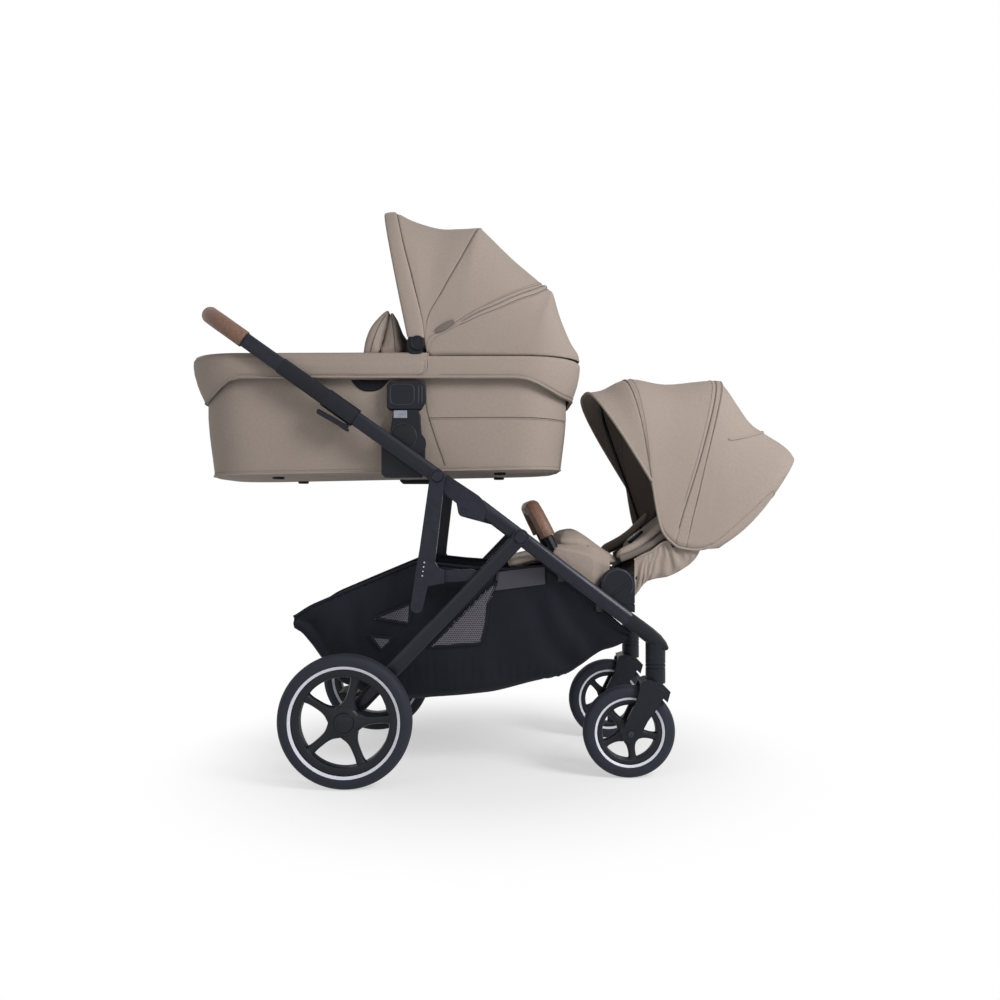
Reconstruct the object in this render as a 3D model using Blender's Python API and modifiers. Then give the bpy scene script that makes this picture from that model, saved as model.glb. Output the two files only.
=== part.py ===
"""Tandem stroller: folding chassis, carrycot above, parent-facing seat below.

Metres, +X forward, +Y to the stroller's left, +Z up. The origin is on the floor.
Each sub-part is one object, and a moving part hangs from an empty on its joint axis.
"""

import math

import bmesh
import bpy
from mathutils import Matrix, Vector

# Clearances
GAP = 0.0003
PIN_PLAY = 0.0004
SLIDE_PLAY = 0.0004

# Rear wheels
REAR_RADIUS = 0.145
REAR_TYRE_WIDTH = 0.042
REAR_RIM_RADIUS = 0.1135
REAR_RIM_OPENING = 0.0965
REAR_HUB_RADIUS = 0.022
REAR_SPOKE_WIDTH = 0.020
REAR_AXLE_X = -0.316
REAR_AXLE_RADIUS = 0.006
AXLE_TUBE_RADIUS = 0.012

# Front wheels and casters
FRONT_RADIUS = 0.103
FRONT_TYRE_WIDTH = 0.036
FRONT_RIM_RADIUS = 0.0718
FRONT_RIM_OPENING = 0.0600
FRONT_HUB_RADIUS = 0.015
FRONT_SPOKE_WIDTH = 0.016
FRONT_AXLE_RADIUS = 0.005
CASTER_AHEAD = 0.06618
CASTER_Y = 0.185
CASTER_TRAIL = 0.060
SWIVEL_RADIUS = 0.0225
SWIVEL_SEAM_Z = 0.2655
STEM_RADIUS = 0.008
STEM_LENGTH = 0.024
FORK_LEG_WIDTH = 0.010
FORK_TYRE_CLEARANCE = 0.003

# Wheel details
SPOKES = 5
RIM_WELL_DEPTH = 0.006
RIM_FLANGE = 0.003
HUB_LENGTH_RATIO = 1.0

# Main tubes
BEND_X = -0.0154
BEND_Z = 0.598
UPPER_SLOPE = math.radians(35.4)
FRONT_SLOPE = math.radians(37.2)
TUBE_HEIGHT = 0.034
TUBE_WIDTH = 0.020
TUBE_Y = 0.224
FRONT_TUBE_LENGTH = 0.397
FRONT_CROSS_REACH = 0.300
KNUCKLE_LENGTH = 0.115

# Fold hinge
FOLD_PIN_BACK = 0.0369
FOLD_PIN_DROP = 0.0275
SEAM_RADIUS = 0.0485
LUG_RADIUS = 0.0135
CASTING_LENGTH = 0.112
CASTING_RISE = 0.0185
HINGE_PLATE_WIDTH = 0.007
PIN_RADIUS = 0.006
HINGE_PIN_RADIUS = 0.005

# Rear legs and swing arms
LEG_WIDTH = 0.017
LEG_HEIGHT = 0.033
LEG_PIVOT_REACH = 0.0973
LEG_EYE_RADIUS = 0.0185
HUB_EYE_RADIUS = 0.026
CAP_RADIUS = 0.0150
CAP_THICKNESS = 0.004
ARM_PIVOT_REACH = 0.127
ARM_EYE_RADIUS = 0.0165
ARM_FOOT_X = -0.1637
ARM_FOOT_Z = 0.3880
ARM_FOOT_RADIUS = 0.0135
LINK_X = -0.0437
LINK_Z = 0.4560
LINK_HEIGHT = 0.026
LINK_WIDTH = 0.0105

# Handle
HANDLE_REACH = 0.762
HANDLE_CORNER = 0.075
SLEEVE_START = 0.350
SLEEVE_END = 0.5515
SLEEVE_HEIGHT = 0.0378
SLEEVE_WIDTH = 0.0245
COLLAR_LENGTH = 0.080
COLLAR_HEIGHT = 0.0430
COLLAR_WIDTH = 0.0285
TUBE_INSERTION = 0.045
HANDLE_INSERTION = 0.100
GRIP_END = 0.650
GRIP_RADIUS = 0.0193
LEVER_LENGTH = 0.072
LEVER_THICKNESS = 0.012
LEVER_WIDTH = 0.020

# Carrycot
COT_FOOT_X = -0.700
COT_HEAD_X = 0.208
COT_HALF_WIDTH = 0.2085
COT_TOP_Z = 0.943
COT_BAND_DEPTH = 0.052
COT_BAND_DROOP = 0.068
COT_WALL = 0.010
COT_FLOOR_Z = 0.671
COT_FLOOR_RISE = 0.018
COT_END_INSET = 0.033
COT_TUB_HALF_WIDTH = 0.187
COT_TAPER = 0.012
COT_CORNER = 0.135
COT_COVER_END = -0.182
MATTRESS_THICKNESS = 0.030
FLAP_HALF_WIDTH = 0.172
FLAP_HEIGHT = 0.111

# Carrycot adapter
ADAPTER_X = -0.1900
ADAPTER_WIDTH = 0.060
ADAPTER_THICKNESS = 0.021
ADAPTER_TOP_Z = 0.822
ADAPTER_FOOT_Z = 0.6705
LATCH_HEIGHT = 0.0625
LATCH_WIDTH = 0.086
TONGUE_WIDTH = 0.040
TONGUE_THICKNESS = 0.010
TONGUE_HEIGHT = 0.026
TONGUE_Y = 0.2020
ADAPTER_DISC_RADIUS = 0.027
BUTTON_X = -0.203
BUTTON_Z = 0.811
BUTTON_WIDTH = 0.030
BUTTON_HEIGHT = 0.017
BUTTON_TRAVEL = 0.003

# Carrycot canopy
COT_HINGE_X = -0.166
COT_HINGE_Z = 0.971
COT_HOOD_HALF_WIDTH = 0.197
COT_BOW_ANGLE = (103.4, 67.0)
COT_BOW_REACH = (0.329, 0.307)
COT_BOW_Y = (0.1880, 0.1787)
CLOTH = 0.003
BOW_RADIUS = 0.004
BOW_PIN_RADIUS = 0.003

# Seat
SEAT_HUB_AHEAD = 0.00238
SEAT_HUB_ABOVE = 0.07503
SEAT_HUB_RADIUS = 0.038
SEAT_HUB_BACK = 0.0242
SEAT_HUB_FRONT = 0.0134
SEAT_HUB_INNER_Y = 0.190
SEAT_ADAPTER_DROP = 0.043
SEAT_TONGUE_BACK = 0.0125
SEAT_TONGUE_WIDTH = 0.026
SEAT_TONGUE_HEIGHT = 0.019
RECLINE_PIN_RADIUS = 0.006
SEAT_TUBE_RADIUS = 0.008
SEAT_FRAME_Y = 0.163
SEAT_CUSHION_HALF_WIDTH = 0.170
SEAT_CUSHION_END_BACK = 0.0152
KNEE_BACK = 0.1532
KNEE_RISE = 0.067
LEG_REST_RUN = 0.105
LEG_REST_FALL = 0.025
BACK_PAD_HALF_WIDTH = 0.168
BACK_PAD_RISE = 0.0218
BACK_LENGTH = 0.420
BACK_SLOPE = math.radians(38.0)
BUMPER_BACK = 0.1352
BUMPER_ABOVE = 0.0206
BUMPER_RUN = 0.0745
BUMPER_RISE = 0.1514
BUMPER_Y = 0.185
BUMPER_CORNER = 0.060
BUMPER_TUBE_RADIUS = 0.010
BUMPER_RADIUS = 0.0175

# Seat canopy
SEAT_HINGE_RUN = 0.1088
SEAT_HINGE_RISE = 0.081
SHELL_INNER_Y = 0.1724
SHELL_OUTER_Y = 0.1824
SHELL_WALL = 0.005
SEAT_HOOD_HALF_WIDTH = 0.196
SEAT_BOW_ANGLE = (117.0, 74.3)
SEAT_BOW_REACH = (0.400, 0.391)
SEAT_BOW_Y = (0.1885, 0.1775)

# Basket
BASKET_HALF_WIDTH = 0.190
BASKET_WALL = 0.0025


def srgb(red, green, blue):
    """Linear colour of an 8-bit screen colour."""
    return tuple(((v / 255 + 0.055) / 1.055) ** 2.4 for v in (red, green, blue)) + (1.0,)


COLOURS = {
    "frame": (srgb(44, 45, 54), 0.42, 0.6),
    "plastic": (srgb(38, 39, 46), 0.50, 0.0),
    "button": (srgb(120, 122, 130), 0.45, 0.0),
    "tyre": (srgb(44, 46, 52), 0.85, 0.0),
    "rim": (srgb(34, 35, 42), 0.45, 0.0),
    "leatherette": (srgb(125, 95, 80), 0.55, 0.0),
    "taupe": (srgb(165, 153, 140), 0.9, 0.0),
    "basket": (srgb(32, 31, 40), 0.8, 0.0),
    "steel": (srgb(150, 152, 158), 0.35, 1.0),
}


def material(name):
    """The named Principled material."""
    known = bpy.data.materials.get(name)
    if known:
        return known
    colour, roughness, metallic = COLOURS[name]
    made = bpy.data.materials.new(name)
    made.use_nodes = True
    shader = made.node_tree.nodes["Principled BSDF"]
    shader.inputs["Base Color"].default_value = colour
    shader.inputs["Roughness"].default_value = roughness
    shader.inputs["Metallic"].default_value = metallic
    return made


def clear_scene():
    """Start from an empty scene with one collection for parts and one for cutters."""
    for thing in list(bpy.data.objects):
        bpy.data.objects.remove(thing, do_unlink=True)
    for name in ("stroller", "cutters"):
        bpy.context.scene.collection.children.link(bpy.data.collections.new(name))


def from_bmesh(name, shape, colour="plastic", smooth=35.0):
    """Turn a bmesh into an object of the parts collection, with its faces pointing out."""
    bmesh.ops.recalc_face_normals(shape, faces=shape.faces)
    closed = all(edge.is_manifold for edge in shape.edges)
    if closed and shape.calc_volume(signed=True) < 0:
        bmesh.ops.reverse_faces(shape, faces=shape.faces)
    mesh = bpy.data.meshes.new(name)
    shape.to_mesh(mesh)
    shape.free()
    mesh.shade_smooth()
    mesh.set_sharp_from_angle(angle=math.radians(smooth))
    made = bpy.data.objects.new(name, mesh)
    made.data.materials.append(material(colour))
    bpy.data.collections["stroller"].objects.link(made)
    return made


def from_curve(curve_object, colour, smooth=35.0):
    """Replace a curve object by its closed mesh."""
    bpy.context.view_layer.update()
    graph = bpy.context.evaluated_depsgraph_get()
    mesh = bpy.data.meshes.new_from_object(curve_object.evaluated_get(graph))
    shape = bmesh.new()
    shape.from_mesh(mesh)
    shape.transform(curve_object.matrix_world)
    bmesh.ops.remove_doubles(shape, verts=shape.verts, dist=0.00001)
    name = curve_object.name
    bpy.data.objects.remove(curve_object, do_unlink=True)
    bpy.data.meshes.remove(mesh)
    return from_bmesh(name, shape, colour, smooth)


def plate(name, outline, low_y, high_y, colour="frame", bevel=0.0):
    """A flat outline in the side plane, given as (x, z) points, between two values of y."""
    data = bpy.data.curves.new(name, "CURVE")
    data.dimensions = "2D"
    data.fill_mode = "BOTH"
    data.extrude = abs(high_y - low_y) / 2
    spline = data.splines.new("POLY")
    spline.points.add(len(outline) - 1)
    for point, (x, z) in zip(spline.points, outline):
        point.co = (x, z, 0.0, 1.0)
    spline.use_cyclic_u = True
    made = bpy.data.objects.new(name, data)
    bpy.data.collections["stroller"].objects.link(made)
    turn = Matrix.Rotation(math.pi / 2, 4, "X")
    made.matrix_world = Matrix.Translation((0.0, (low_y + high_y) / 2, 0.0)) @ turn
    solid = from_curve(made, colour)
    if bevel:
        add_bevel(solid, bevel)
    return solid


def add_bevel(target, width, segments=1):
    """Rounded edges."""
    mod = target.modifiers.new("edges", "BEVEL")
    mod.width = width
    mod.segments = segments
    mod.limit_method = "ANGLE"
    mod.angle_limit = math.radians(50)


def box(name, low, high, colour="plastic", bevel=0.0):
    """A box between two corners."""
    shape = bmesh.new()
    bmesh.ops.create_cube(shape, size=1.0)
    size = [b - a for a, b in zip(low, high)]
    middle = [(a + b) / 2 for a, b in zip(low, high)]
    shape.transform(Matrix.Translation(middle) @ Matrix.Diagonal((*size, 1.0)))
    made = from_bmesh(name, shape, colour)
    if bevel:
        add_bevel(made, bevel)
    return made


def rod(name, start, end, radius, colour="frame", sides=16, radius_end=None):
    """A round bar between two points."""
    start = Vector(start)
    end = Vector(end)
    shape = bmesh.new()
    bmesh.ops.create_cone(
        shape, cap_ends=True, segments=sides, radius1=radius,
        radius2=radius if radius_end is None else radius_end, depth=(end - start).length)
    turn = (end - start).to_track_quat("Z", "Y").to_matrix().to_4x4()
    shape.transform(Matrix.Translation((start + end) / 2) @ turn)
    return from_bmesh(name, shape, colour)


def squircle(half_a, half_b, count, power=2.6):
    """Points of a rounded outline with the given half sizes."""
    points = []
    for i in range(count):
        angle = math.tau * (i + 0.5) / count
        c = math.cos(angle)
        s = math.sin(angle)
        points.append((half_a * math.copysign(abs(c) ** (2 / power), c),
                       half_b * math.copysign(abs(s) ** (2 / power), s)))
    return points


def circle(centre, radius, count):
    """A level circle of points."""
    return [Vector((centre[0] + radius * math.cos(math.tau * i / count),
                    centre[1] + radius * math.sin(math.tau * i / count), centre[2]))
            for i in range(count)]


def oval_bar(name, start, end, y, height, width, colour="frame", count=12):
    """A straight oval tube in the side plane: start and end are (x, z)."""
    along = Vector((end[0] - start[0], 0.0, end[1] - start[1])).normalized()
    up = Vector((-along.z, 0.0, along.x))
    rings = []
    for x, z in (start, end):
        rings.append([Vector((x, y, z)) + up * a + Vector((0, b, 0))
                      for a, b in squircle(height / 2, width / 2, count)])
    return loft(name, rings, colour)


def loft(name, rings, colour="plastic", smooth=35.0):
    """A closed solid through rings of equal length, capped at both ends."""
    shape = bmesh.new()
    rows = [[shape.verts.new(p) for p in ring] for ring in rings]
    count = len(rows[0])
    for low, high in zip(rows, rows[1:]):
        for i in range(count):
            j = (i + 1) % count
            shape.faces.new((low[i], low[j], high[j], high[i]))
    shape.faces.new(rows[0])
    shape.faces.new(rows[-1])
    return from_bmesh(name, shape, colour, smooth)


def sheet(name, rows, thickness, colour="taupe", closed=False, offset=-1.0):
    """A sheet through rows of points, thickened to a closed solid."""
    shape = bmesh.new()
    grid = [[shape.verts.new(p) for p in row] for row in rows]
    count = len(grid[0])
    for low, high in zip(grid, grid[1:]):
        for i in range(count if closed else count - 1):
            j = (i + 1) % count
            shape.faces.new((low[i], low[j], high[j], high[i]))
    made = from_bmesh(name, shape, colour, 60.0)
    wall = made.modifiers.new("wall", "SOLIDIFY")
    wall.thickness = thickness
    wall.offset = offset
    wall.use_even_offset = True
    return made


def turned(name, profile, centre, colour, segments):
    """A ring turned about the Y axis through centre: profile is (radius, y) points."""
    data = bpy.data.meshes.new(name)
    count = len(profile)
    data.from_pydata([(r, 0.0, y) for r, y in profile],
                     [(i, (i + 1) % count) for i in range(count)], [])
    made = bpy.data.objects.new(name, data)
    made.data.materials.append(material(colour))
    bpy.data.collections["stroller"].objects.link(made)
    spin = made.modifiers.new("turn", "SCREW")
    spin.steps = segments
    spin.render_steps = segments
    spin.use_merge_vertices = True
    spin.merge_threshold = 0.00001
    made.rotation_euler = (-math.pi / 2, 0.0, 0.0)
    made.location = centre
    return from_curve(made, colour)


def combine(target, tools, operation="UNION"):
    """Join tools to target, or cut them out of it."""
    for tool in tools:
        mod = target.modifiers.new(operation.lower(), "BOOLEAN")
        mod.operation = operation
        mod.solver = "EXACT"
        mod.object = tool
        tool.hide_render = True
        tool.display_type = "WIRE"
        bpy.data.collections["stroller"].objects.unlink(tool)
        bpy.data.collections["cutters"].objects.link(tool)
    return target


def cut(target, tools):
    """Cut tools out of target."""
    return combine(target, tools, "DIFFERENCE")


def joint_empty(name, x, y, z):
    """An empty on a joint's axis."""
    made = bpy.data.objects.new(name, None)
    made.location = (x, y, z)
    bpy.data.collections["stroller"].objects.link(made)
    return made


def hang(parent, *children):
    """Parent children to an empty without moving them."""
    shift = Matrix.Translation(-Vector(parent.location))
    for child in children:
        child.parent = parent
        child.matrix_parent_inverse = shift


def arc(x, z, radius, start, end, count):
    """Points on an arc in the side plane, angles in degrees from +X."""
    points = []
    for i in range(count):
        angle = math.radians(start + (end - start) * i / (count - 1))
        points.append((x + radius * math.cos(angle), z + radius * math.sin(angle)))
    return points


def upper_point(reach, rise=0.0):
    """A point on the upper tube line, reach towards the handle, rise square to it."""
    return (BEND_X - reach * math.cos(UPPER_SLOPE) + rise * math.sin(UPPER_SLOPE),
            BEND_Z + reach * math.sin(UPPER_SLOPE) + rise * math.cos(UPPER_SLOPE))


def front_point(reach, rise=0.0):
    """A point on the front tube line, reach towards the caster, rise square to it."""
    return (BEND_X + reach * math.cos(FRONT_SLOPE) + rise * math.sin(FRONT_SLOPE),
            BEND_Z - reach * math.sin(FRONT_SLOPE) + rise * math.cos(FRONT_SLOPE))


# Places worked out from the sizes above
TUBE_OUT = TUBE_Y + TUBE_WIDTH / 2
TUBE_IN = TUBE_Y - TUBE_WIDTH / 2
LEG_IN = TUBE_OUT + GAP
LEG_OUT = LEG_IN + LEG_WIDTH
REAR_WHEEL_Y = LEG_OUT + 0.0022 + REAR_TYRE_WIDTH / 2
FOLD_X, FOLD_Z = upper_point(FOLD_PIN_BACK, -FOLD_PIN_DROP)
LEG_PIVOT = front_point(LEG_PIVOT_REACH)
ARM_PIVOT = upper_point(ARM_PIVOT_REACH)
REAR_AXLE_Z = REAR_RADIUS
TUBE_END_X, TUBE_END_Z = front_point(FRONT_TUBE_LENGTH)
CASTER_X = TUBE_END_X + CASTER_AHEAD
FRONT_AXLE_X = CASTER_X - CASTER_TRAIL
SEAT_HUB_X = TUBE_END_X + SEAT_HUB_AHEAD
SEAT_HUB_Z = TUBE_END_Z + SEAT_HUB_ABOVE
SEAT_ADAPTER_TOP_Z = SEAT_HUB_Z - SEAT_ADAPTER_DROP
SEAT_CUSHION_END_X = SEAT_HUB_X - SEAT_CUSHION_END_BACK
KNEE_X = SEAT_HUB_X - KNEE_BACK
KNEE_BAR_Z = SEAT_HUB_Z + KNEE_RISE
LEG_REST_END_X = KNEE_X - LEG_REST_RUN
LEG_REST_END_Z = KNEE_BAR_Z - LEG_REST_FALL
BUMPER_X = SEAT_HUB_X - BUMPER_BACK
BUMPER_Z = SEAT_HUB_Z + BUMPER_ABOVE
BUMPER_TOP_X = BUMPER_X - BUMPER_RUN
BUMPER_TOP_Z = BUMPER_Z + BUMPER_RISE
SEAT_HINGE_X = SEAT_HUB_X + SEAT_HINGE_RUN
SEAT_HINGE_Z = SEAT_HUB_Z + SEAT_HINGE_RISE
BASKET_FRONT_X = TUBE_END_X + 0.00918


def wheel_pair(end, side, spin):
    """Tyre and rim of one wheel."""
    rear = end == "rear"
    radius = REAR_RADIUS if rear else FRONT_RADIUS
    width = REAR_TYRE_WIDTH if rear else FRONT_TYRE_WIDTH
    rim_radius = REAR_RIM_RADIUS if rear else FRONT_RIM_RADIUS
    opening = REAR_RIM_OPENING if rear else FRONT_RIM_OPENING
    hub_radius = REAR_HUB_RADIUS if rear else FRONT_HUB_RADIUS
    spoke = REAR_SPOKE_WIDTH if rear else FRONT_SPOKE_WIDTH
    bore = (REAR_AXLE_RADIUS if rear else FRONT_AXLE_RADIUS) + PIN_PLAY
    segments = 28 if rear else 24
    centre = Vector(spin.location)
    mark = "R" if side < 0 else "L"
    flange = width / 2 - 0.005
    well = rim_radius - RIM_WELL_DEPTH
    half = [(well + GAP, flange - RIM_FLANGE - GAP),
            (rim_radius + GAP, flange - RIM_FLANGE - GAP),
            (rim_radius + GAP, flange + 0.0005),
            (rim_radius + 0.35 * (radius - rim_radius), width / 2),
            (radius - 0.25 * (radius - rim_radius), width * 0.45),
            (radius, width * 0.18)]
    profile = half + [(r, -y) for r, y in reversed(half)]
    tyre = turned(f"{end}_tyre_{mark}", profile, centre, "tyre", segments)
    half = [(opening, flange),
            (rim_radius, flange),
            (rim_radius, flange - RIM_FLANGE),
            (well, flange - RIM_FLANGE)]
    profile = half + [(r, -y) for r, y in reversed(half)]
    rim = turned(f"{end}_rim_{mark}", profile, centre, "rim", segments)
    star = []
    reach = opening + 0.003
    first = math.radians(76 if rear else 62)
    for n in range(SPOKES):
        middle = first + math.tau * n / SPOKES
        steps = (0.0, 0.2, 0.75, 1.0)
        sides = []
        for step in steps:
            r = hub_radius * 1.25 + (reach - hub_radius * 1.25) * step
            swell = 1.0 + 0.9 * (1 - step) ** 6 + 0.35 * step ** 8
            spread = math.asin(min(0.95, spoke / 2 * swell / r))
            sides.append((r, min(spread, math.pi / SPOKES - 0.03)))
        star += [(r, middle - a) for r, a in sides]
        star += [(r, middle + a) for r, a in reversed(sides)]
    outline = [(centre.x + r * math.cos(a), centre.z + r * math.sin(a)) for r, a in star]
    face = side * width * 0.30
    back = -side * width * 0.05
    spokes = plate(f"{end}_spokes_{mark}", outline, centre.y + min(face, back),
                   centre.y + max(face, back), "rim")
    hub_half = width / 2 * HUB_LENGTH_RATIO - 0.0005
    hub = rod(f"{end}_hub_{mark}", centre - Vector((0, hub_half, 0)),
              centre + Vector((0, hub_half, 0)), hub_radius, "rim", 16)
    drill_end = 0.013 if rear else width
    drill = rod(f"{end}_bore_{mark}", centre - Vector((0, side * width, 0)),
                centre + Vector((0, side * min(drill_end, width), 0)), bore, "rim", 12)
    combine(rim, [spokes, hub])
    cut(rim, [drill])
    hang(spin, tyre, rim)


def front_frame(side, fixed):
    """Front tube with its fold hinge plate, leg pivot pin and caster knuckle on one side."""
    mark = "R" if side < 0 else "L"
    y = side * TUBE_Y
    tube = oval_bar(f"front_tube_{mark}", front_point(-0.030), front_point(FRONT_TUBE_LENGTH),
                    y, TUBE_HEIGHT, TUBE_WIDTH)
    seam = rod("seam_cutter", (FOLD_X, y - 0.03, FOLD_Z), (FOLD_X, y + 0.03, FOLD_Z),
               SEAM_RADIUS + GAP, sides=36)
    cut(tube, [seam])
    inner = side * (TUBE_IN - GAP)
    inner_far = side * (TUBE_IN - GAP - HINGE_PLATE_WIDTH)
    root = front_point(0.035)
    angle = math.degrees(math.atan2(root[1] - FOLD_Z, root[0] - FOLD_X))
    outline = arc(FOLD_X, FOLD_Z, LUG_RADIUS, angle + 90, angle + 270, 9)
    outline += arc(root[0], root[1], LUG_RADIUS, angle - 90, angle + 90, 9)
    hinge_plate = plate("hinge_plate", outline, min(inner, inner_far), max(inner, inner_far))
    plate_middle = (inner + inner_far) / 2
    boss = rod("hinge_boss", (root[0], plate_middle, root[1]), (root[0], y, root[1]),
               LUG_RADIUS * 0.8, sides=12)
    pin = rod("hinge_pin", (FOLD_X, plate_middle, FOLD_Z),
              (FOLD_X, side * (TUBE_OUT - 0.0005), FOLD_Z), HINGE_PIN_RADIUS, sides=12)
    shank = rod("leg_pin", (LEG_PIVOT[0], y + side * 0.0013, LEG_PIVOT[1]),
                (LEG_PIVOT[0], side * (LEG_OUT + GAP + 0.001), LEG_PIVOT[1]), PIN_RADIUS, sides=14)
    cap = rod("leg_cap", (LEG_PIVOT[0], side * (LEG_OUT + GAP), LEG_PIVOT[1]),
              (LEG_PIVOT[0], side * (LEG_OUT + GAP + CAP_THICKNESS), LEG_PIVOT[1]),
              CAP_RADIUS, sides=20, radius_end=CAP_RADIUS * 0.8)
    combine(tube, [boss, hinge_plate, pin, shank, cap])
    hang(fixed, tube)
    knuckle(side, fixed)


def knuckle(side, fixed):
    """The casting from the front tube's end to the upright caster post."""
    mark = "R" if side < 0 else "L"
    along = Vector((math.cos(FRONT_SLOPE), 0.0, -math.sin(FRONT_SLOPE)))
    up = Vector((math.sin(FRONT_SLOPE), 0.0, math.cos(FRONT_SLOPE)))
    stations = ((0.000, TUBE_HEIGHT / 2, TUBE_WIDTH / 2, TUBE_Y),
                (0.26, TUBE_HEIGHT * 0.52, 0.0145, 0.70 * TUBE_Y + 0.30 * CASTER_Y),
                (0.52, TUBE_HEIGHT * 0.53, 0.0195, 0.30 * TUBE_Y + 0.70 * CASTER_Y),
                (0.74, TUBE_HEIGHT * 0.48, SWIVEL_RADIUS, CASTER_Y),
                (0.90, TUBE_HEIGHT * 0.33, SWIVEL_RADIUS * 0.9, CASTER_Y),
                (1.00, TUBE_HEIGHT * 0.14, SWIVEL_RADIUS * 0.62, CASTER_Y))
    rings = []
    for share, half_height, half_width, y in stations:
        x, z = front_point(FRONT_TUBE_LENGTH + GAP)
        middle = Vector((x, side * y, z)) + along * (KNUCKLE_LENGTH * share)
        rings.append([middle + up * a + Vector((0, b, 0))
                      for a, b in squircle(half_height, half_width, 12)])
    arm = loft(f"front_knuckle_{mark}", rings, "frame")
    top = rings[3][0].z
    post = rod("post", (CASTER_X, side * CASTER_Y, SWIVEL_SEAM_Z),
               (CASTER_X, side * CASTER_Y, top - 0.014), SWIVEL_RADIUS, sides=16)
    bore = rod("stem_bore", (CASTER_X, side * CASTER_Y, SWIVEL_SEAM_Z - 0.01),
               (CASTER_X, side * CASTER_Y, SWIVEL_SEAM_Z + STEM_LENGTH + 0.001),
               STEM_RADIUS + PIN_PLAY, sides=16)
    combine(arm, [post])
    cut(arm, [bore])
    hang(fixed, arm)


def caster(side):
    """Caster fork with its stem, crown, two legs and axle pin."""
    mark = "R" if side < 0 else "L"
    y = side * CASTER_Y
    swivel = joint_empty(f"caster_axis_{mark}", CASTER_X, y, SWIVEL_SEAM_Z)
    spin = joint_empty(f"front_wheel_axis_{mark}", FRONT_AXLE_X, y, FRONT_RADIUS)
    inside = FRONT_TYRE_WIDTH / 2 + FORK_TYRE_CLEARANCE
    outside = inside + FORK_LEG_WIDTH
    crown_low = FRONT_RADIUS * 2 + 0.004
    body_top = SWIVEL_SEAM_Z - GAP
    levels = [(crown_low + 0.002, SWIVEL_RADIUS)]
    for n in range(2):
        z = SWIVEL_SEAM_Z - 0.021 + 0.009 * n
        levels += [(z, SWIVEL_RADIUS), (z + 0.0004, SWIVEL_RADIUS - 0.0015),
                   (z + 0.0024, SWIVEL_RADIUS - 0.0015), (z + 0.0028, SWIVEL_RADIUS)]
    levels.append((body_top, SWIVEL_RADIUS))
    rings = [circle((CASTER_X, y, z), radius, 14) for z, radius in levels]
    body = loft(f"caster_fork_{mark}", rings, "plastic")
    stem = rod("stem", (CASTER_X, y, body_top - 0.004),
               (CASTER_X, y, body_top + STEM_LENGTH), STEM_RADIUS, sides=12)
    dome = FRONT_RADIUS + 0.0045
    under = []
    for x in (CASTER_X + 0.022, CASTER_X, CASTER_X - 0.018, CASTER_X - 0.034):
        under.append((x, FRONT_RADIUS + math.sqrt(dome ** 2 - (x - FRONT_AXLE_X) ** 2)))
    outline = [(CASTER_X - 0.036, crown_low + 0.008), (CASTER_X - 0.020, crown_low + 0.013),
               (CASTER_X + 0.014, crown_low + 0.001), (CASTER_X + 0.0285, crown_low - 0.014)] + under
    crown = plate("crown", outline, y - outside + 0.001, y + outside - 0.001, "plastic")
    blades = []
    for way in (-1, 1):
        low = y + way * inside
        high = y + way * outside
        outline = arc(FRONT_AXLE_X, FRONT_RADIUS, 0.0205, 150, 330, 8)
        outline += [(CASTER_X - 0.022, FRONT_RADIUS + 0.028), (CASTER_X + 0.004, FRONT_RADIUS + 0.063),
                    (CASTER_X + 0.020, crown_low - 0.014), (CASTER_X - 0.016, crown_low + 0.006),
                    (CASTER_X - 0.038, crown_low + 0.001), (CASTER_X - 0.046, crown_low - 0.032)]
        blades.append(plate("blade", outline, min(low, high), max(low, high), "plastic"))
    axle = rod("front_axle", (FRONT_AXLE_X, y - outside - 0.002, FRONT_RADIUS),
               (FRONT_AXLE_X, y + outside + 0.002, FRONT_RADIUS), FRONT_AXLE_RADIUS, sides=10)
    combine(body, [crown, blades[0], blades[1], axle, stem])
    hang(swivel, body)
    wheel_pair("front", side, spin)
    hang(swivel, spin)
    spin.matrix_parent_inverse = Matrix.Translation(-Vector(swivel.location))


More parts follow.
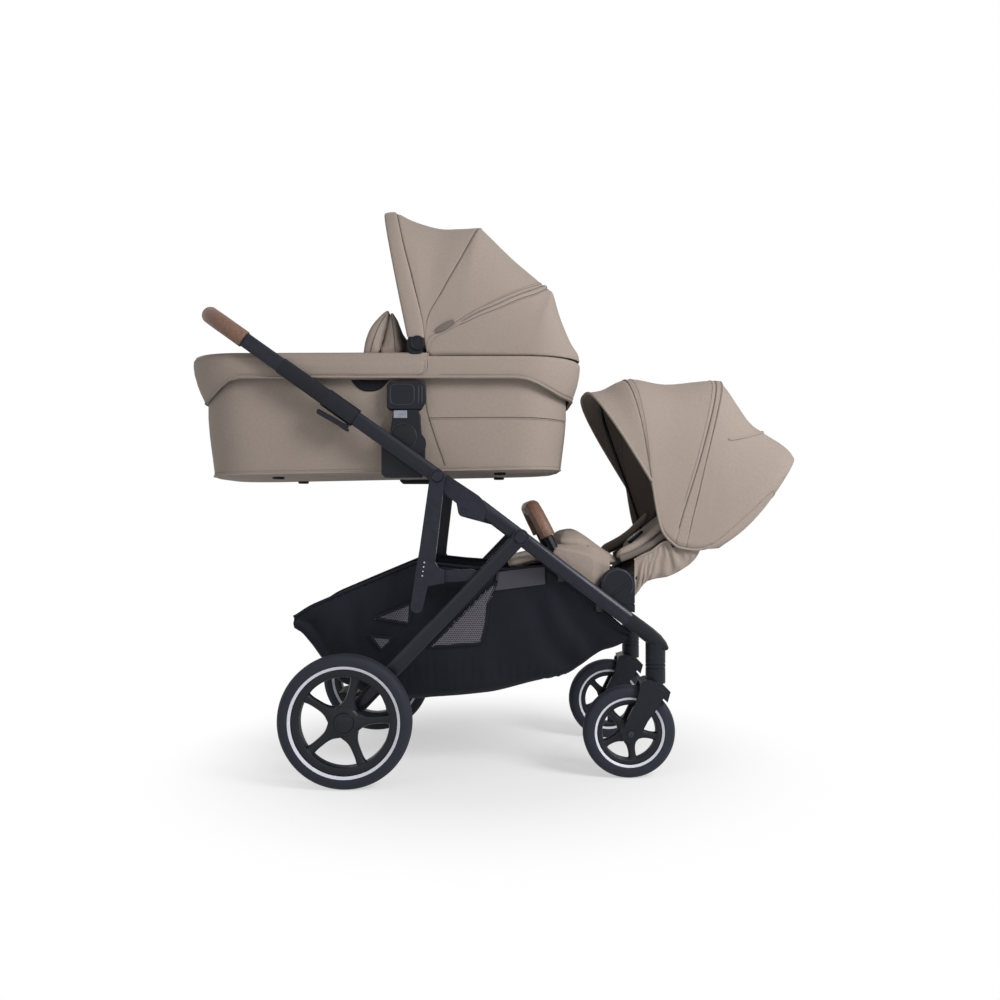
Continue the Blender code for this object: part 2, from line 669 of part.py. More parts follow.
def upper_frame(side, fold):
    """Upper tube with its fold casting, and the sleeve that the handle slides in."""
    mark = "R" if side < 0 else "L"
    y = side * TUBE_Y
    tube_end = SLEEVE_START + TUBE_INSERTION
    tube = oval_bar(f"upper_tube_{mark}", upper_point(CASTING_LENGTH - 0.02), upper_point(tube_end),
                    y, TUBE_HEIGHT, TUBE_WIDTH)
    slope = math.degrees(UPPER_SLOPE)
    top = [upper_point(CASTING_LENGTH, TUBE_HEIGHT / 2 - 0.001),
           upper_point(CASTING_LENGTH, -TUBE_HEIGHT / 2 + 0.001)]
    outline = [top[1], upper_point(0.085, -CASTING_RISE - 0.004), upper_point(0.060, -CASTING_RISE - 0.005)]
    outline += arc(FOLD_X, FOLD_Z, LUG_RADIUS, 180 - slope + 50, 300, 8)
    outline += arc(FOLD_X, FOLD_Z, SEAM_RADIUS, -30, 28, 9)
    outline += [upper_point(0.030, CASTING_RISE), top[0]]
    casting = plate("casting", outline, y - TUBE_WIDTH / 2, y + TUBE_WIDTH / 2)
    hole = rod("fold_bore", (FOLD_X, y - 0.03, FOLD_Z), (FOLD_X, y + 0.03, FOLD_Z),
               HINGE_PIN_RADIUS + PIN_PLAY, sides=16)
    shank = rod("arm_pin", (ARM_PIVOT[0], y, ARM_PIVOT[1]),
                (ARM_PIVOT[0], side * (LEG_OUT + GAP + 0.001), ARM_PIVOT[1]), PIN_RADIUS, sides=12)
    cap = rod("arm_cap", (ARM_PIVOT[0], side * (LEG_OUT + GAP), ARM_PIVOT[1]),
              (ARM_PIVOT[0], side * (LEG_OUT + GAP + CAP_THICKNESS), ARM_PIVOT[1]),
              CAP_RADIUS * 0.9, sides=20, radius_end=CAP_RADIUS * 0.7)
    combine(tube, [casting, shank, cap])
    cut(tube, [hole])
    sleeve = oval_bar(f"height_sleeve_{mark}", upper_point(SLEEVE_START + 0.02), upper_point(SLEEVE_END),
                      y, SLEEVE_HEIGHT, SLEEVE_WIDTH)
    collar = oval_bar("collar", upper_point(SLEEVE_START), upper_point(SLEEVE_START + COLLAR_LENGTH),
                      y, COLLAR_HEIGHT, COLLAR_WIDTH)
    bore = oval_bar("sleeve_bore", upper_point(SLEEVE_START - 0.02), upper_point(SLEEVE_END + 0.02),
                    y, TUBE_HEIGHT + 2 * SLIDE_PLAY, TUBE_WIDTH + 2 * SLIDE_PLAY)
    combine(sleeve, [collar])
    cut(sleeve, [bore])
    hang(fold, tube, sleeve)
    lever(side)


def lever(side):
    """The squeeze lever under the collar."""
    mark = "R" if side < 0 else "L"
    y = side * TUBE_Y
    drop = -COLLAR_HEIGHT / 2
    pivot = upper_point(SLEEVE_START + 0.006, drop - 0.007)
    axis = joint_empty(f"lever_axis_{mark}", pivot[0], y, pivot[1])
    start = SLEEVE_START + 0.003
    outline = [upper_point(start + 0.004, drop + 0.0003), upper_point(start, drop + 0.0003),
               upper_point(start, drop - LEVER_THICKNESS),
               upper_point(start + LEVER_LENGTH, drop - LEVER_THICKNESS - 0.007),
               upper_point(start + LEVER_LENGTH + 0.004, drop - 0.011),
               upper_point(start + LEVER_LENGTH, drop - 0.0075),
               upper_point(start + 0.012, drop - 0.0015)]
    made = plate(f"fold_lever_{mark}", outline, y - LEVER_WIDTH / 2, y + LEVER_WIDTH / 2, "plastic", 0.001)
    hang(axis, made)


def handle():
    """The U-shaped handle tube and its padded grip."""
    start = upper_point(SLEEVE_END)
    axis = joint_empty("handle_axis", start[0], 0.0, start[1])
    begin = SLEEVE_END - HANDLE_INSERTION
    path = []
    for sign in (-1, 1):
        run = [(begin, TUBE_Y), (GRIP_END, TUBE_Y)]
        for n in range(4):
            turn = math.pi / 2 * n / 3
            run.append((HANDLE_REACH - HANDLE_CORNER + HANDLE_CORNER * math.sin(turn),
                        TUBE_Y - HANDLE_CORNER + HANDLE_CORNER * math.cos(turn)))
        run = [(reach, sign * y) for reach, y in run]
        path += run if sign < 0 else run[::-1]
    tube = swept("handle_tube", path, TUBE_HEIGHT / 2, TUBE_WIDTH / 2, "frame", 12)
    grip_path = [(GRIP_END, -TUBE_Y)] + path[2:-2] + [(GRIP_END, TUBE_Y)]
    grip = swept("handle_grip", grip_path, GRIP_RADIUS, GRIP_RADIUS, "leatherette", 12)
    hollow_path = [(GRIP_END - 0.02, -TUBE_Y)] + path[2:-2] + [(GRIP_END - 0.02, TUBE_Y)]
    hollow = swept("grip_hollow", hollow_path, TUBE_HEIGHT / 2 + GAP, TUBE_WIDTH / 2 + GAP,
                   "leatherette", 12)
    cut(grip, [hollow])
    hang(axis, tube, grip)


def swept(name, path, half_height, half_width, colour, count):
    """An oval section swept along (reach, y) points in the plane of the upper tubes."""
    up = Vector((math.sin(UPPER_SLOPE), 0.0, math.cos(UPPER_SLOPE)))
    points = []
    for reach, y in path:
        x, z = upper_point(reach)
        points.append(Vector((x, y, z)))
    rings = []
    for i, point in enumerate(points):
        before = points[max(i - 1, 0)]
        after = points[min(i + 1, len(points) - 1)]
        across = (after - before).normalized().cross(up).normalized()
        rings.append([point + up * a + across * b for a, b in squircle(half_height, half_width, count)])
    return loft(name, rings, colour)


def rear_legs(side, leg_axis):
    """One rear leg from the pivot cap to the wheel hub."""
    mark = "R" if side < 0 else "L"
    low = side * LEG_IN
    high = side * LEG_OUT
    y = (low + high) / 2
    leg = oval_bar(f"rear_leg_{mark}", LEG_PIVOT, (REAR_AXLE_X, REAR_AXLE_Z), y, LEG_HEIGHT, LEG_WIDTH)
    top = rod("leg_eye", (LEG_PIVOT[0], low, LEG_PIVOT[1]), (LEG_PIVOT[0], high, LEG_PIVOT[1]),
              LEG_EYE_RADIUS, sides=16)
    foot = rod("hub_eye", (REAR_AXLE_X, low, REAR_AXLE_Z), (REAR_AXLE_X, high, REAR_AXLE_Z),
               HUB_EYE_RADIUS, sides=18)
    pin_bore = rod("leg_bore", (LEG_PIVOT[0], low * 0.9, LEG_PIVOT[1]), (LEG_PIVOT[0], high * 1.1, LEG_PIVOT[1]),
                   PIN_RADIUS + PIN_PLAY, sides=16)
    axle_bore = rod("axle_bore", (REAR_AXLE_X, low * 0.9, REAR_AXLE_Z),
                    (REAR_AXLE_X, high * 1.1, REAR_AXLE_Z), REAR_AXLE_RADIUS + PIN_PLAY, sides=16)
    combine(leg, [top, foot])
    cut(leg, [pin_bore, axle_bore])
    hang(leg_axis, leg)


def rear_axle(leg_axis):
    """The cross tube between the rear legs with a stub axle at each end, and the brake pedal."""
    inner = LEG_IN - GAP
    tube = rod("rear_axle_tube", (REAR_AXLE_X, -inner, REAR_AXLE_Z), (REAR_AXLE_X, inner, REAR_AXLE_Z),
               AXLE_TUBE_RADIUS, sides=16)
    stub_end = REAR_WHEEL_Y + 0.011
    stubs = rod("stub_axle", (REAR_AXLE_X, -stub_end, REAR_AXLE_Z), (REAR_AXLE_X, stub_end, REAR_AXLE_Z),
                REAR_AXLE_RADIUS, sides=12)
    combine(tube, [stubs])
    hang(leg_axis, tube)
    axis = joint_empty("brake_axis", REAR_AXLE_X, 0.0, REAR_AXLE_Z)
    inside = AXLE_TUBE_RADIUS + GAP
    outline = arc(REAR_AXLE_X, REAR_AXLE_Z, inside + 0.006, 200, 520, 15)
    pedal = plate("brake_pedal", outline, -0.045, 0.045, "plastic")
    bore = rod("pedal_bore", (REAR_AXLE_X, -0.06, REAR_AXLE_Z), (REAR_AXLE_X, 0.06, REAR_AXLE_Z), inside, sides=24)
    tread = [(REAR_AXLE_X - 0.014, REAR_AXLE_Z - 0.004), (REAR_AXLE_X - 0.050, REAR_AXLE_Z + 0.008),
             (REAR_AXLE_X - 0.052, REAR_AXLE_Z + 0.016), (REAR_AXLE_X - 0.040, REAR_AXLE_Z + 0.018),
             (REAR_AXLE_X - 0.013, REAR_AXLE_Z + 0.008)]
    foot = plate("tread", tread, -0.045, 0.045, "plastic")
    combine(pedal, [foot])
    cut(pedal, [bore])
    hang(axis, pedal)


def swing_arm(side):
    """The arm from the upper tube down to its foot, with the link bar that goes to the rear leg."""
    mark = "R" if side < 0 else "L"
    axis = joint_empty(f"arm_axis_{mark}", ARM_PIVOT[0], side * TUBE_Y, ARM_PIVOT[1])
    low = side * LEG_IN
    high = side * LEG_OUT
    foot = (ARM_FOOT_X, ARM_FOOT_Z)
    outline = arc(ARM_PIVOT[0], ARM_PIVOT[1], ARM_EYE_RADIUS, 0, 180, 9)
    outline += [(ARM_FOOT_X + 0.006, ARM_FOOT_Z + 0.125), (ARM_FOOT_X + 0.000, ARM_FOOT_Z + 0.090)]
    outline += arc(foot[0], foot[1], ARM_FOOT_RADIUS, 180, 350, 9)
    outline += [(ARM_FOOT_X + 0.024, ARM_FOOT_Z + 0.045), (ARM_FOOT_X + 0.060, ARM_FOOT_Z + 0.052),
                (ARM_FOOT_X + 0.060, ARM_FOOT_Z + 0.079), (ARM_FOOT_X + 0.048, ARM_FOOT_Z + 0.083),
                (ARM_FOOT_X + 0.040, ARM_FOOT_Z + 0.096), (ARM_FOOT_X + 0.042, ARM_FOOT_Z + 0.118)]
    arm = plate(f"swing_arm_{mark}", outline, min(low, high), max(low, high), "frame")
    start = (ARM_FOOT_X + 0.030, LINK_Z - 0.0035)
    step = LINK_HEIGHT / 2
    outline = [(start[0], start[1] + step), (start[0], start[1] - step)]
    outline += arc(LINK_X, LINK_Z, step, -90, 90, 8)
    inner = side * (LEG_IN - GAP - LINK_WIDTH)
    outer = side * (LEG_IN - GAP)
    link = plate("link", outline, min(inner, outer), max(inner, outer), "frame")
    boss_outline = [(start[0] + 0.002, start[1] - step + 0.001), (start[0] + 0.026, start[1] - step + 0.001),
                    (start[0] + 0.026, start[1] + step - 0.003), (start[0] + 0.002, start[1] + step - 0.003)]
    middle = side * (LEG_IN + 0.004)
    near_inner = inner + side * 0.001
    boss = plate("link_boss", boss_outline, min(near_inner, middle), max(near_inner, middle), "frame")
    bore = rod("arm_bore", (ARM_PIVOT[0], low * 0.9, ARM_PIVOT[1]), (ARM_PIVOT[0], high * 1.1, ARM_PIVOT[1]),
               PIN_RADIUS + PIN_PLAY, sides=16)
    combine(arm, [boss, link])
    cut(arm, [bore])
    hang(axis, arm)


def chassis():
    """Everything below the carrycot and the seat."""
    fixed = joint_empty("front_frame", 0.0, 0.0, 0.0)
    fold = joint_empty("fold_axis", FOLD_X, 0.0, FOLD_Z)
    leg_axis = joint_empty("leg_axis", LEG_PIVOT[0], 0.0, LEG_PIVOT[1])
    for side in (-1, 1):
        front_frame(side, fixed)
        upper_frame(side, fold)
        rear_legs(side, leg_axis)
        swing_arm(side)
        caster(side)
        spin = joint_empty("rear_wheel_axis_" + ("R" if side < 0 else "L"),
                           REAR_AXLE_X, side * REAR_WHEEL_Y, REAR_AXLE_Z)
        wheel_pair("rear", side, spin)
    rear_axle(leg_axis)
    handle()
    inner = TUBE_IN - 2 * GAP - HINGE_PLATE_WIDTH
    x, z = front_point(0.035)
    hinge_tube = rod("hinge_cross_tube", (x, -inner, z), (x, inner, z), 0.0105, sides=14)
    x, z = front_point(FRONT_CROSS_REACH)
    inner = TUBE_IN - GAP
    front_tube = rod("front_cross_tube", (x, -inner, z), (x, inner, z), 0.0125, sides=14)
    hang(fixed, hinge_tube, front_tube)
    return fixed, fold


def pipe(name, points, radius, colour="frame", sides=10):
    """A round tube through points."""
    points = [Vector(p) for p in points]
    up = None
    rings = []
    for i, point in enumerate(points):
        along = (points[min(i + 1, len(points) - 1)] - points[max(i - 1, 0)]).normalized()
        if up is None:
            up = along.orthogonal().normalized()
        up = (up - along * up.dot(along)).normalized()
        across = along.cross(up)
        rings.append([point + up * (radius * math.cos(math.tau * k / sides))
                      + across * (radius * math.sin(math.tau * k / sides)) for k in range(sides)])
    return loft(name, rings, colour, 50.0)


def bow(name, hinge, angle, reach, half_width, power):
    """An arched canopy bow that stands at an angle from its hinge line."""
    angle = math.radians(angle)
    points = []
    count = 13
    for i in range(count):
        turn = math.pi * i / (count - 1)
        c = math.cos(turn)
        y = half_width * math.copysign(abs(c) ** (2 / power), c)
        rise = reach * max(math.sin(turn), 0.0) ** (2 / power)
        points.append((hinge[0] + rise * math.cos(angle), -y, hinge[1] + rise * math.sin(angle)))
    made = pipe(name, points, BOW_RADIUS, "steel", 6)
    eyes = []
    for side in (-1, 1):
        eyes.append(rod("bow_eye", (hinge[0], side * (half_width - BOW_RADIUS - 0.0002), hinge[1]),
                        (hinge[0], side * (half_width + BOW_RADIUS + 0.0002), hinge[1]),
                        BOW_RADIUS * 2, "steel", 10))
    combine(made, eyes)
    return made


def bow_crown(hinge, angle, reach):
    """Side-view place of a bow's crown."""
    turn = math.radians(angle)
    return (hinge[0] + reach * math.cos(turn), hinge[1] + reach * math.sin(turn))


def hood(name, ribs, power):
    """A canopy cloth over ribs: each rib is a base point, a base half width and a crown point."""
    rows = []
    count = 13
    for base_x, base_z, base_y, crown_x, crown_z in ribs:
        row = []
        for i in range(count):
            turn = math.pi * i / (count - 1)
            c = math.cos(turn)
            y = -base_y * math.copysign(abs(c) ** (2 / power), c)
            rise = max(math.sin(turn), 0.0) ** (2 / power)
            row.append(Vector((base_x + (crown_x - base_x) * rise, y, base_z + (crown_z - base_z) * rise)))
        rows.append(row)
    return sheet(name, rows, CLOTH, "taupe")


def plan_ring(low_x, high_x, half_width, corner, height, steps=5):
    """A level rounded rectangle of points: height is a number or a function of x."""
    ring = []
    for centre_x, centre_y, first in ((high_x - corner, half_width - corner, 0),
                                      (low_x + corner, half_width - corner, 90),
                                      (low_x + corner, corner - half_width, 180),
                                      (high_x - corner, corner - half_width, 270)):
        for i in range(steps):
            angle = math.radians(first + 90 * i / (steps - 1))
            x = centre_x + corner * math.cos(angle)
            z = height(x) if callable(height) else height
            ring.append(Vector((x, centre_y + corner * math.sin(angle), z)))
    return ring


def loop_solid(name, rings, colour, smooth=50.0):
    """A closed ring-shaped solid: the last ring joins the first."""
    shape = bmesh.new()
    rows = [[shape.verts.new(p) for p in ring] for ring in rings]
    count = len(rows[0])
    for low, high in zip(rows, rows[1:] + rows[:1]):
        for i in range(count):
            j = (i + 1) % count
            shape.faces.new((low[i], low[j], high[j], high[i]))
    return from_bmesh(name, shape, colour, smooth)


def blend(value, low, high):
    """Smooth step from 0 to 1 between two values."""
    share = min(max((value - low) / (high - low), 0.0), 1.0)
    return share * share * (3 - 2 * share)


def cot_floor(x):
    """Height of the carrycot's underside, rising towards the head."""
    share = (x - COT_FOOT_X) / (COT_HEAD_X - COT_FOOT_X)
    return COT_FLOOR_Z + COT_FLOOR_RISE * share


def cot_band_foot(x):
    """Height of the band's lower edge, drooping at both ends."""
    reach = 0.11
    droop = blend(COT_FOOT_X + reach - x, 0.0, reach) + blend(x - COT_HEAD_X + reach, 0.0, reach)
    return COT_TOP_Z - COT_BAND_DEPTH - COT_BAND_DROOP * droop


def carrycot(cot):
    """Tub, apron, wind flap, mattress and latches."""
    low = COT_FOOT_X + COT_END_INSET
    high = COT_HEAD_X - COT_END_INSET
    half = COT_TUB_HALF_WIDTH
    corner = COT_CORNER - 0.02
    taper = COT_TAPER
    rim = COT_TOP_Z - 0.0073
    wall = COT_WALL
    rings = [plan_ring(low + taper + 0.014, high - taper - 0.014, half - taper - 0.012, corner - 0.02, cot_floor),
             plan_ring(low + taper, high - taper, half - taper, corner - 0.01, lambda x: cot_floor(x) + 0.014),
             plan_ring(low, high, half, corner, 0.812),
             plan_ring(low, high, half, corner, rim),
             plan_ring(low + wall, high - wall, half - wall, corner - wall, rim),
             plan_ring(low + wall, high - wall, half - wall, corner - wall, 0.812),
             plan_ring(low + taper + wall, high - taper - wall, half - taper - wall, corner - 0.02,
                       lambda x: cot_floor(x) + 0.020),
             plan_ring(low + taper + 0.022, high - taper - 0.022, half - taper - 0.020, corner - 0.028,
                       lambda x: cot_floor(x) + wall)]
    tub = loft("cot_tub", rings, "taupe", 40.0)
    extras = []
    for x in (-0.49, 0.018):
        z = cot_floor(x)
        for side in (-1, 1):
            y = side * (half - taper - 0.035)
            extras.append(rod("cot_foot", (x, y, z - 0.006), (x, y, z + 0.004), 0.012, "plastic", 8, 0.014))
    tab_y = COT_BOW_Y[1] - BOW_RADIUS - 0.0095
    for side in (-1, 1):
        ends = sorted((side * tab_y, side * (tab_y + 0.005)))
        root = sorted((side * (tab_y + 0.0005), side * (half - wall / 2)))
        extras.append(box("hinge_tab", (COT_HINGE_X - 0.010, ends[0], rim - 0.020),
                          (COT_HINGE_X + 0.010, ends[1], COT_HINGE_Z + 0.010)))
        extras.append(box("tab_root", (COT_HINGE_X - 0.009, root[0], rim - 0.019),
                          (COT_HINGE_X + 0.009, root[1], rim - 0.006)))
    bores = [rod("tab_bore", (COT_HINGE_X, side * (tab_y - 0.01), COT_HINGE_Z),
                 (COT_HINGE_X, side * (tab_y + 0.01), COT_HINGE_Z), BOW_PIN_RADIUS + PIN_PLAY, sides=12)
             for side in (-1, 1)]
    combine(tub, extras)
    cut(tub, bores)
    outer = COT_HALF_WIDTH
    inner_low = low - GAP
    inner_high = high + GAP
    rings = [plan_ring(inner_low, inner_high, half + GAP, corner + GAP, lambda x: cot_band_foot(x) + 0.002),
             plan_ring(COT_FOOT_X + 0.007, COT_HEAD_X - 0.007, outer - 0.007, COT_CORNER - 0.007, cot_band_foot),
             plan_ring(COT_FOOT_X, COT_HEAD_X, outer, COT_CORNER, lambda x: cot_band_foot(x) + 0.009),
             plan_ring(COT_FOOT_X, COT_HEAD_X, outer, COT_CORNER, COT_TOP_Z - 0.009),
             plan_ring(COT_FOOT_X + 0.007, COT_HEAD_X - 0.007, outer - 0.007, COT_CORNER - 0.007, COT_TOP_Z),
             plan_ring(inner_low, inner_high, half + GAP, corner + GAP, COT_TOP_Z - 0.001)]
    apron = loop_solid("cot_apron", rings, "taupe")
    rings = []
    for inset, height in ((0.014, rim + GAP), (0.012, COT_TOP_Z + 0.0062), (0.030, COT_TOP_Z + 0.0090),
                          (0.075, COT_TOP_Z + 0.0115)):
        ring = plan_ring(COT_FOOT_X + inset, COT_COVER_END * 2 - COT_FOOT_X, outer - inset,
                         COT_CORNER - inset, height)
        side_count = len(ring) // 4
        half_ring = ring[side_count:3 * side_count]
        half_ring = [Vector((COT_COVER_END - inset * 0.1, half_ring[0].y, height))] + half_ring
        half_ring.append(Vector((COT_COVER_END - inset * 0.1, half_ring[-1].y, height)))
        rings.append(half_ring)
    cover = loft("cover", rings, "taupe")
    combine(apron, [cover])
    rows = []
    for i in range(9):
        share = -1 + 2 * i / 8
        y = FLAP_HALF_WIDTH * share
        rise = FLAP_HEIGHT * (1 - 0.80 * abs(share) ** 3)
        base = COT_TOP_Z + 0.0140
        rows.append([Vector((-0.302, y, base)), Vector((-0.279, y, base + rise * 0.52)),
                     Vector((-0.247, y, base + rise * 0.97)), Vector((-0.240, y, base + rise)),
                     Vector((-0.232, y, base + rise * 0.93)), Vector((-0.221, y, base))])
    flap = sheet("cot_flap", rows, 0.0028)
    inset = wall + taper + 0.012
    deep = wall + 0.0005
    rings = [plan_ring(low + inset + 0.02, high - inset - 0.02, half - inset - 0.014, corner - 0.04,
                       lambda x: cot_floor(x) + deep),
             plan_ring(low + inset, high - inset, half - inset, corner - 0.02,
                       lambda x: cot_floor(x) + deep + 0.010),
             plan_ring(low + inset, high - inset, half - inset, corner - 0.02,
                       lambda x: cot_floor(x) + deep + 0.020),
             plan_ring(low + inset + 0.02, high - inset - 0.02, half - inset - 0.014, corner - 0.04,
                       lambda x: cot_floor(x) + deep + MATTRESS_THICKNESS - 0.003),
             plan_ring(low + inset + 0.10, high - inset - 0.10, half - inset - 0.07, corner - 0.09,
                       lambda x: cot_floor(x) + deep + MATTRESS_THICKNESS)]
    mattress = loft("cot_mattress", rings, "basket", 60.0)
    hang(cot, tub, apron, flap, mattress)
    for side in (-1, 1):
        hang(cot, cot_latch(side))


def cot_latch(side):
    """The latch on the tub's side that drops over the adapter's tongue."""
    mark = "R" if side < 0 else "L"
    inner = side * (COT_TUB_HALF_WIDTH + GAP)
    outer = side * (TUBE_IN - 0.0005)
    x = ADAPTER_X
    half = LATCH_WIDTH / 2
    top = ADAPTER_TOP_Z + LATCH_HEIGHT
    outline = [(x - half + 0.004, ADAPTER_TOP_Z), (x + half - 0.012, ADAPTER_TOP_Z),
               (x + half, ADAPTER_TOP_Z + 0.020), (x + half, top - 0.008), (x + half - 0.008, top),
               (x - half + 0.008, top), (x - half, top - 0.008), (x - half, ADAPTER_TOP_Z + 0.004)]
    latch = plate(f"cot_latch_{mark}", outline, min(inner, outer), max(inner, outer), "plastic", 0.0015)
    socket = tongue("latch_socket", side, x, ADAPTER_TOP_Z, TONGUE_HEIGHT + 0.002, SLIDE_PLAY)
    cut(latch, [socket])
    return latch


def tongue(name, side, x, base, height, play):
    """The upright tongue of an adapter, or its socket when play is added."""
    y = side * TONGUE_Y
    half_x = TONGUE_WIDTH / 2 + play
    half_y = TONGUE_THICKNESS / 2 + play
    return box(name, (x - half_x, y - half_y, base - 0.006), (x + half_x, y + half_y, base + height))


def cot_adapter(side, fold):
    """The carrycot adapter clamped to the upper tube, and its release button."""
    mark = "R" if side < 0 else "L"
    outer = side * (TUBE_IN - GAP)
    inner = side * (TUBE_IN - GAP - ADAPTER_THICKNESS)
    top = ADAPTER_TOP_Z - GAP
    x = ADAPTER_X
    half = ADAPTER_WIDTH / 2
    outline = [(x - 0.047, ADAPTER_FOOT_Z), (x + 0.033, ADAPTER_FOOT_Z), (x + 0.041, ADAPTER_FOOT_Z + 0.008),
               (x + 0.041, ADAPTER_FOOT_Z + 0.070), (x + half + 0.004, ADAPTER_FOOT_Z + 0.084),
               (x + half, top - 0.012), (x + half - 0.004, top), (x - half + 0.004, top),
               (x - half, top - 0.012), (x - half - 0.008, ADAPTER_FOOT_Z + 0.084),
               (x - 0.055, ADAPTER_FOOT_Z + 0.070), (x - 0.055, ADAPTER_FOOT_Z + 0.008)]
    neck_face = side * (TUBE_IN - GAP - 0.0012)
    body = plate(f"cot_adapter_{mark}", outline, min(inner, neck_face), max(inner, neck_face), "plastic", 0.001)
    disc_inner = side * (TUBE_IN - GAP - 0.006)
    disc = rod("adapter_disc", (x + 0.017, disc_inner, 0.746), (x + 0.017, outer, 0.746),
               ADAPTER_DISC_RADIUS, "plastic", 24)
    key = tongue("adapter_tongue", side, x, top, TONGUE_HEIGHT, 0.0)
    low = BUTTON_Z - BUTTON_HEIGHT / 2
    high = BUTTON_Z + BUTTON_HEIGHT / 2
    button_inner = side * (TUBE_IN - 0.0055)
    button_outer = side * (TUBE_IN + 0.0015)
    pocket_inner = button_inner - side * (BUTTON_TRAVEL + 0.0004)
    play = SLIDE_PLAY
    pocket_outer = button_outer + side * 0.01
    pocket = box("button_pocket", (BUTTON_X - BUTTON_WIDTH / 2 - play, min(pocket_inner, pocket_outer), low - play),
                 (BUTTON_X + BUTTON_WIDTH / 2 + play, max(pocket_inner, pocket_outer), high + play))
    combine(body, [disc, key])
    cut(body, [pocket])
    hang(fold, body)
    axis = joint_empty(f"button_axis_{mark}", BUTTON_X, button_inner, BUTTON_Z)
    button = box(f"adapter_button_{mark}", (BUTTON_X - BUTTON_WIDTH / 2, min(button_inner, button_outer), low),
                 (BUTTON_X + BUTTON_WIDTH / 2, max(button_inner, button_outer), high), "button", 0.001)
    hang(axis, button)


def cot_canopy(cot):
    """The carrycot's canopy cloth and its two moving bows."""
    half = COT_HOOD_HALF_WIDTH
    base = COT_TOP_Z + 0.0020
    corner = 0.125
    hinge = (COT_HINGE_X, COT_HINGE_Z)
    front_crown = bow_crown(hinge, COT_BOW_ANGLE[0], COT_BOW_REACH[0])
    mid_crown = bow_crown(hinge, COT_BOW_ANGLE[1], COT_BOW_REACH[1])
    head = (COT_HEAD_X, COT_TOP_Z)
    ribs = [(-0.190, base + 0.0140, front_crown, -0.0033, 0.0147),
            (-0.172, base + 0.0045, front_crown, 0.0132, 0.0120),
            (-0.150, base, front_crown, 0.0487, -0.0110),
            (-0.125, base, mid_crown, -0.1000, 0.0119),
            (-0.095, base, mid_crown, -0.0410, 0.0119),
            (-0.065, base, mid_crown, 0.0060, 0.0144),
            (-0.040, base, mid_crown, 0.0410, -0.0116),
            (-0.010, base, mid_crown, 0.0885, -0.0546),
            (0.025, base, head, -0.1180, 0.2190),
            (0.060, base, head, -0.0710, 0.1760),
            (0.100, base, head, -0.0590, 0.1640),
            (0.140, base, head, -0.0475, 0.1100),
            (0.172, base, head, -0.0240, 0.0530),
            (0.193, base, head, -0.0060, 0.0270),
            (0.203, base, head, -0.0020, 0.0060)]
    shaped = []
    for base_x, base_z, near, crown_x, crown_z in ribs:
        past = max(base_x - (COT_HEAD_X - corner), 0.0)
        width = half - corner + math.sqrt(corner ** 2 - past ** 2)
        shaped.append((base_x, base_z, width, near[0] + crown_x, near[1] + crown_z))
    cloth = hood("cot_canopy", shaped, 2.6)
    holes = [rod("knob_hole", (COT_HINGE_X, side * (half - 0.008), COT_HINGE_Z),
                 (COT_HINGE_X, side * (half + 0.005), COT_HINGE_Z), BOW_PIN_RADIUS + 0.0012, sides=12)
             for side in (-1, 1)]
    cut(cloth, holes)
    hang(cot, cloth)
    axis = joint_empty("cot_hood_axis", COT_HINGE_X, 0.0, COT_HINGE_Z)
    front = bow("cot_front_bow", hinge, COT_BOW_ANGLE[0], COT_BOW_REACH[0], COT_BOW_Y[0], 2.4)
    knobs = []
    for side in (-1, 1):
        knobs.append(rod("knob", (COT_HINGE_X, side * (half + GAP), COT_HINGE_Z),
                         (COT_HINGE_X, side * (half + 0.0065), COT_HINGE_Z), 0.0155, "plastic", 16, 0.0135))
        knobs.append(rod("knob_pin", (COT_HINGE_X, side * (half + 0.004), COT_HINGE_Z),
                         (COT_HINGE_X, side * (COT_BOW_Y[1] - 0.016), COT_HINGE_Z), BOW_PIN_RADIUS, "plastic", 12))
    combine(front, knobs)
    hang(axis, front)
    axis = joint_empty("cot_mid_bow_axis", COT_HINGE_X, 0.0, COT_HINGE_Z)
    mid = bow("cot_mid_bow", hinge, COT_BOW_ANGLE[1], COT_BOW_REACH[1], COT_BOW_Y[1], 2.4)
    bow_bores(mid, hinge, COT_BOW_Y[1])
    hang(axis, mid)


def bow_bores(made, hinge, y):
    """Bores for the pin through a bow's two eyes."""
    for side in (-1, 1):
        bore = rod("bow_bore", (hinge[0], side * (y - 0.012), hinge[1]), (hinge[0], side * (y + 0.012), hinge[1]),
                   BOW_PIN_RADIUS + PIN_PLAY, sides=12)
        cut(made, [bore])


def seat_adapter(side, fixed):
    """The bracket on the front tube whose tongue carries the seat."""
    mark = "R" if side < 0 else "L"
    outer = side * (TUBE_IN - GAP)
    inner = side * (TUBE_IN - GAP - ADAPTER_THICKNESS)
    top = SEAT_ADAPTER_TOP_Z - GAP
    x = SEAT_HUB_X
    outline = [(x - 0.0392, top - 0.0137), (x - 0.0117, top - 0.0342), (x - 0.0082, top - 0.0152),
               (x + SEAT_HUB_FRONT, top - 0.0175), (x + SEAT_HUB_FRONT, top), (x - 0.0472, top),
               (x - 0.0472, top - 0.0057)]
    body = plate(f"seat_adapter_{mark}", outline, min(inner, outer), max(inner, outer), "plastic")
    key = seat_tongue("seat_tongue", side, top, SEAT_TONGUE_HEIGHT, 0.0)
    combine(body, [key])
    hang(fixed, body)


def seat_tongue(name, side, base, height, play):
    """The seat adapter's tongue, or its socket when play is added."""
    y = side * TONGUE_Y
    half_x = SEAT_TONGUE_WIDTH / 2 + play
    half_y = TONGUE_THICKNESS / 2 + play
    x = SEAT_HUB_X - SEAT_TONGUE_BACK
    return box(name, (x - half_x, y - half_y, base - 0.004), (x + half_x, y + half_y, base + height))


